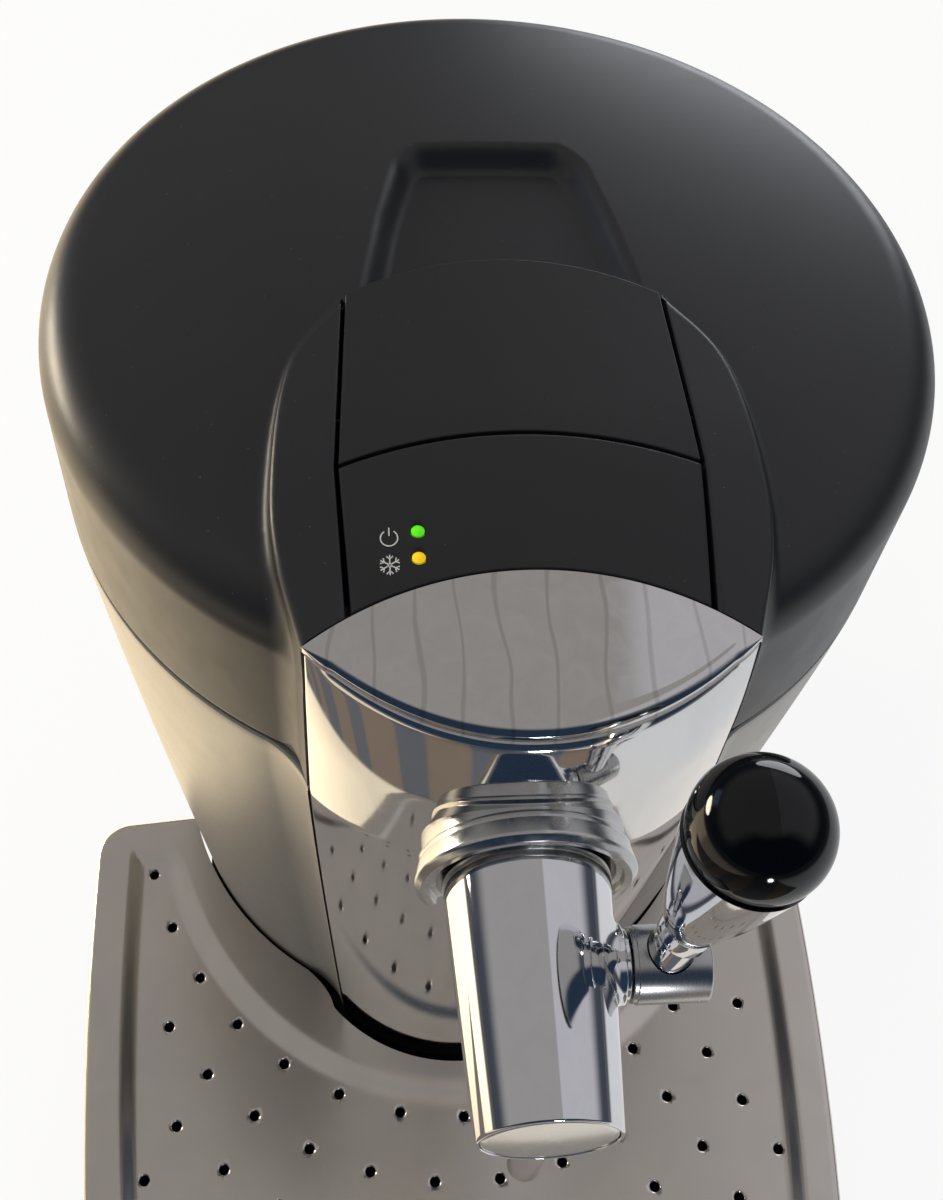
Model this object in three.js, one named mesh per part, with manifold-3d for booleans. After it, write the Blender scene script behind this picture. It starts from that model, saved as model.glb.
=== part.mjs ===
// A countertop draft beer dispenser for five litre kegs: an insulated drum with a thermoelectric
// cooler under its keg well, a domed lid hinged at the back, a chromed tap tower at the front and
// a perforated drip tray that slides out from under the tap.
// Millimetres, +Z up, front towards -Y. Every shape is written from the drum's axis at table height,
// and the last lines move the machine so that its origin is the middle of its box, on the table.

import * as THREE from 'three';
import { mergeVertices } from 'three/addons/utils/BufferGeometryUtils.js';
import Module from 'manifold-3d';

const wasm = await Module();
wasm.setup();

// Driving dimensions

const keg = { radius: 85, height: 250 };
const clearance = { seat: 0.3, run: 0.3, shaft: 0.1, panel: 1.1, seam: 1.2, slide: 0.8, keg: 3 };
const overrun = 6;
const mergeReach = 0.0001;

const facets = {
  drum: 64, well: 40, round: 28, fine: 20, small: 12, hole: 8, arc: 10, corner: 4,
  trayCorner: 6, trayFront: 4,
  slotEnd: 3, drumRungs: 4, rollRungs: 4, headColumns: 8, headRows: 10, edge: 5, dome: 5, rowSteps: 360,
};

const foot = {
  radius: 12, height: 5, chamfer: 1.5, rearSide: 80, rearwards: 58, frontSide: 92, forwards: 268,
};

const drum = {
  topRadius: 140.5, footDraw: 23, wall: 3, footZ: 36, seamZ: 299.5, belly_share: 1.14,
};

const lid = {
  shoulderZ: 370, edgeRadius: 18.6, domeSlope: 11, wall: 3, linerInset: 11.5, linerWall: 1.6, kegHeadroom: 26,
  linerCorner: 14, flangeInset: 3.3, gasketWidth: 4, gasketInset: 6, gasketHeight: 1.8,
};

const recess = {
  cornerX: 21, cornerY: 39.5, cornerRadius: 10.5, middleHalf: 37.5, middleY: 15, frontHalf: 43.5, frontY: -22,
  depth: 7.5, slope: 6, wall: 2.4,
};

// The tap tower's plan, seen from above: chrome arc in front, widest in the middle, round at the back
const tower = {
  cornerHalf: 59.8, cornerY: -137.5, frontY: -165, widestHalf: 68, widestY: -86, rearHalf: 47, rearY: -20,
  rearBow: 13, topZ: 384, nose: 97, noseDrop: 17, noseStartY: -62, crossCrown: 3.2,
  rollStartZ: 332, rollHeight: 36, frontRoll: 6, cornerRoll: 3,
};

const panel = {
  crossHalf: 50, crossY: -83.5, crossBow: 9.5, capHalf: 47.4, capBow: 18, thickness: 2.5,
};

const chrome = { wall: 2.2, capThickness: 2.6 };
const strip = { flange: 2.2, flangeDepth: 24, capRoomZ: 345 };

const core = {
  halfWidth: 44, rearY: -95, wall: 3, frontWall: 4, neckHalf: 34, neckBottomZ: 205, channelRadius: 15,
};

const tap = {
  axisZ: 312, rootRadius: 23.8, endRadius: 18.8, endY: -241.5, boreRadius: 15, spigotRadius: 18,
  spigotLength: 14, endCapRadius: 17.2, endCapThickness: 2.6, edge: 0.8,
};

const collar = {
  rearRadius: 31, frontRadius: 29.6, innerRadius: 24.6, lipRadius: 27, reachY: -174.5, bevel: 1.6, lip: 1.2,
  bandBelow: 6, openBelow: 13,
};

const spout = { y: -232.5, outerRadius: 5, innerRadius: 3.4, bottomZ: 250, lipChamfer: 0.7 };

const lever = {
  y: -198, hubRadius: 10.3, hubStartX: 25, hubEndX: 48.2, hubBevel: 0.6, bushRadius: 11.2, bushStartX: 11.9,
  bushGap: 0.6, shaftRadius: 4, shaftEndX: 40, crankRadius: 9.3,
  crankStartX: 8.8, crankEndX: 11.4, crankArm: 7.4, pinRadius: 1.6, pinStartX: 5.4, pull: 60,
  stemX: 42, stemRadius: 6.1, stemStart: 6, stemEnd: 30, leanOut: 4.6, leanBack: 3,
  neckRadius: 7.2, neckStart: 20, neckEnd: 27, cupRadius: 17, cupTop: 69, flare_share: 0.75,
  knobRadius: 17.5, knobHeight: 76,
};

const spool = {
  nose: 12, waist: 14, guide: 26, waistRadius: 8, bore: 3.6, flatX: 8.4, slotX: 5, slotSlack: 1.3, bevel: 1,
};

const tray = {
  halfWidth: 161.5, widestY: -70, bulge: 2500, frontY: -318, frontBow: 7, frontArcHalf: 80,
  straightFrom: -256, rearY: -27, rearCorner: 16, frontCorner: 46, leastCorner: 4, gridTopZ: 40, gridThickness: 1.5,
  band: 15, bandRise: 2.6, bandSlope: 4, bandHollow: 6, skirt: 9, bodyGap: 1.6, towerGap: 4.2,
  landHalf: 128.5, landReach: 151, landSlope: 7, landRim: 3,
  holeRadius: 2, holeRows: 8, firstRow: 15, rowPitchSide: 20, rowPitchFront: 26, holePitch: 27, holeMargin: 5,
  panInset: 2.4, panWall: 2.2,
};

const base = {
  plate: 5, ringInset: 3.2, ringWall: 3, tongueHalf: 112, tongueFront: 296, tongueCorner: 24,
  ventWidth: 5, ventLength: 56, ventPitch: 11, vents: 6,
};

const well = { floorZ: 92, wall: 1.6, flange: 1.6, cornerRadius: 10 };
const jacket = { gap: 0.6, ductHalf: 54, ductY: 97, ductTopZ: 152 };

const cooler = {
  plateHalf: 32, plateThickness: 11, moduleHalf: 20, moduleThickness: 3.8,
  sinkHalf: 44, sinkBase: 6, finHeight: 15,
  fins: 9, finThickness: 1.8, fanHalf: 40, fanDepth: 20, fanCorner: 5, fanBore: 37, hubRadius: 14, blades: 7,
  bladeTip: 35.6, bladeThickness: 2, bladeTwist: 28, strut: 5, motorRadius: 13, motorDepth: 3, rotorDepth: 13,
};

const board = {
  halfWidth: 37, halfDepth: 17, wallGap: 39.3, thickness: 1.6, postRadius: 3, postHeight: 6, postInset: 5,
  coilRadius: 9, coilHeight: 10, coilX: -18, blockHalf: 8, blockHeight: 12, blockX: 16,
};

const rear = {
  grilleHalf: 52, grilleBottomZ: 62, grilleTopZ: 150, grilleCorner: 8,
  slotHalf: 38, slotPitch: 9.5, slotWidth: 4, slots: 8,
  serviceHalf: 28, serviceHeight: 11, serviceZ: 48, serviceCorner: 3, serviceDepth: 14, serviceReach: 1.6,
  switchX: -13, switchHalf: 5.5, switchHeight: 8.5,
  inletX: 12, inletHalf: 10, inletHeight: 6.5, portCorner: 1.5,
  rockerHalf: 5.2, rockerHeight: 7.6, rockerDepth: 8, rockerDish: 1.2,
  rockerProud: 1.4, rockerPivot: 3, rockerTilt: 6,
  socketWall: 1.8, socketDepth: 11, contactRadius: 1.2, contactPitch: 4.2,
};

const hinge = {
  pinRadius: 3, standOff: 6.5, knuckleRadius: 6, height: 6.5, centreHalf: 9.6, leafStart: 10, leafEnd: 22,
  endStart: 22.4, endReach: 34, plateThickness: 5.6, leafLow: 8, leafHigh: 26,
  bracketDrop: 34, bracketStandOff: 8.5,
};

const flapPin = {
  radius: 0.9, back: 6.4, below: 1.9, boss: 1.9, bossLength: 5, bite: 3, reach: 1.6, gap: 0.15,
};
const leds = { x: -29, powerY: -104, coolingY: -111.6, radius: 1.8 };
const ledBoard = { rearY: -99, frontY: -118, thickness: 1.6, below: 9 };

// Colours and finishes

const finishes = {
  graphite: { color: 0x4a4a48, roughness: 0.38, metalness: 0.45 },
  satinBlack: { color: 0x26272a, roughness: 0.5, metalness: 0.05 },
  glossBlack: { color: 0x050507, roughness: 0.08, metalness: 0 },
  chrome: { color: 0xd6d6d8, roughness: 0.05, metalness: 1 },
  brushed: { color: 0xa8a7a4, roughness: 0.32, metalness: 1 },
  steelPlate: { color: 0x9b948c, roughness: 0.3, metalness: 1 },
  basePlastic: { color: 0x1a1b1d, roughness: 0.6, metalness: 0 },
  rubber: { color: 0x101011, roughness: 0.85, metalness: 0 },
  aluminium: { color: 0xbfc1c4, roughness: 0.4, metalness: 1 },
  foam: { color: 0xe9e4d2, roughness: 0.9, metalness: 0 },
  ceramic: { color: 0xf0efec, roughness: 0.6, metalness: 0 },
  boardGreen: { color: 0x1d5a35, roughness: 0.6, metalness: 0 },
  liner: { color: 0x3a3c3f, roughness: 0.55, metalness: 0 },
  lensGreen: { color: 0x4be01e, roughness: 0.2, metalness: 0 },
  lensYellow: { color: 0xf0d21a, roughness: 0.2, metalness: 0 },
};

const machine = new THREE.Group();

function addPart(name, solid, finish) {
  const mesh = new THREE.Mesh(geometryOf(solid), new THREE.MeshStandardMaterial(finishes[finish]));
  mesh.name = name;
  machine.add(mesh);
  return mesh;
}

// Geometry to solid and back

function solidOf(geometry) {
  const plain = geometry.clone();
  plain.deleteAttribute('normal');
  plain.deleteAttribute('uv');
  const merged = mergeVertices(plain, mergeReach);
  const place = merged.getAttribute('position');
  const index = merged.getIndex().array;
  const kept = [];
  let volume = 0;
  const a = new THREE.Vector3();
  const b = new THREE.Vector3();
  const c = new THREE.Vector3();
  for (let i = 0; i < index.length; i += 3) {
    const [p, q, r] = [index[i], index[i + 1], index[i + 2]];
    if (p === q || q === r || r === p) continue;
    kept.push(p, q, r);
    a.fromBufferAttribute(place, p);
    b.fromBufferAttribute(place, q);
    c.fromBufferAttribute(place, r);
    volume += a.dot(b.cross(c));
  }
  if (volume < 0) kept.reverse();
  return new wasm.Manifold(new wasm.Mesh({
    numProp: 3,
    vertProperties: new Float32Array(place.array),
    triVerts: new Uint32Array(kept),
  }));
}

function geometryOf(solid) {
  const mesh = solid.getMesh();
  const geometry = new THREE.BufferGeometry();
  geometry.setAttribute('position', new THREE.BufferAttribute(new Float32Array(mesh.vertProperties), 3));
  geometry.setIndex(new THREE.BufferAttribute(new Uint32Array(mesh.triVerts), 1));
  geometry.computeVertexNormals();
  return geometry;
}

const joined = (...solids) => solids.reduce((sum, solid) => sum.add(solid));
const cut = (solid, ...tools) => tools.reduce((rest, tool) => rest.subtract(tool), solid);
const radians = THREE.MathUtils.degToRad;

// A profile of [radius, height] points turned about +Z
function turned(profile, segments) {
  const points = profile.map(([r, z]) => new THREE.Vector2(r, z));
  const closesOnAxis = points[0].x === 0 && points[points.length - 1].x === 0;
  if (!closesOnAxis) points.push(points[0].clone());
  const geometry = new THREE.LatheGeometry(points, segments);
  geometry.rotateX(Math.PI / 2);
  return geometry;
}

const turnedSolid = (profile, segments) => solidOf(turned(profile, segments));

// A profile of [radius, distance] points turned about an axis along -Y (forwards) or +X, from a point
function turnedForwards(profile, segments, x, z) {
  const geometry = turned(profile, segments);
  geometry.rotateX(Math.PI / 2);
  geometry.translate(x, 0, z);
  return solidOf(geometry);
}

function turnedSideways(profile, segments, y, z) {
  const geometry = turned(profile, segments);
  geometry.rotateY(Math.PI / 2);
  geometry.translate(0, y, z);
  return solidOf(geometry);
}

const disc = (radius, low, high) => [[0, low], [radius, low], [radius, high], [0, high]];
const ring = (inner, outer, low, high) => [[inner, low], [outer, low], [outer, high], [inner, high]];

// A plan outline raised between two heights
function raised(points, low, high) {
  const shape = new THREE.Shape(points.map(([x, y]) => new THREE.Vector2(x, y)));
  const geometry = new THREE.ExtrudeGeometry(shape, { depth: high - low, bevelEnabled: false });
  geometry.translate(0, 0, low);
  return solidOf(geometry);
}

// An outline in the X and Z of the front view, carried from one depth to another
function carried(points, nearY, farY) {
  const shape = new THREE.Shape(points.map(([x, z]) => new THREE.Vector2(x, z)));
  const geometry = new THREE.ExtrudeGeometry(shape, { depth: farY - nearY, bevelEnabled: false });
  geometry.rotateX(Math.PI / 2);
  geometry.translate(0, farY, 0);
  return solidOf(geometry);
}

function block(lowX, highX, lowY, highY, lowZ, highZ) {
  const geometry = new THREE.BoxGeometry(highX - lowX, highY - lowY, highZ - lowZ);
  geometry.translate((lowX + highX) / 2, (lowY + highY) / 2, (lowZ + highZ) / 2);
  return solidOf(geometry);
}

// Equal outlines stacked at rising heights, skinned into one closed body
function stacked(levels) {
  const count = levels[0].points.length;
  const positions = [];
  for (const level of levels) for (const [x, y] of level.points) positions.push(x, y, level.z);
  const indices = [];
  for (let k = 0; k + 1 < levels.length; k++) {
    for (let i = 0; i < count; i++) {
      const j = (i + 1) % count;
      const low = k * count;
      const high = low + count;
      indices.push(low + i, low + j, high + j, low + i, high + j, high + i);
    }
  }
  const caps = [[levels[0], 0, true], [levels[levels.length - 1], (levels.length - 1) * count, false]];
  for (const [level, start, flipped] of caps) {
    const outline = level.points.map(([x, y]) => new THREE.Vector2(x, y));
    const faces = THREE.ShapeUtils.triangulateShape(outline, []);
    for (const [a, b, c] of faces) {
      if (flipped) indices.push(start + a, start + c, start + b);
      else indices.push(start + a, start + b, start + c);
    }
  }
  const geometry = new THREE.BufferGeometry();
  geometry.setAttribute('position', new THREE.Float32BufferAttribute(positions, 3));
  geometry.setIndex(indices);
  return solidOf(geometry);
}

function roundedRectangle(halfX, halfZ, radius, centreX, centreZ, steps = facets.corner) {
  const points = [];
  const corners = [[1, -1], [1, 1], [-1, 1], [-1, -1]];
  corners.forEach(([sx, sz], k) => {
    for (let i = 0; i <= steps; i++) {
      const angle = (Math.PI / 2) * (k - 1 + i / steps);
      points.push([
        centreX + sx * (halfX - radius) + radius * Math.cos(angle),
        centreZ + sz * (halfZ - radius) + radius * Math.sin(angle),
      ]);
    }
  });
  return points;
}

// Points of the circular arc through [-half, y], [0, y + bow], [half, y], from left to right
function bowed(half, y, bow, steps = facets.arc) {
  const radius = (half * half + bow * bow) / (2 * bow);
  const centreY = y + bow - radius;
  const sweep = Math.asin(half / radius);
  const points = [];
  for (let i = 0; i <= steps; i++) {
    const angle = -sweep + (2 * sweep * i) / steps;
    points.push([radius * Math.sin(angle), centreY + radius * Math.cos(angle)]);
  }
  return points;
}

function levelsBetween(low, high, count) {
  return Array.from({ length: count + 1 }, (_, i) => low + ((high - low) * i) / count);
}

const footRadius = drum.topRadius - drum.footDraw;

// Heights at which every part draws the drum and the tower, straight in between, so that neighbours agree
const topZ = tower.topZ + overrun;
const rungs = [
  ...levelsBetween(drum.footZ, drum.seamZ, facets.drumRungs),
  ...levelsBetween(tower.rollStartZ, topZ, facets.rollRungs),
];
const rungsBetween = (low, high) => [low, ...rungs.filter((z) => z > low && z < high), high];

function straightened(curve) {
  return (z) => {
    const above = rungs.findIndex((rung) => rung >= z);
    if (above < 1) return curve(z);
    const [low, high] = [rungs[above - 1], rungs[above]];
    return THREE.MathUtils.mapLinear(z, low, high, curve(low), curve(high));
  };
}

// The drum's outer radius below the seam: a barrel that draws in towards the foot
const drumRadius = straightened((z) => {
  const fall = THREE.MathUtils.clamp((drum.seamZ - z) / (drum.seamZ - drum.footZ), 0, 1);
  return drum.topRadius - drum.footDraw * fall ** drum.belly_share;
});

const drumProfile = (inset, low, high) => rungsBetween(low, high).map((z) => [drumRadius(z) - inset, z]);

// The tower's plan draws in with the drum, and its front rolls back a little towards the rim
const drawIn = (z) => drumRadius(z) / drum.topRadius;
const roll = straightened((z) => (Math.max(0, z - tower.rollStartZ) / tower.rollHeight) ** 2);
const frontReach = (z) => tower.frontY * drawIn(z) + tower.frontRoll * roll(z);
const cornerPlace = (z) => [
  tower.cornerHalf * drawIn(z),
  tower.cornerY * drawIn(z) + tower.cornerRoll * roll(z),
];

// Front arc of the tower at a height, moved in by an inset, from left corner to right corner
function frontArc(z, inset) {
  const [half, y] = cornerPlace(z);
  const bow = frontReach(z) - y;
  const radius = (half * half + bow * bow) / (2 * Math.abs(bow));
  const centreY = frontReach(z) + radius;
  const sweep = Math.asin(half / radius);
  const points = [];
  for (let i = 0; i <= facets.arc; i++) {
    const angle = -sweep + (2 * sweep * i) / facets.arc;
    points.push([(radius - inset) * Math.sin(angle), centreY - (radius - inset) * Math.cos(angle)]);
  }
  return points;
}

// One side of the tower from its chrome corner round the widest place to the back, as a smooth curve
const sideSwell_share = 0.8;
const rearSwell_share = 0.72;
const rearPlace_share = 0.34;

function sideCurve(z, inset) {
  const scale = drawIn(z);
  const [cornerX, cornerY] = cornerPlace(z);
  const mix = THREE.MathUtils.lerp;
  const spots = [
    [cornerX, cornerY],
    [mix(cornerX, tower.widestHalf * scale, sideSwell_share), (cornerY + tower.widestY * scale) / 2],
    [tower.widestHalf * scale, tower.widestY * scale],
    [mix(tower.rearHalf, tower.widestHalf, rearSwell_share) * scale,
      mix(tower.rearY, tower.widestY, rearPlace_share) * scale],
    [tower.rearHalf * scale, tower.rearY * scale],
  ];
  const knots = spots.map(([x, y]) => new THREE.Vector3(x, y, 0));
  const curve = new THREE.CatmullRomCurve3(knots, false, 'centripetal');
  return curve.getPoints(facets.arc).map((point, i) => [
    point.x - inset, i === facets.arc ? point.y - inset : point.y,
  ]);
}

function towerPlan(z, inset) {
  const scale = drawIn(z);
  const rear = bowed(tower.rearHalf, tower.rearY, tower.rearBow);
  const right = sideCurve(z, inset);
  const left = right.map(([x, y]) => [-x, y]).reverse();
  const back = rear.slice(1, -1).map(([x, y]) => [x * scale, y * scale - inset]).reverse();
  const front = frontArc(z, inset).slice(1, -1);
  return [...front, ...right, ...back, ...left];
}

const towerBlock = (inset, low, high) => stacked(
  rungsBetween(low, high).map((z) => ({ z, points: towerPlan(z, inset) })),
);

// The head's top surface: level at the back, dropping towards the nose, a little crowned across
function headTop(x, y) {
  const forward = Math.max(0, tower.noseStartY - y) / tower.nose;
  const across = x / tower.widestHalf;
  return tower.topZ - tower.noseDrop * forward ** 2 - tower.crossCrown * across ** 2;
}

// A slab that follows the head's top surface between two offsets from it
function headSlab(low, high) {
  const columns = facets.headColumns;
  const rows = facets.headRows;
  const halfX = tower.widestHalf + overrun;
  const frontY = tower.frontY - overrun;
  const rearY = tower.rearY + tower.rearBow + overrun;
  const positions = [];
  const spots = [];
  for (let j = 0; j <= rows; j++) {
    for (let i = 0; i <= columns; i++) {
      spots.push([-halfX + (2 * halfX * i) / columns, frontY + ((rearY - frontY) * j) / rows]);
    }
  }
  for (const lift of [low, high]) for (const [x, y] of spots) positions.push(x, y, headTop(x, y) + lift);
  const layer = spots.length;
  const indices = [];
  const at = (i, j) => j * (columns + 1) + i;
  for (let j = 0; j < rows; j++) {
    for (let i = 0; i < columns; i++) {
      const [a, b, c, d] = [at(i, j), at(i + 1, j), at(i + 1, j + 1), at(i, j + 1)];
      indices.push(layer + a, layer + b, layer + c, layer + a, layer + c, layer + d, a, c, b, a, d, c);
    }
  }
  const border = [];
  for (let i = 0; i < columns; i++) border.push(at(i, 0));
  for (let j = 0; j < rows; j++) border.push(at(columns, j));
  for (let i = columns; i > 0; i--) border.push(at(i, rows));
  for (let j = rows; j > 0; j--) border.push(at(0, j));
  for (let k = 0; k < border.length; k++) {
    const [p, q] = [border[k], border[(k + 1) % border.length]];
    indices.push(p, q, layer + q, p, layer + q, layer + p);
  }
  const geometry = new THREE.BufferGeometry();
  geometry.setAttribute('position', new THREE.Float32BufferAttribute(positions, 3));
  geometry.setIndex(indices);
  return solidOf(geometry);
}

const headDepth = tower.topZ - drum.seamZ;
const underHead = (offset) => headSlab(-headDepth - overrun - drum.seamZ, offset);

// Plan of the middle strip of the head, between the two dividing gaps
const rimZ = headTop(tower.cornerHalf, tower.cornerY);
const rimCornerY = cornerPlace(rimZ)[1];
const stripHalf = (y) => THREE.MathUtils.mapLinear(
  y, panel.crossY, rimCornerY, panel.crossHalf, panel.capHalf,
);
const halfGap = clearance.panel / 2;

// Depth of a bowed line at a place across
function bowAt(x, half, y, bow) {
  const radius = (half * half + bow * bow) / (2 * bow);
  return y + bow - radius + Math.sqrt(radius * radius - x * x);
}

const crossArc = (halfWidth, shift) => bowed(panel.crossHalf, panel.crossY + shift, panel.crossBow)
  .map(([x, y]) => [(x * halfWidth) / panel.crossHalf, y]);
const capDepth = (x, shift) => bowAt(x, tower.cornerHalf, rimCornerY + shift, panel.capBow);
const capLine = (half, shift) => Array.from({ length: facets.arc + 1 }, (_, i) => {
  const x = -half + (2 * half * i) / facets.arc;
  return [x, capDepth(x, shift)];
});

// The area kept free for the lower panel and the cap, open towards the front
function fixedPlan(margin) {
  const reach = tower.frontY - overrun;
  const half = tower.cornerHalf + overrun;
  const shoulderX = panel.capHalf + margin;
  const rightCap = Array.from({ length: facets.corner + 1 }, (_, i) => {
    const x = shoulderX + ((tower.cornerHalf - shoulderX) * i) / facets.corner;
    return [x, capDepth(x, clearance.seat)];
  });
  const leftCap = rightCap.map(([x, y]) => [-x, y]).reverse();
  return [
    ...crossArc(panel.crossHalf + margin, margin), ...rightCap, [half, rimCornerY + clearance.seat],
    [half, reach], [-half, reach], [-half, rimCornerY + clearance.seat], ...leftCap,
  ];
}

// Feet, base plate and the dark seal round the foot of drum and tower

const plateBottom = foot.height + clearance.seat;
const plateTop = plateBottom + base.plate;

function footSolid() {
  const profile = [
    [0, 0], [foot.radius - foot.chamfer, 0], [foot.radius, foot.chamfer],
    [foot.radius, foot.height], [0, foot.height],
  ];
  return turned(profile, facets.fine);
}

const footPlaces = [
  ['foot_rear_left', -foot.rearSide, foot.rearwards],
  ['foot_rear_right', foot.rearSide, foot.rearwards],
  ['foot_front_left', -foot.frontSide, -foot.forwards],
  ['foot_front_right', foot.frontSide, -foot.forwards],
];
for (const [name, x, y] of footPlaces) {
  const mesh = addPart(name, solidOf(footSolid()), 'rubber');
  mesh.position.set(x, y, 0);
}

const ringRadius = footRadius - base.ringInset;
const boardY = ringRadius - base.ringWall - board.wallGap;
const tongueMiddle = -base.tongueFront / 2;

function basePlate() {
  const tongue = roundedRectangle(base.tongueHalf, base.tongueFront / 2, base.tongueCorner, 0, tongueMiddle);
  const plate = joined(
    turnedSolid(disc(ringRadius, plateBottom, plateTop), facets.drum),
    raised(tongue, plateBottom, plateTop),
  );
  const low = plateTop - base.plate / 2;
  const wallTop = drum.footZ - clearance.seat;
  const outer = joined(
    turnedSolid(disc(ringRadius, low, wallTop), facets.drum),
    raised(towerPlan(drum.footZ, base.ringInset), low, wallTop),
  );
  const inner = joined(
    turnedSolid(disc(ringRadius - base.ringWall, plateTop, wallTop + overrun), facets.drum),
    raised(towerPlan(drum.footZ, base.ringInset + base.ringWall), plateTop, wallTop + overrun),
  );
  const vents = [];
  for (let i = 0; i < base.vents; i++) {
    const y = (i - (base.vents - 1) / 2) * base.ventPitch;
    vents.push(block(
      -base.ventLength / 2, base.ventLength / 2, y - base.ventWidth / 2, y + base.ventWidth / 2,
      plateBottom - overrun, plateTop + overrun,
    ));
  }
  return cut(joined(plate, cut(outer, inner)), ...vents);
}
addPart('base_plate', basePlate(), 'basePlastic');

// Drum shell with the tower's flanks moulded on, its windows at the back and its open duct in front

const shellBottom = drum.footZ;
const shellTop = drum.seamZ - clearance.seam / 2;
const behindDrum = [0, drum.topRadius + overrun];

// Everything in front of the tower's front arc moved in by an inset, up to the line of its corners
function frontRegion(inset, low, high) {
  const reach = tower.frontY - overrun;
  const half = tower.cornerHalf + overrun;
  return stacked(rungsBetween(low, high).map((z) => {
    const line = cornerPlace(z)[1];
    const arc = frontArc(z, inset).reverse().map(([x, y]) => [x, Math.min(y, line)]);
    return { z, points: [[-half, reach], [half, reach], [half, line], ...arc, [-half, line]] };
  }));
}

// Everything in front of the line of the tower's corners, moved back by a seat
function cornerRoom(low, high) {
  const reach = tower.frontY - overrun;
  const half = tower.cornerHalf + overrun;
  return stacked(rungsBetween(low, high).map((z) => {
    const line = cornerPlace(z)[1] + clearance.seat;
    return { z, points: [[-half, reach], [half, reach], [half, line], [-half, line]] };
  }));
}

// The drum as a solid; its inner faces are drawn with fewer facets than its outer face
const drumSolid = (inset, low, high) => turnedSolid(
  [[0, low], ...drumProfile(inset, low, high), [0, high]], inset > 0 ? facets.well : facets.drum,
);

const grilleOutline = (grow) => roundedRectangle(
  rear.grilleHalf + grow, (rear.grilleTopZ - rear.grilleBottomZ) / 2 + grow, rear.grilleCorner + grow,
  0, (rear.grilleTopZ + rear.grilleBottomZ) / 2,
);
const serviceOutline = (grow) => roundedRectangle(
  rear.serviceHalf + grow, rear.serviceHeight + grow, rear.serviceCorner + grow, 0, rear.serviceZ,
);

function bodyShell() {
  const outer = joined(
    drumSolid(0, shellBottom, shellTop),
    towerBlock(0, shellBottom, shellTop),
  );
  const duct = cut(
    towerBlock(drum.wall, shellBottom - overrun, shellTop + overrun),
    drumSolid(0, shellBottom - 2 * overrun, shellTop + 2 * overrun),
  );
  return cut(
    outer,
    drumSolid(drum.wall, shellBottom - overrun, shellTop + overrun),
    duct,
    cornerRoom(shellBottom - overrun, shellTop + overrun),
    carried(grilleOutline(clearance.seat), ...behindDrum),
    carried(serviceOutline(clearance.seat), ...behindDrum),
  );
}
addPart('body_shell', bodyShell(), 'graphite');

// Chrome front of the tower and the lens shaped cap on its rim

function tapHole(radius, fromY, toY) {
  return turnedForwards(disc(radius, -toY, -fromY), facets.round, 0, tap.axisZ);
}
const spigotHole = (fromY, toY) => tapHole(tap.spigotRadius + clearance.seat, fromY, toY);
function towerFront() {
  const sheet = towerBlock(0, drum.footZ, topZ)
    .intersect(frontRegion(chrome.wall, drum.footZ - overrun, topZ + overrun))
    .intersect(underHead(-chrome.capThickness - clearance.seat));
  return cut(sheet, spigotHole(tower.frontY - overrun, tower.cornerY));
}
addPart('tower_front', towerFront(), 'chrome');

function towerCap() {
  const reach = tower.frontY - overrun;
  const half = tower.cornerHalf;
  const plan = [...capLine(half, 0), [half, reach], [-half, reach]];
  return towerBlock(0, strip.capRoomZ, topZ)
    .intersect(raised(plan, strip.capRoomZ, topZ))
    .intersect(headSlab(-chrome.capThickness, 0));
}
addPart('tower_cap', towerCap(), 'chrome');

// Lower panel of the head with its two lamp holes, and what stands under it

function lampHole(y, radius) {
  return turnedAt(disc(radius, strip.capRoomZ, topZ), leds.x, y);
}

function turnedAt(profile, x, y) {
  const geometry = turned(profile, facets.small);
  geometry.translate(x, y, 0);
  return solidOf(geometry);
}

function controlPanel() {
  const plan = [
    ...crossArc(panel.crossHalf - halfGap, -halfGap),
    ...capLine(panel.capHalf - halfGap, clearance.seat).reverse(),
  ];
  const plate = raised(plan, strip.capRoomZ, topZ).intersect(headSlab(-panel.thickness, 0));
  const hole = leds.radius + clearance.run;
  return cut(plate, lampHole(leds.powerY, hole), lampHole(leds.coolingY, hole));
}
addPart('control_panel', controlPanel(), 'satinBlack');

const rootY = tower.frontY - clearance.seat;
const coreBottom = shellTop + clearance.seat;
const frontInset = chrome.wall + clearance.seat;

function towerCore() {
  const wide = (half, low, high) => block(-half, half, tower.frontY, core.rearY, low, high);
  const box = towerBlock(frontInset, coreBottom, topZ)
    .intersect(wide(core.halfWidth, coreBottom, topZ))
    .intersect(underHead(-chrome.capThickness - clearance.seat));
  const room = towerBlock(frontInset + core.frontWall, coreBottom + core.wall, topZ + overrun)
    .intersect(block(
      -core.halfWidth + core.wall, core.halfWidth - core.wall, tower.frontY, core.rearY + overrun,
      coreBottom + core.wall, topZ + overrun,
    ));
  const neck = cut(
    towerBlock(frontInset, core.neckBottomZ, coreBottom + core.wall)
      .intersect(block(-core.neckHalf, core.neckHalf, tower.frontY, tower.cornerY + core.frontWall,
        core.neckBottomZ, coreBottom + core.wall)),
    drumSolid(-clearance.seat, shellBottom, coreBottom),
  );
  return cut(
    joined(box, neck), room,
    spigotHole(tower.frontY, rootY + tap.spigotLength + clearance.seat),
    tapHole(core.channelRadius, tower.frontY, core.rearY + overrun),
  );
}
addPart('tower_core', towerCore(), 'basePlastic');

const ledBoardZ = headTop(core.halfWidth, ledBoard.frontY) - ledBoard.below;
const ledBoardHalf = core.halfWidth - core.wall - clearance.seat;
addPart('led_board', block(-ledBoardHalf, ledBoardHalf, ledBoard.frontY, ledBoard.rearY,
  ledBoardZ, ledBoardZ + ledBoard.thickness), 'boardGreen');

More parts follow.
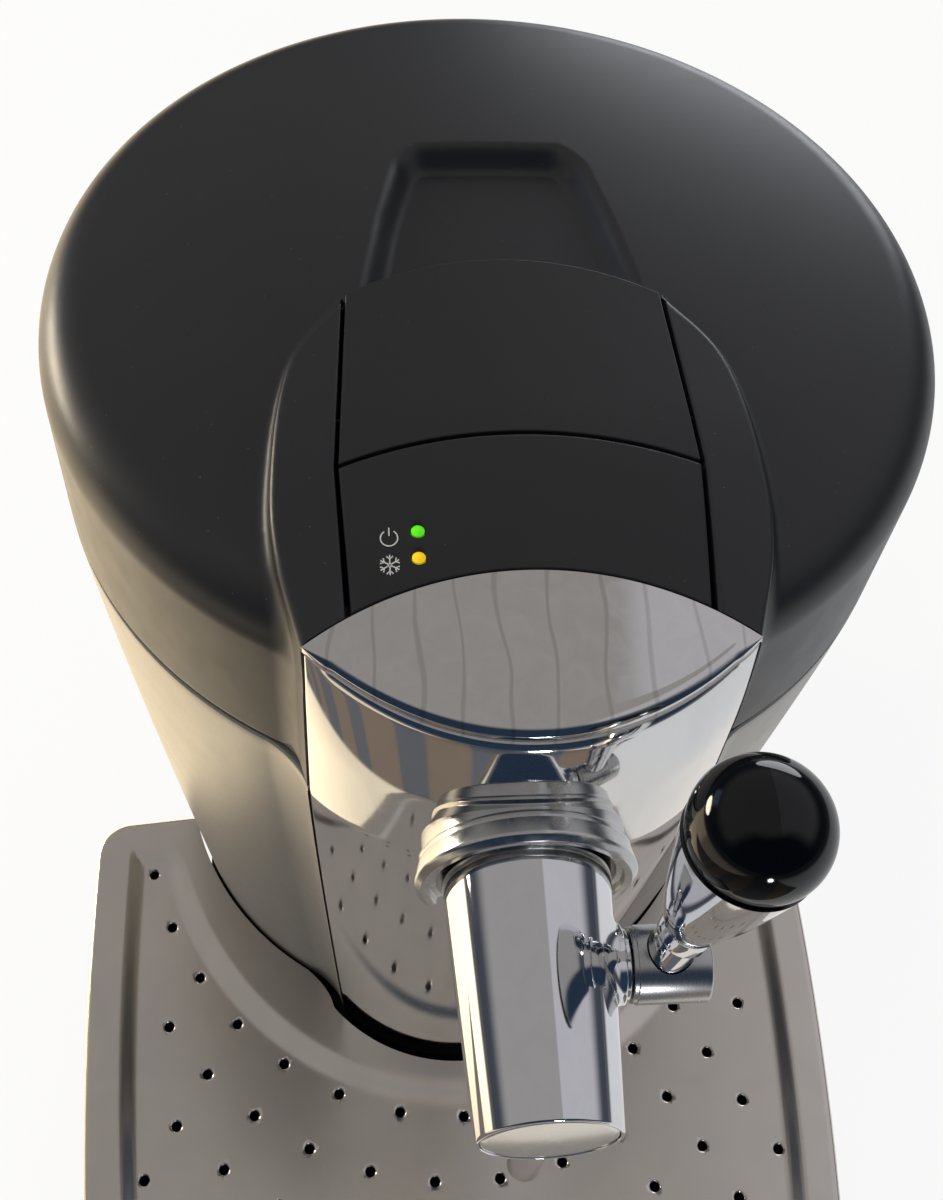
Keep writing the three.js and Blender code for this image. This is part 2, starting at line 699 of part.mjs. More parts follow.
const lampPlaces = [['lamp_power', leds.powerY, 'lensGreen'], ['lamp_cooling', leds.coolingY, 'lensYellow']];
for (const [name, y, finish] of lampPlaces) {
  const low = ledBoardZ + ledBoard.thickness + clearance.seat;
  addPart(name, turnedAt(disc(leds.radius, low, headTop(leds.x, y)), leds.x, y), finish);
}

// Lid: skirt, rounded edge and dome, with the tower's head moulded on its front and a recess behind it

const lidBottom = drum.seamZ + clearance.seam / 2;
const edgeCentreR = drum.topRadius - lid.edgeRadius;
const edgeCentreZ = lid.shoulderZ - lid.edgeRadius;

function lidProfile(inset, low) {
  const radius = lid.edgeRadius - inset;
  const points = [[0, low], [drum.topRadius - inset, low]];
  for (let i = 0; i <= facets.edge; i++) {
    const angle = radians(((90 - lid.domeSlope) * i) / facets.edge);
    points.push([edgeCentreR + radius * Math.cos(angle), edgeCentreZ + radius * Math.sin(angle)]);
  }
  const [startR, startZ] = points[points.length - 1];
  const rise = (startR * Math.tan(radians(lid.domeSlope))) / 2;
  for (let i = 1; i <= facets.dome; i++) {
    const r = startR * (1 - i / facets.dome);
    points.push([r, startZ + rise * (1 - (r / startR) ** 2)]);
  }
  return points;
}

const domeTopZ = lidProfile(0, lidBottom).pop()[1];
const recessFloorZ = domeTopZ - recess.depth;

function recessOutline(inset, frontY) {
  const right = [[recess.frontHalf - inset, frontY], [recess.middleHalf - inset, recess.middleY]];
  for (let i = 0; i <= facets.corner; i++) {
    const angle = radians((90 * i) / facets.corner);
    const radius = recess.cornerRadius - inset;
    right.push([recess.cornerX + radius * Math.cos(angle), recess.cornerY + radius * Math.sin(angle)]);
  }
  const left = right.map(([x, y]) => [-x, y]).reverse();
  return [...right, ...left];
}

// The recess widens upwards by its slope over its depth, and on past the dome
function recessBlock(grow) {
  const above = recess.depth;
  return stacked([
    { z: recessFloorZ - grow, points: recessOutline(recess.slope - grow, recess.frontY - grow) },
    { z: domeTopZ, points: recessOutline(-grow, recess.frontY - grow) },
    { z: domeTopZ + above, points: recessOutline(-grow, recess.frontY - grow) },
  ]);
}

// Plan of the tube flap, grown by a margin
function flapPlan(margin, rearY = tower.rearY + margin) {
  const half = tower.rearHalf + margin;
  const rear = bowed(tower.rearHalf, rearY, tower.rearBow).map(([x, y]) => [(x * half) / tower.rearHalf, y]);
  return [...crossArc(panel.crossHalf + margin, -margin), ...rear.reverse()];
}

function flapRoom() {
  const half = panel.crossHalf + overrun;
  const plan = raised(flapPlan(halfGap, tower.rearY + overrun), strip.capRoomZ, topZ + overrun);
  const bay = block(-half, half, tower.cornerY, recess.frontY - recess.wall, strip.capRoomZ, topZ + overrun);
  const grip = block(-half, half, recess.frontY, tower.rearBow, recessFloorZ, topZ + overrun);
  return joined(
    plan.intersect(headSlab(-panel.thickness - clearance.seat, overrun)),
    plan.intersect(bay),
    plan.intersect(grip),
  );
}

// Upright flange under each dividing gap: it borders the tube bay and stiffens the side strips
function stripFlange(side) {
  const inner = (y) => stripHalf(y) + halfGap;
  const backHalf = tower.rearHalf + halfGap;
  const backY = recess.frontY - recess.wall;
  const frontY = capDepth(panel.capHalf + halfGap, clearance.seat);
  const edge = [[inner(frontY), frontY], [panel.crossHalf + halfGap, panel.crossY], [backHalf, backY]];
  const outer = edge.map(([x, y]) => [x + strip.flange, y]).reverse();
  const plan = [...edge, ...outer].map(([x, y]) => [side * x, y]);
  return raised(plan, strip.capRoomZ, topZ).intersect(headSlab(-strip.flangeDepth, 0));
}

// The pins stand just behind the foremost point of the panel's bowed edge, so the flap swings clear of it
const flapAxisY = panel.crossY + panel.crossBow + halfGap + flapPin.back;
const flapAxisZ = headTop(panel.crossHalf, flapAxisY) - flapPin.below;
const flapSideX = panel.crossHalf - halfGap;

function flapPinSolid(side, grow) {
  const ends = [flapSideX - flapPin.bite - grow, panel.crossHalf + halfGap + flapPin.reach + grow];
  const profile = disc(flapPin.radius + grow, ...(side > 0 ? ends : ends.map((x) => -x).reverse()));
  return turnedSideways(profile, facets.small, flapAxisY, flapAxisZ);
}

function lidShell() {
  const head = (inset, low, top) => towerBlock(inset, low, topZ).intersect(underHead(top));
  const outer = joined(turnedSolid(lidProfile(0, lidBottom), facets.drum), head(0, lidBottom, 0));
  const inner = joined(
    turnedSolid(lidProfile(lid.wall, lidBottom - overrun), facets.drum),
    head(lid.wall, lidBottom - overrun, -panel.thickness),
  );
  const skin = cut(outer, cut(inner, recessBlock(recess.wall)));
  const middle = raised([
    ...crossArc(panel.crossHalf + halfGap, halfGap), [panel.capHalf + halfGap, rimCornerY],
    [panel.capHalf + halfGap, tower.frontY], [-panel.capHalf - halfGap, tower.frontY],
    [-panel.capHalf - halfGap, rimCornerY],
  ], lidBottom - overrun, topZ + overrun);
  return cut(
    joined(cut(skin, flapRoom()), stripFlange(1), stripFlange(-1)),
    recessBlock(0),
    middle,
    cornerRoom(lidBottom - overrun, topZ + overrun),
    raised(fixedPlan(halfGap), strip.capRoomZ, topZ + overrun),
    flapPinSolid(1, flapPin.gap), flapPinSolid(-1, flapPin.gap),
  );
}
addPart('lid_shell', lidShell(), 'satinBlack');

const flangeZ = shellTop + 2 * clearance.seat + lid.gasketHeight;

const linerTopZ = well.floorZ + keg.height + lid.kegHeadroom;

function lidLiner() {
  const outerR = drum.topRadius - lid.linerInset;
  const innerR = outerR - lid.linerWall;
  const flangeR = drum.topRadius - lid.flangeInset;
  const corner = (radius, centreR, centreZ, backwards) => {
    const points = [];
    for (let i = 0; i <= facets.corner; i++) {
      const angle = radians((90 * (backwards ? facets.corner - i : i)) / facets.corner);
      points.push([centreR + radius * Math.cos(angle), centreZ + radius * Math.sin(angle)]);
    }
    return points;
  };
  const centre = [outerR - lid.linerCorner, linerTopZ - lid.linerCorner];
  const profile = [
    [innerR, flangeZ], [flangeR, flangeZ],
    [flangeR, flangeZ + lid.linerWall], [outerR, flangeZ + lid.linerWall],
    ...corner(lid.linerCorner, ...centre, false), [0, linerTopZ], [0, linerTopZ - lid.linerWall],
    ...corner(lid.linerCorner - lid.linerWall, ...centre, true),
  ];
  const bayHalf = panel.crossHalf + halfGap + strip.flange + clearance.seat;
  return cut(
    turnedSolid([...profile.slice(profile.findIndex(([r]) => r === 0) + 1),
      ...profile.slice(0, profile.findIndex(([r]) => r === 0) + 1)], facets.well),
    block(-bayHalf, bayHalf, -drum.topRadius, recess.frontY - recess.wall + clearance.seat,
      lidBottom - overrun, topZ),
  );
}
addPart('lid_liner', lidLiner(), 'liner');

function lidGasket() {
  const outerR = drum.topRadius - lid.gasketInset;
  const low = shellTop + clearance.seat;
  const half = tower.cornerHalf + clearance.slide;
  return cut(
    turnedSolid(ring(outerR - lid.gasketWidth, outerR, low, low + lid.gasketHeight), facets.well),
    block(-half, half, -drum.topRadius, 0, low - overrun, low + lid.gasketHeight + overrun),
  );
}
addPart('lid_gasket', lidGasket(), 'rubber');

// Tube flap: the upper panel of the head, on two short pins in the strips' flanges

function tubeFlap() {
  const plate = raised(flapPlan(-halfGap), strip.capRoomZ, topZ).intersect(headSlab(-panel.thickness, 0));
  const bossOf = (side) => {
    const ends = [flapSideX - flapPin.bossLength, flapSideX - clearance.seat];
    const profile = disc(flapPin.boss, ...(side > 0 ? ends : ends.map((x) => -x).reverse()));
    return turnedSideways(profile, facets.small, flapAxisY, flapAxisZ);
  };
  return cut(
    joined(plate, bossOf(1), bossOf(-1)).intersect(underHead(0)),
    flapPinSolid(1, flapPin.gap), flapPinSolid(-1, flapPin.gap),
  );
}
addPart('tube_flap', tubeFlap(), 'satinBlack');
addPart('flap_pin_right', flapPinSolid(1, 0), 'aluminium');
addPart('flap_pin_left', flapPinSolid(-1, 0), 'aluminium');

// Rear hinge of the lid

const hingeZ = drum.seamZ + hinge.height;
const hingeReach = drum.topRadius + hinge.standOff;
const bracketReach = drum.topRadius + hinge.bracketStandOff;

function knuckle(low, high, radius) {
  return turnedSideways(disc(radius, low, high), facets.round, hingeReach, hingeZ);
}
const hingeBore = () => knuckle(
  -hinge.endReach - overrun, hinge.endReach + overrun, hinge.pinRadius + clearance.shaft,
);

function hingeBracket() {
  const top = shellTop - clearance.seat;
  const spans = [
    [-hinge.endReach, -hinge.endStart], [-hinge.centreHalf, hinge.centreHalf],
    [hinge.endStart, hinge.endReach],
  ];
  const plate = block(-hinge.endReach, hinge.endReach, 0, bracketReach, top - hinge.bracketDrop, top);
  const ears = spans.map(([low, high]) => joined(
    knuckle(low, high, hinge.knuckleRadius),
    block(low, high, hingeReach - hinge.knuckleRadius, hingeReach + hinge.knuckleRadius,
      top - hinge.plateThickness, hingeZ),
  ));
  return cut(joined(plate, ...ears), drumSolid(-clearance.seat, shellBottom, topZ), hingeBore());
}
addPart('hinge_bracket', hingeBracket(), 'basePlastic');

function hingeLeaf() {
  const nearY = drum.topRadius - overrun;
  const farY = hingeReach - hinge.knuckleRadius + hinge.plateThickness;
  const lowZ = hingeZ + hinge.leafLow;
  const plate = block(-hinge.leafEnd, hinge.leafEnd, nearY, farY, lowZ, hingeZ + hinge.leafHigh);
  const armSpans = [[-hinge.leafEnd, -hinge.leafStart], [hinge.leafStart, hinge.leafEnd]];
  const arms = armSpans.map(([low, high]) => joined(
    knuckle(low, high, hinge.knuckleRadius),
    block(low, high, hingeReach - hinge.knuckleRadius, farY, hingeZ, lowZ + hinge.plateThickness),
  ));
  const wall = turnedSolid(disc(drum.topRadius + clearance.seat, lidBottom - overrun, topZ), facets.drum);
  return cut(joined(plate, ...arms), wall, hingeBore());
}
addPart('lid_hinge_leaf', hingeLeaf(), 'satinBlack');
addPart('hinge_pin', knuckle(-hinge.endReach, hinge.endReach, hinge.pinRadius), 'aluminium');

// Tap: barrel, end cap, collar, spout and the forward sealing spool inside

const forwards = (profile, segments = facets.round) => turnedForwards(profile, segments, 0, tap.axisZ);
const rootD = -rootY;
const endD = -tap.endY;
const mouthRadius = tap.endCapRadius + clearance.seat;
const mouthD = endD - tap.endCapThickness - 2 * clearance.seat;
const bushHole = (radius) => turnedSideways(disc(radius, 0, lever.hubEndX), facets.round, lever.y, tap.axisZ);

function spoutTube(radius, low, high) {
  const geometry = turned(disc(radius, low, high), facets.small);
  geometry.translate(0, spout.y, 0);
  return solidOf(geometry);
}

function tapBarrel() {
  const profile = [
    [tap.boreRadius, rootD - tap.spigotLength], [tap.spigotRadius, rootD - tap.spigotLength],
    [tap.spigotRadius, rootD], [tap.rootRadius, rootD], [tap.endRadius, endD - tap.edge],
    [tap.endRadius - tap.edge, endD], [mouthRadius, endD], [mouthRadius, mouthD], [tap.boreRadius, mouthD],
  ];
  return cut(
    forwards(profile),
    bushHole(lever.bushRadius + clearance.seat),
    spoutTube(spout.outerRadius + clearance.seat, spout.bottomZ, tap.axisZ),
  );
}
addPart('tap_barrel', tapBarrel(), 'chrome');

const capBackD = endD - clearance.seat - tap.endCapThickness;
addPart('barrel_end_cap', forwards([
  [0, capBackD], [tap.endCapRadius, capBackD], [tap.endCapRadius, endD - clearance.seat - tap.edge],
  [tap.endCapRadius - tap.edge, endD - clearance.seat], [0, endD - clearance.seat],
]), 'chrome');

function tapCollar() {
  const reach = -collar.reachY;
  const back = -tower.cornerY;
  const low = tap.axisZ - collar.openBelow;
  const bandLow = tap.axisZ - collar.bandBelow;
  const far = collar.rearRadius + overrun;
  const band = forwards([
    [collar.innerRadius, back], [collar.rearRadius, back], [collar.rearRadius, -tower.frontY],
    [collar.frontRadius, reach - collar.bevel], [collar.frontRadius - collar.bevel, reach],
    [collar.lipRadius, reach], [collar.innerRadius, reach - collar.lip],
  ]);
  const under = cut(
    block(-far, far, -reach - overrun, -back, tap.axisZ - far, bandLow),
    forwards(disc(collar.lipRadius, back, reach + overrun)),
  );
  return cut(
    band, under,
    block(-far, far, -reach - overrun, -back + overrun, tap.axisZ - far, low),
    towerBlock(-clearance.seat, drum.footZ, topZ),
  );
}
addPart('tap_collar', tapCollar(), 'brushed');

function spoutSolid() {
  const top = tap.axisZ - tap.boreRadius - clearance.seat;
  const lipZ = spout.bottomZ + spout.lipChamfer;
  const profile = [
    [spout.innerRadius, lipZ], [spout.innerRadius + spout.lipChamfer, spout.bottomZ],
    [spout.outerRadius - spout.lipChamfer, spout.bottomZ], [spout.outerRadius, lipZ],
    [spout.outerRadius, top], [spout.innerRadius, top],
  ];
  const geometry = turned(profile, facets.fine);
  geometry.translate(0, spout.y, 0);
  return solidOf(geometry);
}
addPart('spout', spoutSolid(), 'chrome');

function valveSpool() {
  const radius = tap.boreRadius - clearance.run;
  const front = capBackD - clearance.seat;
  const noseBack = front - spool.nose;
  const waistBack = noseBack - spool.waist;
  const guideBack = waistBack - spool.guide;
  const body = forwards([
    [spool.bore, guideBack], [radius, guideBack], [radius, waistBack], [spool.waistRadius, waistBack],
    [spool.waistRadius, noseBack], [radius, noseBack], [radius, front - spool.bevel],
    [radius - spool.bevel, front], [spool.bore, front],
  ], facets.fine);
  const flat = block(spool.flatX, tap.boreRadius + overrun, -waistBack - overrun / 2, -guideBack + overrun,
    tap.axisZ - tap.boreRadius, tap.axisZ + tap.boreRadius);
  const pinRoom = lever.pinRadius + spool.slotSlack;
  const slot = block(spool.slotX, spool.flatX + overrun, lever.y - pinRoom, lever.y + pinRoom,
    tap.axisZ - lever.crankArm - pinRoom,
    tap.axisZ - lever.crankArm * Math.cos(radians(lever.pull)) + pinRoom);
  return cut(body, flat, slot);
}
addPart('valve_spool', valveSpool(), 'aluminium');

// Tap lever: bush in the barrel, crank shaft, hub, stem, flared ferrule and ball knob

function leverBush() {
  const bore = lever.shaftRadius + clearance.shaft;
  return turnedSideways(ring(bore, lever.bushRadius, lever.bushStartX, lever.hubStartX - lever.bushGap),
    facets.round, lever.y, tap.axisZ);
}
addPart('lever_bush', leverBush(), 'chrome');

function crankShaft() {
  const shaft = turnedSideways([
    [0, lever.crankStartX], [lever.crankRadius, lever.crankStartX], [lever.crankRadius, lever.crankEndX],
    [lever.shaftRadius, lever.crankEndX], [lever.shaftRadius, lever.shaftEndX], [0, lever.shaftEndX],
  ], facets.round, lever.y, tap.axisZ);
  const pin = turnedSideways(disc(lever.pinRadius, lever.pinStartX, lever.crankEndX), facets.small,
    lever.y, tap.axisZ - lever.crankArm);
  return joined(shaft, pin);
}
addPart('crank_shaft', crankShaft(), 'aluminium');

const leverPose = new THREE.Matrix4().makeTranslation(lever.stemX, lever.y, tap.axisZ)
  .multiply(new THREE.Matrix4().makeRotationY(radians(lever.leanOut)))
  .multiply(new THREE.Matrix4().makeRotationX(-radians(lever.leanBack)));

function onLever(geometry) {
  geometry.applyMatrix4(leverPose);
  return solidOf(geometry);
}

function leverHub() {
  const bore = lever.shaftRadius + clearance.seat;
  const body = turnedSideways([
    [0, lever.shaftEndX + clearance.seat], [bore, lever.shaftEndX + clearance.seat], [bore, lever.hubStartX],
    [lever.hubRadius, lever.hubStartX], [lever.hubRadius, lever.hubEndX - lever.hubBevel],
    [lever.hubRadius - lever.hubBevel, lever.hubEndX], [0, lever.hubEndX],
  ], facets.fine, lever.y, tap.axisZ);
  const socketStart = lever.stemStart - clearance.seat;
  const socket = disc(lever.stemRadius + clearance.seat, socketStart, lever.hubRadius + overrun);
  return cut(body, onLever(turned(socket, facets.fine)));
}
addPart('lever_hub', leverHub(), 'brushed');
const stemProfile = disc(lever.stemRadius, lever.stemStart, lever.stemEnd);
addPart('lever_stem', onLever(turned(stemProfile, facets.fine)), 'chrome');

function leverFerrule() {
  const bore = lever.stemRadius + clearance.seat;
  const bottom = lever.stemEnd + clearance.seat;
  const profile = [[0, bottom], [bore, bottom], [bore, lever.neckStart], [lever.neckRadius, lever.neckStart]];
  const steps = facets.corner;
  for (let i = 0; i <= steps; i++) {
    const along = i / steps;
    profile.push([
      THREE.MathUtils.lerp(lever.neckRadius, lever.cupRadius, along ** lever.flare_share),
      THREE.MathUtils.lerp(lever.neckEnd, lever.cupTop, along),
    ]);
  }
  profile.push([0, lever.cupTop]);
  const seat = new THREE.SphereGeometry(lever.knobRadius + clearance.seat, facets.round, facets.small);
  seat.rotateX(Math.PI / 2);
  seat.translate(0, 0, lever.knobHeight);
  return cut(onLever(turned(profile, facets.fine)), onLever(seat));
}
addPart('lever_ferrule', leverFerrule(), 'chrome');

const knob = new THREE.SphereGeometry(lever.knobRadius, facets.round, facets.small);
knob.rotateX(Math.PI / 2);
knob.translate(0, 0, lever.knobHeight);
addPart('lever_knob', onLever(knob), 'glossBlack');

// Drip tray: a pan that slides on the base plate and the pressed perforated plate lying on it

const sideHalf = (y) => tray.halfWidth - Math.max(0, tray.widestY - y) ** 2 / tray.bulge;

// Corners of the plan on the right side from back to front: [x, y, radius]
function trayCorners() {
  const side = levelsBetween(tray.widestY, tray.straightFrom, facets.trayCorner)
    .map((y) => [sideHalf(y), y, 0]);
  const frontY = tray.frontY + tray.frontBow;
  const half = sideHalf(frontY);
  const front = levelsBetween(tray.frontArcHalf, -tray.frontArcHalf, facets.trayFront)
    .map((x) => [x, tray.frontY + tray.frontBow * (x / half) ** 2, 0]);
  const right = [[tray.halfWidth, tray.rearY, tray.rearCorner], ...side, [half, frontY, tray.frontCorner]];
  const left = right.map(([x, y, radius]) => [-x, y, radius]).reverse();
  return [...right, ...front, ...left].reverse();
}

function trayOutline(inset) {
  const corners = trayCorners();
  const count = corners.length;
  const moved = corners.map(([x, y, radius], i) => {
    const before = corners[(i + count - 1) % count];
    const after = corners[(i + 1) % count];
    const a = new THREE.Vector2(x - before[0], y - before[1]).normalize();
    const b = new THREE.Vector2(after[0] - x, after[1] - y).normalize();
    const inward = new THREE.Vector2(-a.y - b.y, a.x + b.x).normalize();
    const reach = inset / (inward.x * -a.y + inward.y * a.x);
    const kept = radius === 0 ? 0 : Math.max(radius - inset, tray.leastCorner);
    return [x + inward.x * reach, y + inward.y * reach, kept];
  });
  const points = [];
  moved.forEach(([x, y, radius], i) => {
    if (radius === 0) {
      points.push([x, y]);
      return;
    }
    const corner = new THREE.Vector2(x, y);
    const a = new THREE.Vector2(...moved[(i + count - 1) % count]).sub(corner).normalize();
    const b = new THREE.Vector2(...moved[(i + 1) % count]).sub(corner).normalize();
    const half = Math.acos(THREE.MathUtils.clamp(a.dot(b), -1, 1)) / 2;
    const middle = a.clone().add(b).normalize();
    const centre = corner.clone().addScaledVector(middle, radius / Math.sin(half));
    const start = corner.clone().addScaledVector(a, radius / Math.tan(half)).sub(centre);
    const turn = Math.PI - 2 * half;
    for (let k = 0; k <= facets.trayCorner; k++) {
      const angle = (turn * k) / facets.trayCorner;
      const spot = start.clone().rotateAround(new THREE.Vector2(), angle).add(centre);
      points.push([spot.x, spot.y]);
    }
  });
  return points;
}

// What the tray goes round: the foot of the drum and of the tower with their gaps, grown by a margin
function bodyRoom(margin, low, high) {
  const radius = drumRadius(tray.gridTopZ) + tray.bodyGap + margin;
  return joined(
    turnedSolid(disc(radius, low, high), facets.drum),
    raised(towerPlan(tray.gridTopZ, -tray.towerGap - margin), low, high),
  );
}

function ellipse(halfX, halfY, segments = facets.drum) {
  return Array.from({ length: segments }, (_, i) => {
    const angle = (2 * Math.PI * i) / segments;
    return [halfX * Math.cos(angle), halfY * Math.sin(angle)];
  });
}

const landEllipse = (grow) => ellipse(tray.landHalf + grow, tray.landReach + grow);

function holePlaces() {
  const places = [];
  const margin = tray.band + tray.bandSlope + tray.holeMargin;
  for (let row = 0; row < tray.holeRows; row++) {
    const halfX = tray.landHalf + tray.firstRow + row * tray.rowPitchSide;
    const halfY = tray.landReach + tray.firstRow + row * tray.rowPitchFront;
    const start = row % 2 === 0 ? 0 : 1 / 2;
    let walked = 0;
    let next = start * tray.holePitch;
    let last = [0, -halfY];
    for (let i = 0; i <= facets.rowSteps; i++) {
      const angle = -Math.PI / 2 + (Math.PI / 2) * (i / facets.rowSteps);
      const spot = [halfX * Math.cos(angle), halfY * Math.sin(angle)];
      walked += Math.hypot(spot[0] - last[0], spot[1] - last[1]);
      last = spot;
      if (walked < next) continue;
      next += tray.holePitch;
      const [x, y] = spot;
      const inFront = y > tray.frontY + tray.frontBow + margin;
      const inside = x < sideHalf(y) - margin && inFront && y < tray.rearY - margin;
      if (!inside) continue;
      places.push([x, y]);
      if (x > tray.holeRadius) places.push([-x, y]);
    }
  }
  return places;
}

const gridUnder = tray.gridTopZ - tray.gridThickness;
const bandTop = tray.gridTopZ + tray.bandRise;

// A pressed plate: a perforated field sunk between the outer band and the land round the machine's foot
function dripGrid() {
  const well = stacked([
    { z: tray.gridTopZ, points: trayOutline(tray.band + tray.bandSlope) },
    { z: bandTop, points: trayOutline(tray.band) },
    { z: bandTop + overrun, points: trayOutline(tray.band) },
  ]);
  const land = stacked([
    { z: tray.gridTopZ - overrun, points: landEllipse(tray.landSlope) },
    { z: tray.gridTopZ, points: landEllipse(tray.landSlope) },
    { z: bandTop, points: landEllipse(0) },
    { z: bandTop + 2 * overrun, points: landEllipse(0) },
  ]);
  const low = tray.gridTopZ - tray.skirt;
  const deep = low - overrun;
  const under = raised(trayOutline(tray.gridThickness), deep, gridUnder);
  const hollowTop = bandTop - tray.gridThickness;
  const rimmed = cut(
    raised(trayOutline(tray.bandHollow), deep, hollowTop),
    bodyRoom(tray.landRim, deep - overrun, bandTop),
  );
  const field = cut(
    raised(trayOutline(tray.band), deep - overrun, bandTop),
    raised(landEllipse(0), deep, bandTop),
  );
  const sheet = cut(raised(trayOutline(0), low, bandTop), cut(well, land), under, cut(rimmed, field));
  const length = tray.gridThickness + overrun;
  const pin = new THREE.CylinderGeometry(tray.holeRadius, tray.holeRadius, length, facets.hole);
  pin.rotateX(Math.PI / 2);
  const pins = holePlaces().map(([x, y]) => pin.clone().translate(x, y, gridUnder));
  return cut(
    sheet,
    bodyRoom(0, deep, topZ),
    ...pins.map((geometry) => solidOf(geometry)),
  );
}
addPart('drip_grid', dripGrid(), 'steelPlate');

const panBottom = plateTop + clearance.slide;
const panTop = gridUnder - clearance.seat;

function dripPan() {
  const gap = clearance.slide;
  const outer = cut(
    raised(trayOutline(tray.panInset), panBottom, panTop),
    bodyRoom(gap, panBottom - overrun, panTop + overrun),
  );
  const room = cut(
    raised(trayOutline(tray.panInset + tray.panWall), panBottom + tray.panWall, panTop + overrun),
    bodyRoom(gap + tray.panWall, panBottom, panTop + 2 * overrun),
  );
  return cut(outer, room);
}
addPart('drip_pan', dripPan(), 'basePlastic');

// Keg well and its insulation

const wellInner = keg.radius + clearance.keg;
const wellOuter = wellInner + well.wall;

function quarter(radius, centreR, centreZ, from, to) {
  return Array.from({ length: facets.corner + 1 }, (_, i) => {
    const angle = radians(from + ((to - from) * i) / facets.corner);
    return [centreR + radius * Math.cos(angle), centreZ + radius * Math.sin(angle)];
  });
}

const wellUnder = well.floorZ - well.wall;
const wellCentre = [wellOuter - well.cornerRadius, wellUnder + well.cornerRadius];

function kegWell() {
  const flangeR = drum.topRadius - drum.wall - clearance.seat;
  const profile = [
    [0, wellUnder], ...quarter(well.cornerRadius, ...wellCentre, -90, 0), [wellOuter, shellTop - well.flange],
    [flangeR, shellTop - well.flange], [flangeR, shellTop], [wellInner, shellTop],
    ...quarter(well.cornerRadius - well.wall, ...wellCentre, 0, -90), [0, well.floorZ],
  ];
  return turnedSolid(profile, facets.well);
}
addPart('keg_well', kegWell(), 'aluminium');

const coldTop = wellUnder - clearance.seat;
const coldBottom = coldTop - cooler.plateThickness;
const moduleTop = coldBottom - clearance.seat;
const moduleBottom = moduleTop - cooler.moduleThickness;
const sinkTop = moduleBottom - clearance.seat;
const finTop = sinkTop - cooler.sinkBase;
const fanTop = finTop - cooler.finHeight - clearance.seat;
const fanBottom = fanTop - cooler.fanDepth;

function insulationJacket() {
  const top = shellTop - well.flange - clearance.seat;
  const innerR = wellOuter + jacket.gap;
  const profile = [
    [0, moduleBottom], ...drumProfile(drum.wall + jacket.gap, moduleBottom, top), [innerR, top],
    ...quarter(well.cornerRadius + jacket.gap, ...wellCentre, 0, -90), [0, wellUnder - jacket.gap],
  ];
  const half = cooler.plateHalf + clearance.seat;
  return cut(
    turnedSolid(profile, facets.well),
    block(-half, half, -half, half, moduleBottom - overrun, well.floorZ),
    block(-jacket.ductHalf, jacket.ductHalf, jacket.ductY, drum.topRadius,
      moduleBottom - overrun, jacket.ductTopZ),
  );
}
addPart('insulation_jacket', insulationJacket(), 'foam');

// Cooler stack under the well: cold plate, thermoelectric module, finned heat sink and fan

const square = (half, low, high) => block(-half, half, -half, half, low, high);
addPart('cold_plate', square(cooler.plateHalf, coldBottom, coldTop), 'aluminium');
addPart('thermoelectric_module', square(cooler.moduleHalf, moduleBottom, moduleTop), 'ceramic');

function heatSink() {
  const pitch = (2 * cooler.sinkHalf - cooler.finThickness) / (cooler.fins - 1);
  const fins = Array.from({ length: cooler.fins }, (_, i) => {
    const x = -cooler.sinkHalf + i * pitch;
    const finEnd = x + cooler.finThickness;
    return block(x, finEnd, -cooler.sinkHalf, cooler.sinkHalf, finTop - cooler.finHeight, finTop);
  });
  return joined(square(cooler.sinkHalf, finTop, sinkTop), ...fins);
}
addPart('heat_sink', heatSink(), 'aluminium');

const motorTop = fanBottom + cooler.motorDepth;
const rotorBottom = motorTop + clearance.run;

function fanFrame() {
  const outline = roundedRectangle(cooler.fanHalf, cooler.fanHalf, cooler.fanCorner, 0, 0);
  const frame = cut(
    raised(outline, fanBottom, fanTop),
    turnedSolid(disc(cooler.fanBore, fanBottom - overrun, fanTop + overrun), facets.well),
  );
  const half = cooler.strut / 2;
  const struts = joined(
    block(-cooler.fanBore - half, cooler.fanBore + half, -half, half, fanBottom, motorTop),
    block(-half, half, -cooler.fanBore - half, cooler.fanBore + half, fanBottom, motorTop),
    turnedSolid(disc(cooler.motorRadius, fanBottom, motorTop), facets.fine),
  );
  return joined(frame, struts);
}
addPart('fan_frame', fanFrame(), 'basePlastic');

function fanRotor() {
  const top = rotorBottom + cooler.rotorDepth;
  const root = cooler.hubRadius / 2;
  const blades = Array.from({ length: cooler.blades }, (_, i) => {
    const blade = new THREE.BoxGeometry(cooler.bladeTip - root, cooler.bladeThickness, cooler.rotorDepth);
    blade.rotateX(radians(cooler.bladeTwist));
    blade.translate((cooler.bladeTip + root) / 2, 0, (rotorBottom + top) / 2);
    blade.rotateZ((2 * Math.PI * i) / cooler.blades);
    return solidOf(blade);
  });
  return joined(turnedSolid(disc(cooler.hubRadius, rotorBottom, top), facets.fine), ...blades)
    .intersect(turnedSolid(disc(cooler.bladeTip, rotorBottom, top), facets.well));
}
addPart('fan_rotor', fanRotor(), 'basePlastic');

// Power board on its posts

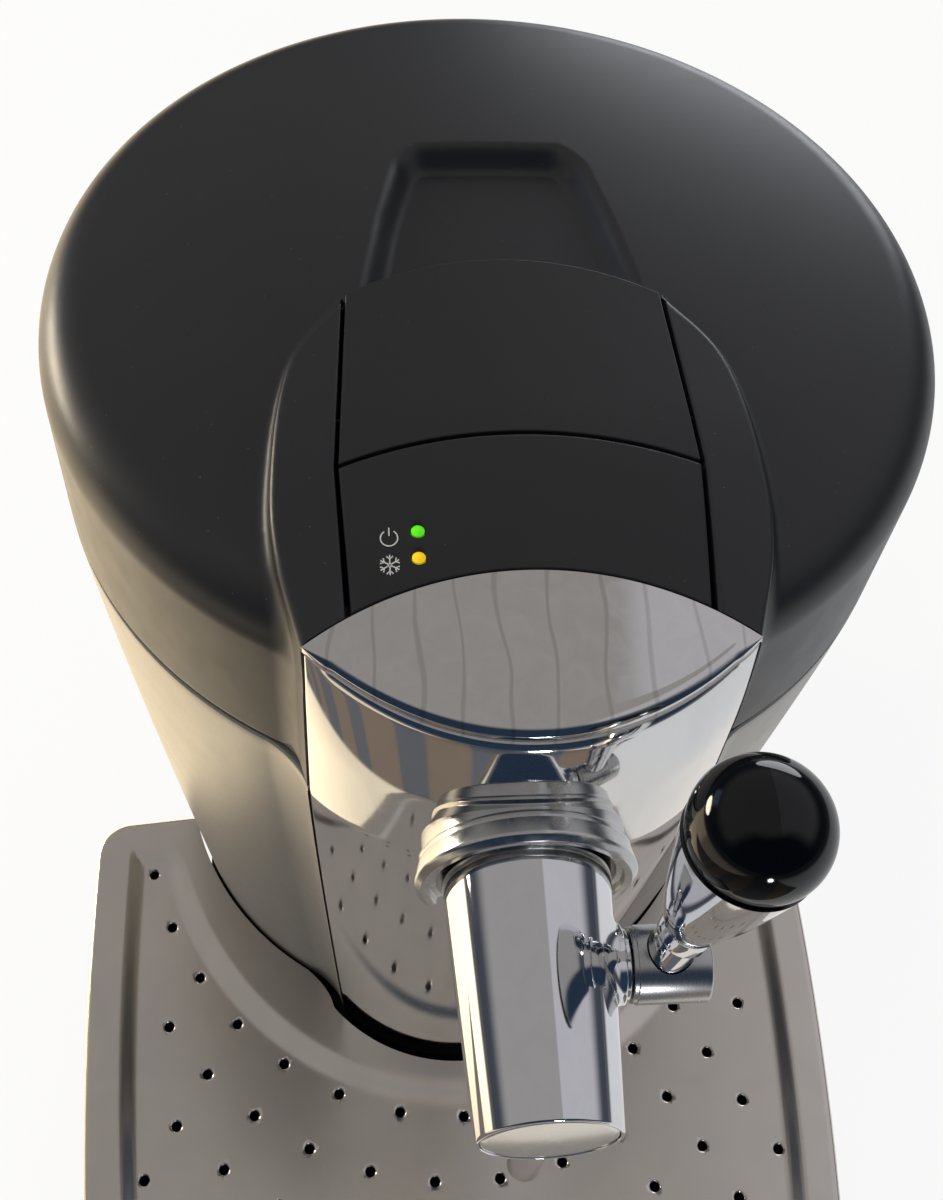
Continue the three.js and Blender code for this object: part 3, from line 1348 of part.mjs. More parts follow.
function powerBoard() {
  const low = plateTop + clearance.seat;
  const under = low + board.postHeight;
  const top = under + board.thickness;
  const plate = block(-board.halfWidth, board.halfWidth, boardY - board.halfDepth, boardY + board.halfDepth,
    under, top);
  const postX = board.halfWidth - board.postInset;
  const postY = board.halfDepth - board.postInset;
  const posts = [[1, 1], [1, -1], [-1, 1], [-1, -1]].map(([sx, sy]) => turnedAt(
    disc(board.postRadius, low, top), sx * postX, boardY + sy * postY,
  ));
  const coil = turnedAt(disc(board.coilRadius, under, top + board.coilHeight), board.coilX, boardY);
  const brick = block(board.blockX - board.blockHalf, board.blockX + board.blockHalf,
    boardY - board.blockHalf, boardY + board.blockHalf, under, top + board.blockHeight);
  return joined(plate, ...posts, coil, brick);
}
addPart('power_board', powerBoard(), 'boardGreen');

// Back of the drum: exhaust grille, and the service panel with its rocker switch and power inlet

function rearGrille() {
  const low = rear.grilleBottomZ - overrun;
  const high = rear.grilleTopZ + overrun;
  const wall = cut(drumSolid(0, low, high), drumSolid(drum.wall, low - overrun, high + overrun));
  const middleZ = (rear.grilleTopZ + rear.grilleBottomZ) / 2;
  const slots = Array.from({ length: rear.slots }, (_, i) => {
    const z = middleZ + (i - (rear.slots - 1) / 2) * rear.slotPitch;
    const halfSlot = rear.slotWidth / 2;
    return carried(roundedRectangle(rear.slotHalf, halfSlot, halfSlot, 0, z, facets.slotEnd), ...behindDrum);
  });
  return cut(wall.intersect(carried(grilleOutline(0), ...behindDrum)), ...slots);
}
addPart('rear_grille', rearGrille(), 'basePlastic');

const serviceFaceY = drumRadius(rear.serviceZ) + rear.serviceReach;
const serviceBackY = serviceFaceY - rear.serviceDepth;

function servicePanel() {
  const switchHole = roundedRectangle(
    rear.switchHalf, rear.switchHeight, rear.portCorner, rear.switchX, rear.serviceZ,
  );
  const inletHole = roundedRectangle(rear.inletHalf + clearance.seat, rear.inletHeight + clearance.seat,
    rear.portCorner + clearance.seat, rear.inletX, rear.serviceZ);
  const through = [serviceBackY - overrun, serviceFaceY + overrun];
  return cut(
    carried(serviceOutline(0), serviceBackY, serviceFaceY),
    carried(switchHole, ...through),
    carried(inletHole, ...through),
  );
}
addPart('service_panel', servicePanel(), 'basePlastic');

const rockerPivotY = serviceFaceY - rear.rockerPivot;

function rockerSwitch() {
  const top = rear.rockerHeight;
  const face = rear.rockerPivot + rear.rockerProud;
  const shape = new THREE.Shape([
    new THREE.Vector2(face, -top), new THREE.Vector2(face - rear.rockerDish, 0), new THREE.Vector2(face, top),
    new THREE.Vector2(-rear.rockerDepth / 2, top / 2), new THREE.Vector2(-rear.rockerDepth / 2, -top / 2),
  ]);
  const geometry = new THREE.ExtrudeGeometry(shape, { depth: 2 * rear.rockerHalf, bevelEnabled: false });
  geometry.translate(0, 0, -rear.rockerHalf);
  geometry.rotateY(Math.PI / 2);
  geometry.rotateX(Math.PI / 2);
  geometry.rotateX(-radians(rear.rockerTilt));
  geometry.translate(rear.switchX, rockerPivotY, rear.serviceZ);
  return solidOf(geometry);
}
addPart('power_switch', rockerSwitch(), 'glossBlack');

function powerInlet() {
  const outline = (inset) => roundedRectangle(
    rear.inletHalf - inset, rear.inletHeight - inset, rear.portCorner, rear.inletX, rear.serviceZ,
  );
  const body = cut(
    carried(outline(0), serviceBackY, serviceFaceY),
    carried(outline(rear.socketWall), serviceFaceY - rear.socketDepth, serviceFaceY + overrun),
  );
  const contacts = [-1, 1].map((side) => {
    const geometry = turned(disc(rear.contactRadius, 0, rear.socketDepth), facets.hole);
    geometry.rotateX(-Math.PI / 2);
    const rootOfContact = serviceFaceY - rear.socketDepth - rear.socketWall;
    geometry.translate(rear.inletX + side * rear.contactPitch, rootOfContact, rear.serviceZ);
    return solidOf(geometry);
  });
  return joined(body, ...contacts);
}
addPart('power_inlet', powerInlet(), 'basePlastic');

// The origin is the middle of the machine's box, on the table

const rearmost = hingeReach + hinge.knuckleRadius;
machine.position.set(0, -(rearmost + tray.frontY) / 2, 0);

export default machine;
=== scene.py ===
"""Looks of a countertop draft beer dispenser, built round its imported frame.

Shapes are written in millimetres from the drum's upright axis at table height, front towards -Y.
`to_metres` turns them into the frame's own axes, whose origin is the middle of the machine's box.
"""

import logging
import math
from dataclasses import dataclass, field
from enum import Enum
from typing import Callable, Iterable, Sequence

import bmesh
import bpy
import numpy as np
from mathutils import Matrix, Vector


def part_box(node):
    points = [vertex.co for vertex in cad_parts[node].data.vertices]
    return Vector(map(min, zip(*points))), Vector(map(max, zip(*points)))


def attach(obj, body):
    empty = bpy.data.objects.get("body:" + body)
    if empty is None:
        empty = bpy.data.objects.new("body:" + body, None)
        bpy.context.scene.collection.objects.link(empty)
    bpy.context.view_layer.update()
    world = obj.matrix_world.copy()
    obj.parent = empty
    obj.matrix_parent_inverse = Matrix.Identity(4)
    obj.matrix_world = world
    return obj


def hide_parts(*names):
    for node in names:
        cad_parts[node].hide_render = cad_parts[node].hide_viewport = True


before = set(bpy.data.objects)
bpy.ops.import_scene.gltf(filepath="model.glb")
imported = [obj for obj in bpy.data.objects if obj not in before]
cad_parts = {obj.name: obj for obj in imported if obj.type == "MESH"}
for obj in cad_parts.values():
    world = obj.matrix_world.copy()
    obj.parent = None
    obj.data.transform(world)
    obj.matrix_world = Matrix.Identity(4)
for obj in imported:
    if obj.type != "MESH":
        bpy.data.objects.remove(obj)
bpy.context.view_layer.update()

Array = np.ndarray
Colour = tuple[float, float, float]
Span = tuple[float, float]
Ranges = tuple[tuple[str, Span], ...]
Line = Callable[[Array], Array]
Socket = bpy.types.NodeSocket

MM = 0.001
MERGE_REACH = 0.002 * MM
log = logging.getLogger("dispenser")


# Finishes


class Grain(Enum):
    """What the fine surface of a finish is like."""

    MOULDED = "moulded"
    FLAKE = "flake"
    POLISHED = "polished"
    TURNED = "turned"
    ROLLED = "rolled"
    STREAKED = "streaked"
    FOAMED = "foamed"
    PLAIN = "plain"


@dataclass(frozen=True)
class Finish:
    """One finish of the machine, with the sizes of its grain in millimetres."""

    name: str
    slot: str
    colour: Colour
    roughness: float
    metallic: float = 0.0
    specular: float = 0.5
    grain: Grain = Grain.PLAIN
    grain_size: float = 0.6
    grain_depth: float = 0.01
    shade_share: float = 0.1
    rough_share: float = 0.15
    glow: float = 0.0
    dust: float = 0.0


LID_BLACK = Finish("lid_black_satin", "lid_black", (0.0130, 0.0137, 0.0162), 0.37, specular=0.5,
                   grain=Grain.MOULDED, grain_size=0.42, grain_depth=0.010, dust=0.35)
PANEL_BLACK = Finish("panel_black_satin", "lid_black", (0.0130, 0.0134, 0.0150), 0.45, specular=0.45,
                     grain=Grain.MOULDED, grain_size=0.36, grain_depth=0.009, dust=0.2)
GRAPHITE = Finish("graphite_lacquer", "body_lacquer", (0.30, 0.295, 0.28), 0.33, metallic=0.8,
                  grain=Grain.FLAKE, grain_size=0.3, grain_depth=0.003, shade_share=0.10)
CHROME = Finish("chrome_plate", "chromed_metal", (0.84, 0.84, 0.85), 0.05, metallic=1.0,
                grain=Grain.POLISHED, grain_size=9.0, grain_depth=0.0, shade_share=0.05, rough_share=0.8)
TOWER_CHROME = Finish("tower_chrome", "chromed_plastic", (0.80, 0.79, 0.78), 0.06, metallic=1.0,
                      grain=Grain.POLISHED, grain_size=14.0, grain_depth=0.0, shade_share=0.07,
                      rough_share=0.8)
CAP_CHROME = Finish("cap_chrome", "chromed_plastic", (0.70, 0.68, 0.665), 0.08, metallic=1.0,
                    grain=Grain.STREAKED, grain_size=12.0, grain_depth=0.0, shade_share=0.14, rough_share=1.2)
BRUSHED = Finish("brushed_cast", "brushed_metal", (0.55, 0.55, 0.55), 0.27, metallic=1.0,
                 grain=Grain.TURNED, grain_size=0.5, grain_depth=0.002, shade_share=0.08)
COLLAR_CAST = Finish("dull_collar", "brushed_metal", (0.60, 0.60, 0.59), 0.22, metallic=1.0,
                     grain=Grain.POLISHED, grain_size=6.0, grain_depth=0.0, shade_share=0.10, rough_share=0.6)
CAST = Finish("cast_disc", "chromed_metal", (0.80, 0.80, 0.79), 0.16, metallic=1.0,
              grain=Grain.TURNED, grain_size=0.6, grain_depth=0.003, shade_share=0.06)
SHEET_STEEL = Finish("pressed_sheet", "pressed_steel", (0.76, 0.705, 0.645), 0.22, metallic=1.0,
                     grain=Grain.ROLLED, grain_size=0.5, grain_depth=0.002, shade_share=0.08)
KNOB_BLACK = Finish("knob_gloss", "knob_black", (0.0008, 0.0009, 0.0014), 0.06, specular=0.42,
                    grain=Grain.POLISHED, grain_size=7.0, grain_depth=0.0)
DARK_PLASTIC = Finish("dark_plastic", "base_plastic", (0.012, 0.0125, 0.014), 0.5,
                      grain=Grain.MOULDED, grain_size=0.5, grain_depth=0.012)
RUBBER = Finish("black_rubber", "rubber", (0.010, 0.010, 0.011), 0.75,
                grain=Grain.MOULDED, grain_size=0.5, grain_depth=0.015)
ALUMINIUM = Finish("turned_aluminium", "aluminium", (0.66, 0.67, 0.68), 0.34, metallic=1.0,
                   grain=Grain.TURNED, grain_size=0.4, grain_depth=0.006)
FOAM = Finish("cell_foam", "foam", (0.80, 0.77, 0.66), 0.9, grain=Grain.FOAMED, grain_size=1.4,
              grain_depth=0.12)
CERAMIC = Finish("white_ceramic", "ceramic", (0.84, 0.83, 0.80), 0.45, grain=Grain.MOULDED)
BOARD = Finish("solder_mask", "board_green", (0.012, 0.10, 0.035), 0.4, grain=Grain.MOULDED)
LINER = Finish("liner_grey", "liner", (0.045, 0.047, 0.053), 0.48, grain=Grain.MOULDED)
LENS_GREEN = Finish("lens_green", "lens_green", (0.10, 0.72, 0.01), 0.14, glow=0.42)
LENS_YELLOW = Finish("lens_yellow", "lens_yellow", (0.80, 0.52, 0.01), 0.14, glow=0.45)
# Painted shade: the flap pins are aluminium, given a near-black colour so that their ends read as the shade
# inside the gaps.
PIN_PAINTED_GAP_SHADE = Finish("pin_painted_gap_shade", "aluminium", (0.02, 0.02, 0.022), 0.5, metallic=1.0)
SWITCH_BLACK = Finish("switch_gloss", "knob_black", (0.004, 0.004, 0.005), 0.22, grain=Grain.POLISHED,
                      grain_size=4.0, grain_depth=0.0)
PRINT = Finish("panel_print", "lid_black", (0.60, 0.60, 0.59), 0.55, grain=Grain.MOULDED, grain_size=0.3,
               grain_depth=0.002, shade_share=0.03)


class Graph:
    """A node tree, with a short way to each kind of node that is used often."""

    def __init__(self, tree: bpy.types.NodeTree) -> None:
        """Takes the tree that nodes are added to."""
        self.nodes = tree.nodes
        self.links = tree.links

    def feed(self, socket: Socket, value: Socket | Colour | float) -> None:
        """Links an output to an input, or gives the input a constant.

        Args:
            socket: the input to set.
            value: an output, a colour or a number.
        """
        if isinstance(value, Socket):
            self.links.new(value, socket)
        elif isinstance(value, tuple):
            socket.default_value = (*value, 1.0)
        else:
            socket.default_value = value

    def math(self, operation: str, *values: Socket | float) -> Socket:
        """Result of one mathematical operation.

        Args:
            operation: the operation's name in the Math node.
            values: its inputs, each an output or a number.

        Returns:
            The result's output.
        """
        node = self.nodes.new("ShaderNodeMath")
        node.operation = operation
        for socket, value in zip(node.inputs, values):
            self.feed(socket, value)
        return node.outputs[0]

    def product(self, first: Socket, *others: Socket | float) -> Socket:
        """Product of all the values.

        Args:
            first: the first one.
            others: the values to multiply it with.

        Returns:
            The product's output.
        """
        for other in others:
            first = self.math("MULTIPLY", first, other)
        return first

    def split(self, vector: Socket) -> tuple[Socket, ...]:
        """X, Y and Z of a vector.

        Args:
            vector: the vector to take apart.

        Returns:
            The three outputs.
        """
        node = self.nodes.new("ShaderNodeSeparateXYZ")
        self.links.new(vector, node.inputs["Vector"])
        return tuple(node.outputs[name] for name in ("X", "Y", "Z"))

    def ramp(self, value: Socket, low: float, high: float) -> Socket:
        """A smooth rise from 0 to 1 while a value goes from low to high.

        Args:
            value: the value.
            low: where it starts.
            high: where it ends.

        Returns:
            The rise's output.
        """
        node = self.nodes.new("ShaderNodeMapRange")
        node.interpolation_type = "SMOOTHSTEP"
        node.inputs["From Min"].default_value = low
        node.inputs["From Max"].default_value = high
        self.links.new(value, node.inputs["Value"])
        return node.outputs["Result"]

    def blend(self, share: Socket, first: Colour | Socket, second: Colour | Socket) -> Socket:
        """Mixes two colours.

        Args:
            share: how much of the second one is taken.
            first: the colour at share 0.
            second: the colour at share 1.

        Returns:
            The mixed colour's output.
        """
        node = self.nodes.new("ShaderNodeMix")
        node.data_type = "RGBA"
        for name, value in (("Factor", share), ("A", first), ("B", second)):
            self.feed(node.inputs[name], value)
        return node.outputs["Result"]


class Shader(Graph):
    """Builds one procedural material from a finish, in object coordinates."""

    BUMP_STRENGTH = 1.0
    DUST_SIZE = 1.3
    DUST_SHARE = 0.018
    SPECK_RADIUS = 0.13
    SPECK_SHADE: Colour = (0.30, 0.29, 0.27)
    BANDS_A_UNIT = 3.18
    STREAK_BEND = 4.0
    STREAK_WIDTH = 0.035
    STREAK_STRETCH = 3.0
    STREAK_DEPTH = (0.4, 1.1)

    def __init__(self, finish: Finish) -> None:
        """Starts a material with its surface shader and object coordinates.

        Args:
            finish: the finish.
        """
        self.finish = finish
        self.material = bpy.data.materials.new(finish.name)
        self.material.use_nodes = True
        super().__init__(self.material.node_tree)
        self.surface = self.nodes["Principled BSDF"]
        self.place = self.nodes.new("ShaderNodeTexCoord").outputs["Object"]
        self.colour: Colour | Socket = finish.colour

    def scaled(self, size: float, stretch: Sequence[float] = (1.0, 1.0, 1.0)) -> Socket:
        """Object coordinates counted in grains, which are longer along the stretched axes.

        Args:
            size: size of a grain in millimetres.
            stretch: how many times longer a grain is along X, Y and Z.

        Returns:
            The coordinates' output.
        """
        mapping = self.nodes.new("ShaderNodeMapping")
        mapping.inputs["Scale"].default_value = [1 / (size * MM * share) for share in stretch]
        self.links.new(self.place, mapping.inputs["Vector"])
        return mapping.outputs["Vector"]

    def noise(self, size: float, detail: float = 3.0, stretch: Sequence[float] = (1.0, 1.0, 1.0),
              warp: float = 0.0) -> Socket:
        """A noise value between 0 and 1.

        Args:
            size: size of a grain in millimetres.
            detail: how many finer noises are added.
            stretch: how many times longer a grain is along X, Y and Z.
            warp: how much the grains are twisted.

        Returns:
            The noise's output.
        """
        node = self.nodes.new("ShaderNodeTexNoise")
        node.inputs["Scale"].default_value = 1.0
        node.inputs["Detail"].default_value = detail
        node.inputs["Distortion"].default_value = warp
        self.links.new(self.scaled(size, stretch), node.inputs["Vector"])
        return node.outputs["Fac"]

    def cells(self, size: float) -> bpy.types.Node:
        """Cells with a distance and a random colour each.

        Args:
            size: size of a grain in millimetres.

        Returns:
            The node of the cells.
        """
        node = self.nodes.new("ShaderNodeTexVoronoi")
        node.inputs["Scale"].default_value = 1.0
        self.links.new(self.scaled(size), node.inputs["Vector"])
        return node

    def streaks(self, size: float) -> Socket:
        """Wavy dark lines along Y.

        Bands across X are bent by a noise. The value falls to 0 on their crests only, and
        between them it follows a finer noise.

        Args:
            size: about how far apart the lines are, in millimetres.

        Returns:
            The value's output.
        """
        wave = self.nodes.new("ShaderNodeTexWave")
        wave.wave_type = "BANDS"
        wave.bands_direction = "X"
        wave.wave_profile = "SIN"
        wave.inputs["Scale"].default_value = 1.0
        wave.inputs["Distortion"].default_value = self.STREAK_BEND
        wave.inputs["Detail"].default_value = 2.0
        wave.inputs["Detail Scale"].default_value = 1.6
        self.links.new(self.scaled(size * self.BANDS_A_UNIT, (1.0, self.STREAK_STRETCH, 1.0)),
                       wave.inputs["Vector"])
        line = self.ramp(wave.outputs["Fac"], 1.0, 1 - self.STREAK_WIDTH)
        return self.product(line, self.spread(self.noise(size / 2, detail=7.0, warp=1.0), *self.STREAK_DEPTH))

    def spread(self, value: Socket, low: float, high: float) -> Socket:
        """Carries a value between 0 and 1 to one between low and high.

        Args:
            value: the value.
            low: the result at 0.
            high: the result at 1.

        Returns:
            The result's output.
        """
        node = self.nodes.new("ShaderNodeMapRange")
        node.inputs["To Min"].default_value = low
        node.inputs["To Max"].default_value = high
        self.links.new(value, node.inputs["Value"])
        return node.outputs["Result"]

    def shaded(self, value: Socket) -> None:
        """Lets a value darken and lighten the finish's colour by its share.

        Args:
            value: the value that steers it.
        """
        colour, share = self.finish.colour, self.finish.shade_share
        dark, light = (tuple(c * (1 + change) for c in colour) for change in (-share, share))
        self.colour = self.blend(value, dark, light)

    def roughened(self, value: Socket) -> None:
        """Lets a value change the finish's roughness by its share.

        Args:
            value: the value that steers it.
        """
        rough, share = self.finish.roughness, self.finish.rough_share
        self.links.new(self.spread(value, rough * (1 - share), rough * (1 + share)),
                       self.surface.inputs["Roughness"])

    def bumped(self, value: Socket) -> None:
        """Raises the surface by the finish's grain depth.

        Args:
            value: the height, from 0 to 1.
        """
        node = self.nodes.new("ShaderNodeBump")
        node.inputs["Strength"].default_value = self.BUMP_STRENGTH
        node.inputs["Distance"].default_value = self.finish.grain_depth * MM
        self.links.new(value, node.inputs["Height"])
        self.links.new(node.outputs["Normal"], self.surface.inputs["Normal"])

    def dusted(self) -> None:
        """Scatters small pale specks over the colour: the cells of a fine grid whose random value is rare."""
        cell = self.cells(self.DUST_SIZE)
        split = self.nodes.new("ShaderNodeSeparateColor")
        self.links.new(cell.outputs["Color"], split.inputs["Color"])
        rare = self.math("LESS_THAN", split.outputs["Red"], self.DUST_SHARE)
        near = self.math("LESS_THAN", cell.outputs["Distance"], self.SPECK_RADIUS)
        self.colour = self.blend(self.product(rare, near, self.finish.dust), self.colour, self.SPECK_SHADE)

    def grained(self) -> None:
        """Draws the finish's grain: what it does to the colour, the roughness and the surface."""
        size = self.finish.grain_size
        match self.finish.grain:
            case Grain.FLAKE:
                self.shaded(self.cells(size).outputs["Color"])
                self.roughened(self.noise(40 * size))
                self.bumped(self.noise(size))
            case Grain.POLISHED:
                self.shaded(self.noise(size, detail=6.0, stretch=(1.0, 1.0, 2.5), warp=1.2))
                self.roughened(self.noise(size / 2, detail=8.0, warp=0.8))
            case Grain.STREAKED:
                self.shaded(self.streaks(size))
                self.roughened(self.noise(size / 2, detail=8.0, warp=0.8))
            case Grain.TURNED:
                self.shaded(self.noise(12 * size))
                self.roughened(self.noise(size, detail=4.0, stretch=(0.5, 6.0, 6.0)))
                self.bumped(self.noise(size, detail=2.0, stretch=(0.4, 5.0, 5.0)))
            case Grain.ROLLED:
                self.shaded(self.noise(50 * size, detail=5.0, warp=0.6))
                self.roughened(self.noise(size, detail=5.0, stretch=(0.5, 24.0, 1.0)))
                self.bumped(self.noise(size, detail=3.0, stretch=(0.5, 24.0, 1.0)))
            case Grain.FOAMED:
                self.shaded(self.cells(size).outputs["Distance"])
                self.roughened(self.noise(size))
                self.bumped(self.cells(size).outputs["Distance"])
            case Grain.MOULDED:
                self.shaded(self.noise(60 * size + 4))
                self.roughened(self.noise(25 * size, detail=5.0))
                self.bumped(self.noise(size, detail=4.0))
            case Grain.PLAIN:
                self.shaded(self.noise(60 * size + 4))
                self.roughened(self.noise(25 * size, detail=5.0))

    def build(self) -> bpy.types.Material:
        """Sets the constants and the grain of the finish.

        Returns:
            The finished material.
        """
        finish, sockets = self.finish, self.surface.inputs
        sockets["Metallic"].default_value = finish.metallic
        sockets["Specular IOR Level"].default_value = finish.specular
        if finish.glow > 0:
            sockets["Emission Color"].default_value = (*finish.colour, 1.0)
            sockets["Emission Strength"].default_value = finish.glow
        self.grained()
        if finish.dust > 0:
            self.dusted()
        self.feed(sockets["Base Color"], self.colour)
        return self.material


_materials: dict[str, bpy.types.Material] = {}


def material_of(finish: Finish) -> bpy.types.Material:
    """The material of a finish, built at its first use.

    Args:
        finish: the finish.

    Returns:
        The one material of that finish.
    """
    if finish.name not in _materials:
        _materials[finish.name] = Shader(finish).build()
    return _materials[finish.name]


# Placing, meshes and dressing


def drum_shift() -> Array:
    """Millimetres from the frame's origin to the drum's axis, on which the keg's well stands."""
    low, high = (np.array(corner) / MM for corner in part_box("keg_well"))
    return np.array([0.0, (low[1] + high[1]) / 2, 0.0])


SHIFT = drum_shift()


def box_mm(node: str) -> tuple[Array, Array]:
    """Low and high corner of a CAD node in the script's own millimetres."""
    low, high = (np.array(corner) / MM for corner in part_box(node))
    return low - SHIFT, high - SHIFT


def to_metres(points: Array) -> Array:
    """Moves millimetres from the drum's axis to metres in the frame."""
    return (np.asarray(points, dtype=float) + SHIFT) * MM


def grid_faces(rows: int, columns: int, start: int = 0, around: bool = False) -> Array:
    """Corner numbers of the quads of a grid whose points are numbered row by row.

    Args:
        rows: how many rows of points there are.
        columns: how many points a row has.
        start: the number of the first point.
        around: whether the last column joins the first.

    Returns:
        An array with four corner numbers a row.
    """
    row = np.arange(rows - 1)[:, None] * columns + start
    column = np.arange(columns if around else columns - 1)[None, :]
    a = row + column
    b = row + (column + 1) % columns
    return np.stack([a, b, b + columns, a + columns], axis=-1).reshape(-1, 4)


def wall_faces(first: Array, second: Array, around: bool = False) -> Array:
    """Quads between two equally long lines of point numbers.

    Args:
        first: one line's numbers.
        second: the other line's numbers.
        around: whether the ends join.

    Returns:
        An array with four corner numbers a row.
    """
    after_first = np.roll(first, -1) if around else first[1:]
    after_second = np.roll(second, -1) if around else second[1:]
    if not around:
        first, second = first[:-1], second[:-1]
    return np.stack([first, after_first, after_second, second], axis=-1)


def mesh_object(name: str, points: Array, faces: Iterable[Array], sharp: float = 38.0) -> bpy.types.Object:
    """Makes a smooth shaded object, merged along its seams and poles, with its faces outwards.

    Args:
        name: the object's name.
        points: its corners in millimetres.
        faces: arrays of corner numbers.
        sharp: edges that turn more than this, in degrees, stay sharp.

    Returns:
        The object.
    """
    mesh = bpy.data.meshes.new(name)
    mesh.from_pydata(to_metres(points).tolist(), [], [face for group in faces for face in group.tolist()])
    return finished_object(name, mesh, sharp)


def finished_object(name: str, mesh: bpy.types.Mesh, sharp: float) -> bpy.types.Object:
    """Merges a mesh, turns its faces outwards, shades it and links it as an object.

    Args:
        name: the object's name.
        mesh: the mesh, which is changed.
        sharp: edges that turn more than this, in degrees, stay sharp.

    Returns:
        The object.
    """
    work = bmesh.new()
    work.from_mesh(mesh)
    bmesh.ops.remove_doubles(work, verts=work.verts, dist=MERGE_REACH)
    bmesh.ops.recalc_face_normals(work, faces=work.faces)
    work.to_mesh(mesh)
    work.free()
    mesh.shade_smooth()
    mesh.set_sharp_from_angle(angle=math.radians(sharp))
    obj = bpy.data.objects.new(name, mesh)
    bpy.context.scene.collection.objects.link(obj)
    return obj


def closed_between(outer: Array, inner: Array) -> tuple[Array, list[Array]]:
    """Points and faces of the closed body between two equal grids of points.

    Args:
        outer: the outer grid.
        inner: the inner grid.

    Returns:
        Its points, and its faces as arrays of corner numbers.
    """
    rows, columns = outer.shape[:2]
    count = rows * columns
    numbers = np.arange(2 * count).reshape(2, rows, columns)
    faces = [
        grid_faces(rows, columns),
        grid_faces(rows, columns, count)[:, ::-1],
        wall_faces(numbers[0, 0], numbers[1, 0]),
        wall_faces(numbers[1, -1], numbers[0, -1]),
        wall_faces(numbers[1, :, 0], numbers[0, :, 0]),
        wall_faces(numbers[0, :, -1], numbers[1, :, -1]),
    ]
    return np.concatenate([outer.reshape(-1, 3), inner.reshape(-1, 3)]), faces


def normals_of(grid: Array) -> Array:
    """Unit normals of a grid of points, from its differences along rows and columns.

    Args:
        grid: the points in rows and columns.

    Returns:
        A unit vector for each point.
    """
    across = np.gradient(grid, axis=1)
    along = np.gradient(grid, axis=0)
    normal = np.cross(across, along)
    return normal / np.maximum(np.linalg.norm(normal, axis=-1, keepdims=True), 1e-12)


def softened(obj: bpy.types.Object, width: float, segments: int = 3, limit: float = 34.0) -> bpy.types.Object:
    """Rounds every edge that turns more than a limit in degrees, by a width in millimetres.

    Args:
        obj: the object, which is changed.
        width: the rounding's width.
        segments: how many faces it has across.
        limit: edges that turn less than this stay.

    Returns:
        The same object.
    """
    bevel = obj.modifiers.new("edge_round", "BEVEL")
    bevel.width = width * MM
    bevel.segments = segments
    bevel.limit_method = "ANGLE"
    bevel.angle_limit = math.radians(limit)
    bevel.harden_normals = True
    return obj


def applied(obj: bpy.types.Object, sharp: float = 38.0) -> bpy.types.Object:
    """Turns an object's modifiers into its own mesh.

    Args:
        obj: the object, which is changed.
        sharp: edges that turn more than this, in degrees, stay sharp.

    Returns:
        The same object.
    """
    graph = bpy.context.evaluated_depsgraph_get()
    mesh = bpy.data.meshes.new_from_object(obj.evaluated_get(graph))
    old = obj.data
    obj.modifiers.clear()
    obj.data = mesh
    bpy.data.meshes.remove(old)
    mesh.shade_smooth()
    mesh.set_sharp_from_angle(angle=math.radians(sharp))
    return obj


def carved(obj: bpy.types.Object, *cutters: bpy.types.Object, sharp: float = 38.0) -> bpy.types.Object:
    """Cuts closed bodies out of an object and removes them.

    Args:
        obj: the object, which is changed.
        cutters: the closed bodies.
        sharp: edges that turn more than this, in degrees, stay sharp.

    Returns:
        The same object.
    """
    for cutter in cutters:
        cut = obj.modifiers.new("cut", "BOOLEAN")
        cut.operation = "DIFFERENCE"
        cut.solver = "EXACT"
        cut.object = cutter
    bpy.context.view_layer.update()
    applied(obj, sharp)
    for cutter in cutters:
        bpy.data.objects.remove(cutter)
    return obj


def dressed(obj: bpy.types.Object, finish: Finish, body: str, *nodes: str) -> bpy.types.Object:
    """Gives a piece its finish and its body, and hides the CAD nodes that it stands for.

    Args:
        obj: the object, which is changed.
        finish: the finish.
        body: the body that it moves with.
        nodes: the CAD nodes.

    Returns:
        The same object.
    """
    obj.data.materials.clear()
    obj.data.materials.append(material_of(finish))
    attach(obj, body)
    if nodes:
        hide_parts(*nodes)
    log.info("%s: %d faces, body %s", obj.name, len(obj.data.polygons), body)
    return obj


def refined(node: str, name: str, edge: float, sharp: float = 32.0) -> bpy.types.Object:
    """A merged copy of a CAD node with its flat faces whole again and its edges rounded.

    Args:
        node: the CAD node to copy.
        name: the copy's name.
        edge: width of the rounding in millimetres, 0 for none.
        sharp: edges that turn more than this, in degrees, stay sharp.

    Returns:
        The copy.
    """
    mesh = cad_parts[node].data.copy()
    mesh.materials.clear()
    mesh.name = name
    work = bmesh.new()
    work.from_mesh(mesh)
    bmesh.ops.remove_doubles(work, verts=work.verts, dist=MERGE_REACH)
    bmesh.ops.dissolve_limit(work, angle_limit=math.radians(0.4), verts=work.verts, edges=work.edges)
    work.to_mesh(mesh)
    work.free()
    obj = finished_object(name, mesh, sharp)
    return softened(obj, edge, segments=2) if edge > 0 else obj


# Lines and profiles


def spaced(stops: Sequence[float], steps: Sequence[float]) -> Array:
    """Values from the first stop to the last, evenly apart between two stops by at most that step.

    Args:
        stops: values that are surely among them.
        steps: the largest step in each stretch.

    Returns:
        The values in order.
    """
    parts = [
        np.linspace(low, high, max(2, math.ceil(abs(high - low) / step) + 1))[:-1]
        for low, high, step in zip(stops[:-1], stops[1:], steps)
    ]
    return np.concatenate([*parts, [stops[-1]]])


def bell(value: Array, height: float, width: float) -> Array:
    """A bell curve with its top at 0, which falls to a third of its height within its width."""
    return height * np.exp(-(value / width) ** 2)


def smooth_step(value: Array) -> Array:
    """0 below 0, 1 above 1, and a smooth rise in between."""
    share = np.clip(value, 0.0, 1.0)
    return share * share * (3 - 2 * share)


def round_union(a: Array, b: Array, radius: Array | float) -> Array:
    """Distance to two bodies joined with a hollow fillet of a radius."""
    meet = np.hypot(np.maximum(radius - a, 0), np.maximum(radius - b, 0))
    return np.maximum(radius, np.minimum(a, b)) - meet


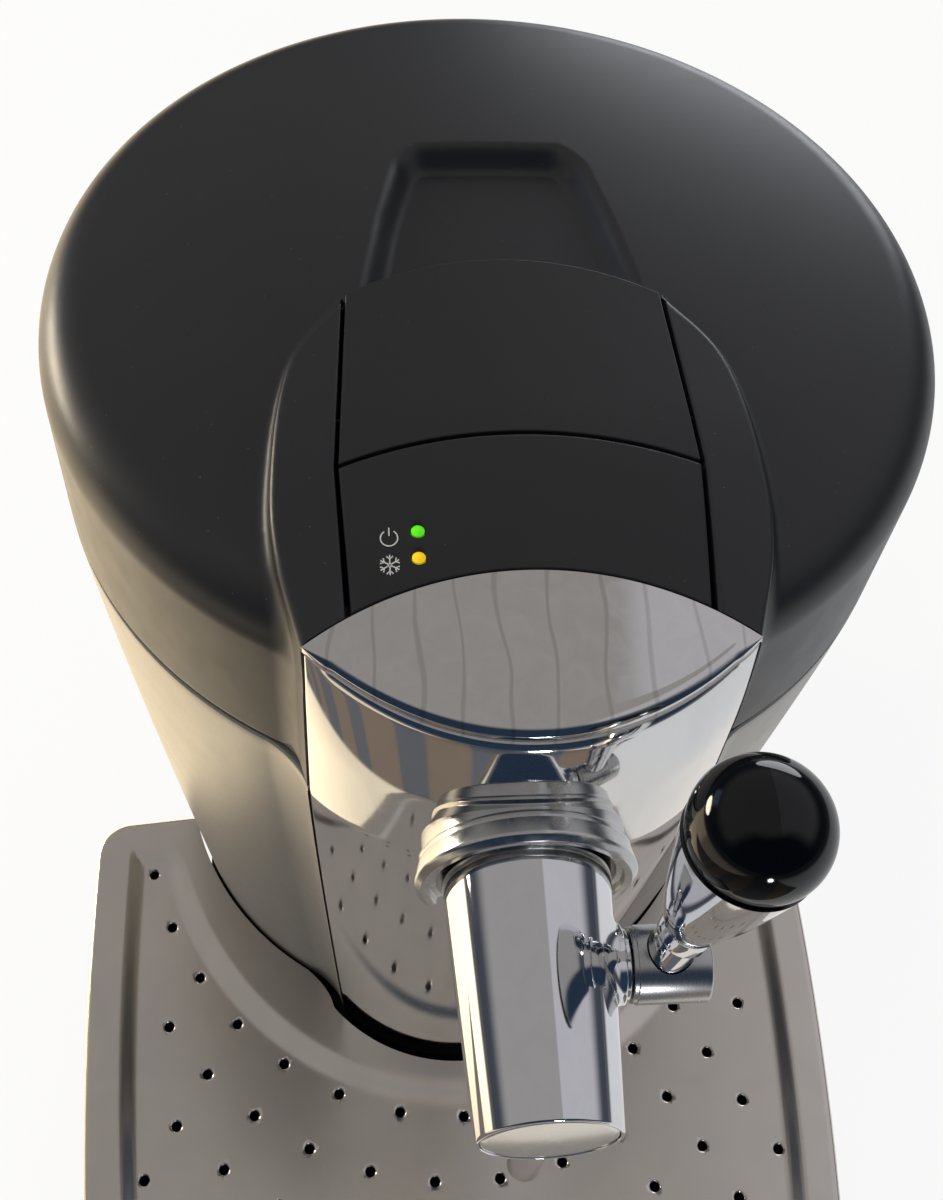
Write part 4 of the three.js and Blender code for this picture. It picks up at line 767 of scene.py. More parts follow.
def round_overlap(a: Array, b: Array, radius: Array | float) -> Array:
    """Distance to the overlap of two bodies, with its edge rounded by a radius."""
    meet = np.hypot(np.maximum(radius + a, 0), np.maximum(radius + b, 0))
    return np.minimum(-radius, np.maximum(a, b)) + meet


def smooth_line(knots: Array, steps: int) -> Array:
    """Points of the centripetal Catmull-Rom curve through the knots, the same number in each stretch.

    Args:
        knots: the points it runs through.
        steps: how many parts each stretch has.

    Returns:
        The curve's points.
    """
    padded = np.vstack([2 * knots[0] - knots[1], knots, 2 * knots[-1] - knots[-2]])
    share = np.linspace(0, 1, steps + 1)[:, None]
    line = []
    for p0, p1, p2, p3 in zip(padded[:-3], padded[1:-2], padded[2:-1], padded[3:]):
        before, within, after = (
            np.sqrt(np.linalg.norm(q - p)) for p, q in ((p0, p1), (p1, p2), (p2, p3)))
        start = ((p1 - p0) / before - (p2 - p0) / (before + within) + (p2 - p1) / within) * within
        end = ((p2 - p1) / within - (p3 - p1) / (within + after) + (p3 - p2) / after) * within
        cube, square = share ** 3, share ** 2
        points = ((2 * cube - 3 * square + 1) * p1 + (cube - 2 * square + share) * start
                  + (3 * square - 2 * cube) * p2 + (cube - square) * end)
        line.append(points[:-1])
    return np.vstack([*line, knots[-1:]])


def arc_points(centre: Sequence[float], radius: float, start: float, end: float, steps: int) -> Array:
    """Points of a circular arc between two angles in degrees."""
    angle = np.radians(np.linspace(start, end, steps + 1))
    return np.stack([centre[0] + radius * np.cos(angle), centre[1] + radius * np.sin(angle)], axis=-1)


def rounded_path(corners: Sequence[Sequence[float]], steps: int = 6) -> Array:
    """A line through corners given as (x, y, radius), each corner rounded by its radius; the ends stay.

    Args:
        corners: the corners in order.
        steps: how many parts each rounding has.

    Returns:
        The line's points.
    """
    line = [np.array(corners[0][:2], dtype=float)[None]]
    for before, (x, y, radius), after in zip(corners[:-2], corners[1:-1], corners[2:]):
        corner = np.array([x, y], dtype=float)
        if radius == 0:
            line.append(corner[None])
            continue
        a = np.array(before[:2]) - corner
        b = np.array(after[:2]) - corner
        a, b = a / np.linalg.norm(a), b / np.linalg.norm(b)
        half = math.acos(float(np.clip(a @ b, -1, 1))) / 2
        reach = radius / math.tan(half)
        middle = (a + b) / np.linalg.norm(a + b)
        centre = corner + middle * radius / math.sin(half)
        start, end = corner + a * reach - centre, corner + b * reach - centre
        share = np.linspace(0, 1, steps + 1)[:, None]
        turn = math.pi - 2 * half
        swung = np.sin((1 - share) * turn) * start + np.sin(share * turn) * end
        line.append(centre + swung / math.sin(turn))
    line.append(np.array(corners[-1][:2], dtype=float)[None])
    return np.vstack(line)


def along_line(points: Array, count: int) -> Array:
    """The same line with a number of points evenly apart.

    Args:
        points: the line's points.
        count: how many points it is to have.

    Returns:
        The new points.
    """
    lengths = np.concatenate([[0], np.cumsum(np.linalg.norm(np.diff(points, axis=0), axis=1))])
    at = np.linspace(0, lengths[-1], count)
    return np.stack([np.interp(at, lengths, points[:, axis]) for axis in range(points.shape[1])], axis=-1)


@dataclass(frozen=True)
class Axis:
    """An axis for turned pieces: a place, a direction along it and a direction square to it."""

    origin: tuple[float, float, float]
    along: tuple[float, float, float]
    side: tuple[float, float, float]

    def points(self, radius: Array, height: Array, angle: Array) -> Array:
        """Points at a radius and height, turned by an angle from the side direction.

        Args:
            radius: distances from the axis.
            height: distances along the axis.
            angle: angles in radians.

        Returns:
            The points in millimetres.
        """
        along = np.array(self.along) / np.linalg.norm(self.along)
        side = np.array(self.side) - along * (np.array(self.side) @ along)
        side /= np.linalg.norm(side)
        third = np.cross(along, side)
        radius, height, angle = (np.asarray(v, dtype=float)[..., None] for v in (radius, height, angle))
        outward = np.cos(angle) * side + np.sin(angle) * third
        return np.array(self.origin) + height * along + radius * outward


def turned(name: str, profile: Array, axis: Axis, segments: int = 72,
           sharp: float = 38.0) -> bpy.types.Object:
    """A solid of revolution: the profile's (radius, height) points carried once round the axis.

    The profile either starts and ends on the axis or is closed on itself.

    Args:
        name: the object's name.
        profile: the points in order.
        axis: the axis to turn round.
        segments: how many faces there are once round.
        sharp: edges that turn more than this, in degrees, stay sharp.

    Returns:
        The solid.
    """
    on_axis = profile[0, 0] == 0 and profile[-1, 0] == 0
    line = profile if on_axis else np.vstack([profile, profile[:1]])
    angle = np.arange(segments) * (2 * math.pi / segments)
    radius = np.repeat(line[:, :1], segments, axis=1)
    height = np.repeat(line[:, 1:], segments, axis=1)
    grid = axis.points(radius, height, np.broadcast_to(angle, radius.shape))
    return mesh_object(name, grid.reshape(-1, 3), [grid_faces(len(line), segments, 0, True)], sharp)


def prism(name: str, outline: Array, low: float, high: float) -> bpy.types.Object:
    """A closed outline in X and Z, carried along Y.

    Args:
        name: the object's name.
        outline: the closed outline's points.
        low: Y of the one end.
        high: Y of the other end.

    Returns:
        The solid.
    """
    count = len(outline)
    ends = [np.insert(outline, 1, level, axis=1) for level in (low, high)]
    numbers = np.arange(count)
    faces = [wall_faces(numbers, numbers + count, True), numbers[None], numbers[None] + count]
    return mesh_object(name, np.vstack(ends), faces)


def rounded_rectangle(half_x: float, half_z: float, radius: float, centre: Sequence[float]) -> Array:
    """Outline of a rectangle with round corners about a centre.

    Args:
        half_x: half its width.
        half_z: half its height.
        radius: radius of its corners.
        centre: its middle.

    Returns:
        The outline's points.
    """
    steps = 8
    corners = [(1, -1, -90), (1, 1, 0), (-1, 1, 90), (-1, -1, 180)]
    return np.vstack([
        arc_points((centre[0] + sx * (half_x - radius), centre[1] + sz * (half_z - radius)),
                   radius, start, start + 90, steps)
        for sx, sz, start in corners
    ])


# The machine's leading shapes


@dataclass(frozen=True)
class Drum:
    """The insulated drum: a barrel that draws in towards its foot, in millimetres."""

    top_radius: float
    seam_low: float
    seam_high: float
    foot_z: float
    foot_draw: float = 23.0
    belly_share: float = 1.14

    def draw_in(self, z: Array | float) -> Array:
        """Share of its full plan that the machine has at a height.

        Args:
            z: heights.

        Returns:
            The share at each height.
        """
        seam = (self.seam_low + self.seam_high) / 2
        fall = np.clip((seam - np.asarray(z, dtype=float)) / (seam - self.foot_z), 0, 1)
        return 1 - self.foot_draw * fall ** self.belly_share / self.top_radius


@dataclass(frozen=True)
class Dome:
    """The lid's profile from its skirt over the round edge to the middle."""

    radius: float
    shoulder_z: float = 370.0
    edge_radius: float = 18.6
    slope: float = 11.0

    @property
    def edge_r(self) -> float:
        """Radius at which the round edge is centred."""
        return self.radius - self.edge_radius

    @property
    def edge_z(self) -> float:
        """Height at which the round edge is centred."""
        return self.shoulder_z - self.edge_radius

    @property
    def start_r(self) -> float:
        """Radius at which the dome begins inside the round edge."""
        return self.edge_r + self.edge_radius * math.sin(math.radians(self.slope))

    @property
    def start_z(self) -> float:
        """Height at which the dome begins."""
        return self.edge_z + self.edge_radius * math.cos(math.radians(self.slope))

    def height(self, r: Array) -> Array:
        """Height of the dome, a parabola that leaves the round edge at its own slope."""
        rise = self.start_r * math.tan(math.radians(self.slope)) / 2
        return self.start_z + rise * (1 - (r / self.start_r) ** 2)

    def distance(self, r: Array, z: Array) -> Array:
        """Distance from the profile: to the skirt, to the arc of the edge, or to the dome.

        Args:
            r: distances from the drum's axis.
            z: heights.

        Returns:
            The distance of each point, negative within.
        """
        angle = np.degrees(np.arctan2(z - self.edge_z, r - self.edge_r))
        corner = np.hypot(r - self.edge_r, z - self.edge_z) - self.edge_radius
        slant = 2 * r * self.start_r * math.tan(math.radians(self.slope)) / 2 / self.start_r ** 2
        top = (z - self.height(r)) / np.hypot(1, slant)
        return np.where(z < self.edge_z, r - self.radius, np.where(angle < 90 - self.slope, corner, top))


@dataclass(frozen=True)
class Tower:
    """The tap tower's plan and the top surface of its head."""

    corner_half: float = 59.8
    corner_y: float = -137.5
    front_y: float = -165.0
    widest_half: float = 68.0
    widest_y: float = -86.0
    rear_half: float = 47.0
    rear_y: float = -20.0
    rear_bow: float = 13.0
    side_swell: float = 0.8
    rear_swell: float = 0.72
    rear_place: float = 0.34
    top_z: float = 384.0
    nose: float = 97.0
    nose_drop: float = 17.0
    nose_start_y: float = -62.0
    cross_crown: float = 3.2
    roll_start_z: float = 332.0
    roll_height: float = 36.0
    front_roll: float = 6.0
    corner_roll: float = 3.0

    def roll(self, z: Array | float) -> Array:
        """How far the front leans back near the rim, as a share of its full lean."""
        return (np.maximum(0, np.asarray(z, dtype=float) - self.roll_start_z) / self.roll_height) ** 2

    def corner(self, z: Array | float, scale: Array | float = 1.0) -> tuple[Array, Array]:
        """Place of the chrome's right corner at a height."""
        return self.corner_half * scale, self.corner_y * scale + self.corner_roll * self.roll(z)

    def head_top(self, x: Array, y: Array) -> Array:
        """Height of the head: level behind, dropping towards the nose, a little crowned across."""
        forward = np.maximum(0, self.nose_start_y - y) / self.nose
        return self.top_z - self.nose_drop * forward ** 2 - self.cross_crown * (x / self.widest_half) ** 2

    def side(self, z: float, steps: int = 24) -> Array:
        """The right flank's plan at a height above the seam, from the chrome corner to the back.

        Args:
            z: the height.
            steps: how many parts each stretch has.

        Returns:
            The flank's points in plan.
        """
        corner_x, corner_y = self.corner(z)
        knots = np.array([
            [corner_x, corner_y],
            [corner_x + (self.widest_half - corner_x) * self.side_swell, (corner_y + self.widest_y) / 2],
            [self.widest_half, self.widest_y],
            [self.rear_half + (self.widest_half - self.rear_half) * self.rear_swell,
             self.rear_y + (self.widest_y - self.rear_y) * self.rear_place],
            [self.rear_half, self.rear_y],
        ], dtype=float)
        return smooth_line(knots, steps)

    def front(self, z: Array, scale: Array, share: Array, inset: Array | float = 0.0) -> Array:
        """Points of the front arc, from the left corner at share -1 to the right one at share 1.

        Args:
            z: heights above the table.
            scale: share of the full plan at that height.
            share: places across, from -1 to 1.
            inset: how far inside the outer face they lie.

        Returns:
            The points in millimetres.
        """
        half, y = self.corner(z, scale)
        bow = y - (self.front_y * scale + self.front_roll * self.roll(z))
        radius = (half ** 2 + bow ** 2) / (2 * bow)
        angle = share * np.arcsin(half / radius)
        centre_y = y - bow + radius
        x = (radius - inset) * np.sin(angle)
        return np.stack(np.broadcast_arrays(x, centre_y - (radius - inset) * np.cos(angle), z), axis=-1)


@dataclass(frozen=True)
class Strip:
    """The head's middle strip of panels between its two dividing gaps."""

    cross_half: float = 50.0
    cross_y: float = -83.5
    cross_bow: float = 9.5
    cap_half: float = 47.4
    cap_bow: float = 18.0
    gap: float = 1.1
    thickness: float = 2.5


def bowed_y(x: Array, half: float, y: float, bow: float) -> Array:
    """Y of the circular arc through (-half, y), (0, y + bow) and (half, y)."""
    radius = (half ** 2 + bow ** 2) / (2 * bow)
    return y + bow - radius + np.sqrt(np.maximum(radius ** 2 - np.asarray(x, dtype=float) ** 2, 0))


@dataclass(frozen=True)
class Recess:
    """Finger recess in the dome behind the head."""

    corner_x: float = 18.5
    corner_y: float = 36.5
    corner_radius: float = 13.5
    middle_half: float = 37.5
    middle_y: float = 15.0
    front_half: float = 44.5
    front_y: float = -24.4
    depth: float = 7.5
    slope: float = 8.5

    def outline(self) -> Array:
        """The top edge's plan, drawn on towards the front so that only its sides and back slope.

        Returns:
            The outline's points in plan.
        """
        ahead = self.front_y - 4 * self.slope
        right = np.vstack([
            [[self.front_half, ahead], [self.front_half, self.front_y]],
            [[self.middle_half, self.middle_y]],
            arc_points((self.corner_x, self.corner_y), self.corner_radius, 14, 90, 10),
        ])
        left = right[::-1] * [-1, 1]
        return np.vstack([right, left])


def inside_distance(x: Array, y: Array, outline: Array) -> Array:
    """Signed distance inside a closed outline, positive within it.

    The distance is the least one to the outline's edges, and its sign comes from counting the
    edges that a line towards +X crosses.

    Args:
        x: places across.
        y: places along Y.
        outline: the closed outline's points.

    Returns:
        The distance of each point.
    """
    ends = np.roll(outline, -1, axis=0)
    least = np.full(np.shape(x), np.inf)
    inside = np.zeros(np.shape(x), dtype=bool)
    for (ax, ay), (bx, by) in zip(outline, ends):
        along = np.clip(((x - ax) * (bx - ax) + (y - ay) * (by - ay))
                        / max((bx - ax) ** 2 + (by - ay) ** 2, 1e-12), 0, 1)
        least = np.minimum(least, np.hypot(x - ax - along * (bx - ax), y - ay - along * (by - ay)))
        if ay != by:
            crossing = ((ay > y) != (by > y)) & (x < (bx - ax) * (y - ay) / (by - ay) + ax)
            inside ^= crossing
    return np.where(inside, least, -least)


SEAM_LOW = box_mm("body_shell")[1][2]
SEAM_HIGH = box_mm("lid_shell")[0][2]
DRUM = Drum(box_mm("lid_shell")[1][0], SEAM_LOW, SEAM_HIGH, box_mm("body_shell")[0][2])
DOME = Dome(DRUM.top_radius)
TOWER = Tower()
STRIP = Strip()
RECESS = Recess()
FILLET = 8.0
RIM_Z = float(TOWER.head_top(TOWER.corner_half, TOWER.corner_y))
RIM_CORNER_Y = float(TOWER.corner(RIM_Z)[1])


def strip_half(y: Array) -> Array:
    """Half the width between the dividing lines at a depth."""
    return np.interp(y, [RIM_CORNER_Y, STRIP.cross_y, TOWER.rear_y],
                     [STRIP.cap_half, STRIP.cross_half, TOWER.rear_half])


def cap_line_y(x: Array) -> Array:
    """Depth of the line between the panels and the chrome cap."""
    return bowed_y(x, TOWER.corner_half, RIM_CORNER_Y, STRIP.cap_bow)


class Plan:
    """The machine's plan in polar form about a point inside the tower.

    Every angle has one radius on the drum's circle, on the tower's flank and on the line of the
    dividing gap, so lid and body are grids over angle whose columns follow all three.
    """

    CENTRE_Y = -103.0
    ROLLED_Z = 371.0

    def __init__(self) -> None:
        """Samples the flank, at its foot and where it leans most, and the dividing gap."""
        self.flank_angle, self.flank_reach, self.flank_lean = [], [], []
        for z in (TOWER.roll_start_z, self.ROLLED_Z):
            side = TOWER.side(z)
            side = np.vstack([2 * side[0] - side[1], side, [[0, TOWER.rear_y + TOWER.rear_bow]]])
            right = self.polar(side)
            angle = np.concatenate([right[0], math.pi - right[0][::-1]])
            reach = np.concatenate([right[1], right[1][::-1]])
            self.flank_angle.append(angle)
            self.flank_reach.append(reach)
            lean = reach / np.hypot(reach, np.gradient(reach, angle + np.arange(len(angle)) * 1e-9))
            self.flank_lean.append(lean)
        depth = np.linspace(RIM_CORNER_Y - 3, TOWER.rear_y, 60)
        gap = np.stack([strip_half(depth) + STRIP.gap / 2, depth], axis=-1)
        self.gap_angle, self.gap_reach = self.polar(gap)

    def polar(self, points: Array) -> tuple[Array, Array]:
        """Angle and radius of points about the centre."""
        across, ahead = points[:, 0], points[:, 1] - self.CENTRE_Y
        return np.arctan2(ahead, across), np.hypot(across, ahead)

    def flank(self, angle: Array, z: Array) -> tuple[Array, Array]:
        """Radius of the tower's flank and the cosine between its normal and the ray.

        Args:
            angle: angles in plan, in radians.
            z: heights.

        Returns:
            The radius and the cosine for each angle.
        """
        share = TOWER.roll(z) / TOWER.roll(self.ROLLED_Z)
        straight, rolled = (np.interp(angle, a, r) for a, r in zip(self.flank_angle, self.flank_reach))
        lean = np.interp(angle, self.flank_angle[0], self.flank_lean[0])
        return straight + (rolled - straight) * share, lean

    def circle(self, angle: Array, radius: float) -> Array:
        """Radius of a circle about the drum's axis, seen from the centre."""
        along = self.CENTRE_Y * np.sin(angle)
        return -along + np.sqrt(along ** 2 + radius ** 2 - self.CENTRE_Y ** 2)

    def gap(self, angle: Array) -> Array:
        """Radius of the dividing gap's outer edge, on either side."""
        return np.interp(np.minimum(angle, math.pi - angle), self.gap_angle, self.gap_reach)

    def corner_angle(self, z: Array | float) -> Array:
        """Angle at which the chrome's right corner is seen at a height."""
        x, y = TOWER.corner(z)
        return np.arctan2(y - self.CENTRE_Y, x)

    def points(self, angle: Array, reach: Array, z: Array) -> Array:
        """Points at an angle and radius from the centre."""
        return np.stack(np.broadcast_arrays(
            reach * np.cos(angle), self.CENTRE_Y + reach * np.sin(angle), z), axis=-1)


PLAN = Plan()


# Lid


@dataclass
class LidShell:
    """The lid with the tower's head moulded on: skirt, round edge, dome, flanks and finger recess.

    Its outer face is a grid of rays from one point deep inside the machine. A ray's angle in plan
    gives the column. Along a column the rows follow the nominal section (gap, head, flank, dome,
    edge, skirt), closer together where it bends: each weight below is how much closer, and with
    it within how many millimetres. Each ray stops where the distance to the rounded shape is 0,
    found by halving.
    """

    source_z: float = 60.0
    halvings: int = 44
    wall: float = 2.2
    edge_round: float = 2.2
    gap_round: float = 0.7
    flange: float = 22.0
    bottom_round: float = 1.2
    rows: int = 190
    inner_step: int = 7
    section_steps: int = 900
    head_steps: int = 12
    dome_steps: int = 60
    hair: float = 0.05
    ray_end: float = 460.0
    flap_cover: float = 3.0
    recess_room: tuple[float, float, float] = (60.0, -60.0, 62.0)
    fillet_share: float = 0.55
    cap_gap: float = 0.35
    rim_blend: Span = (2.5, 2.0)
    over_rim: float = 4.0
    hidden_step: float = 0.5
    bend_weight: Span = (4.0, 5.0)
    start_weight: Span = (2.0, 2.0)
    strip_weight: Span = (8.0, 5.0)
    edge_weight: float = 1.2
    edge_margin: float = 3.0
    recess_weight: float = 1.6
    recess_margin: float = 2.0
    front_blend: float = math.radians(24)
    strip_fade: float = math.radians(9)
    angles: Array = field(init=False)
    strip_end: float = field(init=False)

    def __post_init__(self) -> None:
        """Spreads the columns' angles, closer together where the fillet and the recess pass."""
        stops = [math.degrees(float(PLAN.corner_angle(TOWER.roll_start_z))), -8, 46, 57, 66, 76, 90]
        right = np.radians(spaced(stops, [0.55, 1.1, 0.8, 0.28, 0.5, 0.8]))
        self.angles = np.concatenate([right, (math.pi - right[::-1])[1:]])
        self.strip_end = math.atan2(TOWER.rear_y - PLAN.CENTRE_Y, TOWER.rear_half + STRIP.gap / 2)

    def in_strip(self, angle: Array) -> Array:
        """Whether a column passes one of the head's side strips."""
        return np.minimum(angle, math.pi - angle) < self.strip_end

    def surface_height(self, x: Array, y: Array) -> Array:
        """Height of the dome with its recess.

        Args:
            x: places across.
            y: places along Y.

        Returns:
            The height of each point.
        """
        inside = inside_distance(x, y, RECESS.outline())
        sunk = RECESS.depth * smooth_step(inside / RECESS.slope)
        return DOME.height(np.hypot(x, y)) - sunk

    def distance(self, angle: Array, reach: Array, z: Array) -> Array:
        """Distance from the outer face, negative within: the dome joined to the head with a fillet.

        Args:
            angle: angles in plan, in radians.
            reach: distances from the plan's centre.
            z: heights.

        Returns:
            The distance of each point, negative within.
        """
        x = reach * np.cos(angle)
        y = PLAN.CENTRE_Y + reach * np.sin(angle)
        half, front, rear = self.recess_room
        near = (np.abs(x) < half) & (y > front) & (y < rear) & (z > DOME.edge_z)
        inside = np.full(np.shape(x), -1.0)
        inside[near] = inside_distance(x[near], y[near], RECESS.outline())
        sunk = RECESS.depth * smooth_step(inside / RECESS.slope)
        dome = DOME.distance(np.hypot(x, y), z + sunk)
        flank, lean = PLAN.flank(angle, z)
        top = z - TOWER.head_top(x, y)
        head = round_overlap((reach - flank) * lean, top, self.edge_round)
        step = TOWER.head_top(x, y) - DOME.height(np.hypot(x, y))
        fillet = np.clip(self.fillet_share * step, 0.5, FILLET)
        return np.where(self.in_strip(angle), round_union(dome, head, fillet), dome)

    def head_surface(self, angle: Array, reach: Array) -> Array:
        """Height of the head's top with its rounded outer edge.

        Args:
            angle: angles in plan, in radians.
            reach: distances from the plan's centre.

        Returns:
            The height of each point.
        """
        x, y = reach * np.cos(angle), PLAN.CENTRE_Y + reach * np.sin(angle)
        top = TOWER.head_top(x, y)
        flank, lean = PLAN.flank(angle, top)
        short = np.clip(self.edge_round - (flank - reach) * lean, 0, self.edge_round)
        return top - self.edge_round + np.sqrt(self.edge_round ** 2 - short ** 2)

    def plain_height(self, radius: float) -> float:
        """Height of the dome or of its round edge at a radius from the drum's axis.

        Args:
            radius: the distance from the drum's axis.

        Returns:
            The height.
        """
        if radius <= DOME.start_r:
            return float(DOME.height(np.array(radius)))
        if radius < DRUM.top_radius:
            return DOME.edge_z + math.sqrt(max(DOME.edge_radius ** 2 - (radius - DOME.edge_r) ** 2, 0))
        return DOME.edge_z

    def head_knots(self, angle: float) -> list[tuple[float, float]]:
        """The nominal section over a side strip: from the gap to the flank's edge and down to its foot.

        Args:
            angle: the column's angle in radians.

        Returns:
            Points as (radius, height).
        """
        flank = float(PLAN.flank(np.array(angle), np.array(RIM_Z))[0])
        start = min(float(PLAN.gap(angle)) + self.gap_round, flank - self.hair)
        top = [(r, float(self.head_surface(np.array(angle), np.array(r))))
               for r in np.linspace(start, flank - self.hair, self.head_steps)]
        foot = math.hypot(flank * math.cos(angle), PLAN.CENTRE_Y + flank * math.sin(angle))
        return [*top, (flank, self.plain_height(foot))]

    def section(self, angle: float) -> tuple[Array, Array]:
        """Nominal section of one column.

        Args:
            angle: the column's angle in radians.

        Returns:
            Its points as (radius, height), evenly apart, and the weight of each of them.
        """
        side = float(PLAN.circle(np.array(angle), DRUM.top_radius))
        if self.in_strip(np.array(angle)):
            knots = self.head_knots(angle)
            bends = [len(knots) - 2, len(knots) - 1]
            start, end = knots[-1][0], max(side, knots[-1][0])
            side = max(side, float(PLAN.flank(np.array(angle), np.array(SEAM_HIGH))[0]))
        else:
            knots, bends = [], []
            start = (RECESS.front_y - PLAN.CENTRE_Y) / math.sin(angle) + self.flap_cover
            end = max(side, start)
        for r in np.linspace(start, end, self.dome_steps)[1:]:
            radius = math.hypot(r * math.cos(angle), PLAN.CENTRE_Y + r * math.sin(angle))
            if radius < DRUM.top_radius:
                knots.append((r, self.plain_height(radius)))
        knots += [(side, DOME.edge_z), (side, SEAM_HIGH + self.bottom_round)]
        line = np.array(knots)
        lengths = np.concatenate([[0], np.cumsum(np.hypot(*np.diff(line, axis=0).T))])
        at = np.linspace(0, lengths[-1], self.section_steps)
        points = np.stack([np.interp(at, lengths, line[:, k]) for k in (0, 1)], axis=-1)
        return points, self.weights(angle, points, at, [lengths[bend] for bend in bends])

    def weights(self, angle: float, points: Array, at: Array, bends: Sequence[float]) -> Array:
        """How much closer together the rows stand at each point of a section.

        Args:
            angle: the column's angle in radians.
            points: the section's points as (radius, height).
            at: how far along the section each point is.
            bends: how far along it the sharp bends are.

        Returns:
            The weight of each point, 1 where the section is plain.
        """
        weight = np.ones(len(at))
        for bend in bends:
            weight += bell(at - bend, *self.bend_weight)
        weight += bell(at, *self.start_weight)
        x = points[:, 0] * math.cos(angle)
        y = PLAN.CENTRE_Y + points[:, 0] * math.sin(angle)
        outer = np.hypot(x, y) > DOME.edge_r - self.edge_margin
        weight += self.edge_weight * (outer & (points[:, 1] > DOME.edge_z - self.edge_margin))
        if not self.in_strip(np.array(angle)):
            past_strip = min(angle, math.pi - angle) - self.strip_end
            most, width = self.strip_weight
            weight += bell(at, most * math.exp(-(past_strip / self.strip_fade) ** 2), width)
            inside = inside_distance(x, y, RECESS.outline())
            sloped = (inside > -self.recess_margin) & (inside < RECESS.slope + self.recess_margin)
            weight += self.recess_weight * sloped
        return weight

    def rays(self) -> tuple[Array, Array, Array]:
        """Angle, radius and height where every ray meets the outer face.

        Returns:
            The three values for every row and column.
        """
        sections = np.empty((self.rows, len(self.angles), 2))
        share = np.linspace(0, 1, self.rows)
        for column, angle in enumerate(self.angles):
            line, weight = self.section(float(angle))
            total = np.concatenate([[0], np.cumsum((weight[1:] + weight[:-1]) / 2)])
            at = np.interp(share, total / total[-1], np.arange(self.section_steps))
            for k in (0, 1):
                sections[:, column, k] = np.interp(at, np.arange(self.section_steps), line[:, k])
        angle = self.sheared(sections[..., 0], sections[..., 1])
        rise = np.arctan2(sections[..., 1] - self.source_z, sections[..., 0])
        near = np.zeros_like(rise)
        far = np.full_like(rise, self.ray_end)
        for _ in range(self.halvings):
            middle = (near + far) / 2
            z = self.source_z + middle * np.sin(rise)
            outside = self.distance(angle, middle * np.cos(rise), z) > 0
            far = np.where(outside, middle, far)
            near = np.where(outside, near, middle)
        return angle, near * np.cos(rise), self.source_z + near * np.sin(rise)

    def sheared(self, reach: Array, z: Array) -> Array:
        """Column angles that end on the chrome's corner, which moves back a little towards the rim.

        On top of the head the last column follows the curved rear line of the cap instead.

        Args:
            reach: distances from the plan's centre.
            z: heights.

        Returns:
            The angle of each point.
        """
        nominal = np.broadcast_to(self.angles, reach.shape)
        across = np.linspace(strip_half(RIM_CORNER_Y) - 3, TOWER.corner_half, 40)
        cap_angle, cap_reach = PLAN.polar(np.stack([across, cap_line_y(across) + self.cap_gap], axis=-1))
        on_corner = PLAN.corner_angle(np.minimum(z, RIM_Z))
        on_cap = np.interp(reach, cap_reach, cap_angle)
        below, depth = self.rim_blend
        top_share = smooth_step((z - (RIM_Z - below)) / depth)
        wanted = on_corner + (on_cap - on_corner) * top_share - self.angles[0]
        right = smooth_step(1 - (nominal - self.angles[0]) / self.front_blend)
        left = smooth_step(1 - (self.angles[-1] - nominal) / self.front_blend)
        return nominal + wanted * right - wanted * left

    def gap_rows(self) -> Array:
        """The upright face of each dividing gap with its rounded top; behind, rows hidden by the flap.

        Returns:
            Rows of points.
        """
        quarter = np.radians([90, 60, 30])
        insets = [0, 0, 0, *(self.gap_round * (1 - np.sin(quarter)))]
        drops = [self.flange, self.flange / 2, 3.0, *(self.gap_round * np.array([1, 0.5, 0.134]))]
        rows = []
        for k, (inset, drop) in enumerate(zip(insets, drops)):
            reach = PLAN.gap(self.angles) + inset
            angle = self.sheared(reach[None], np.full((1, len(reach)), RIM_Z + self.over_rim))[0]
            flank = PLAN.flank(angle, np.full(len(reach), RIM_Z))[0]
            reach = np.minimum(PLAN.gap(angle) + inset, flank - 2 * self.hair)
            top = self.head_surface(angle, np.minimum(reach + self.gap_round - inset, flank - self.hair))
            strip = PLAN.points(angle, reach, top - drop)
            behind = (RECESS.front_y - PLAN.CENTRE_Y) / np.maximum(np.sin(angle), 0.2)
            hidden = PLAN.points(angle, behind + self.hidden_step * k, 0)
            hidden[:, 2] = self.surface_height(hidden[:, 0], hidden[:, 1])
            rows.append(np.where(self.in_strip(self.angles)[:, None], strip, hidden))
        return np.stack(rows)

    def bottom_rows(self, last: Array) -> Array:
        """The rounded lower edge of the skirt, below the last row of rays.

        Args:
            last: the last row of rays.

        Returns:
            Rows of points.
        """
        outward = last[:, :2] - np.roll(last[:, :2], 1, axis=0)
        outward[0] = last[1, :2] - last[0, :2]
        normal = np.stack([outward[:, 1], -outward[:, 0]], axis=-1)
        normal /= np.linalg.norm(normal, axis=1, keepdims=True)
        rows = []
        for angle in np.radians([30, 60, 90]):
            row = last.copy()
            row[:, :2] -= normal * self.bottom_round * (1 - math.cos(angle))
            row[:, 2] = SEAM_HIGH + self.bottom_round * (1 - math.sin(angle))
            rows.append(row)
        return np.stack(rows)

    def build(self) -> bpy.types.Object:
        """Meshes the lid as one closed body.

        Returns:
            The dressed lid shell.
        """
        rays = PLAN.points(*self.rays())
        gap = self.gap_rows()
        outer = np.concatenate([gap, rays, self.bottom_rows(rays[-1])])
        inward = normals_of(outer)
        if (inward[len(outer) // 2, len(self.angles) // 2] @ np.array([0.0, 1.0, 1.0])) > 0:
            inward = -inward
        # The inner face is coarser: it follows a few of the rows, and near both rims the ones that shape it.
        kept = [0, 2, *range(len(gap) + 3, len(outer) - 6, self.inner_step), len(outer) - 4]
        inner = outer[kept] + self.wall * inward[kept]
        inner[0, :, 2] = outer[0, :, 2]
        inner[-1, :, 2] = SEAM_HIGH
        points, faces = self.stitched(outer, inner)
        shell = mesh_object("lid_cover", points, faces, sharp=50.0)
        return dressed(shell, LID_BLACK, "lid", "lid_shell")

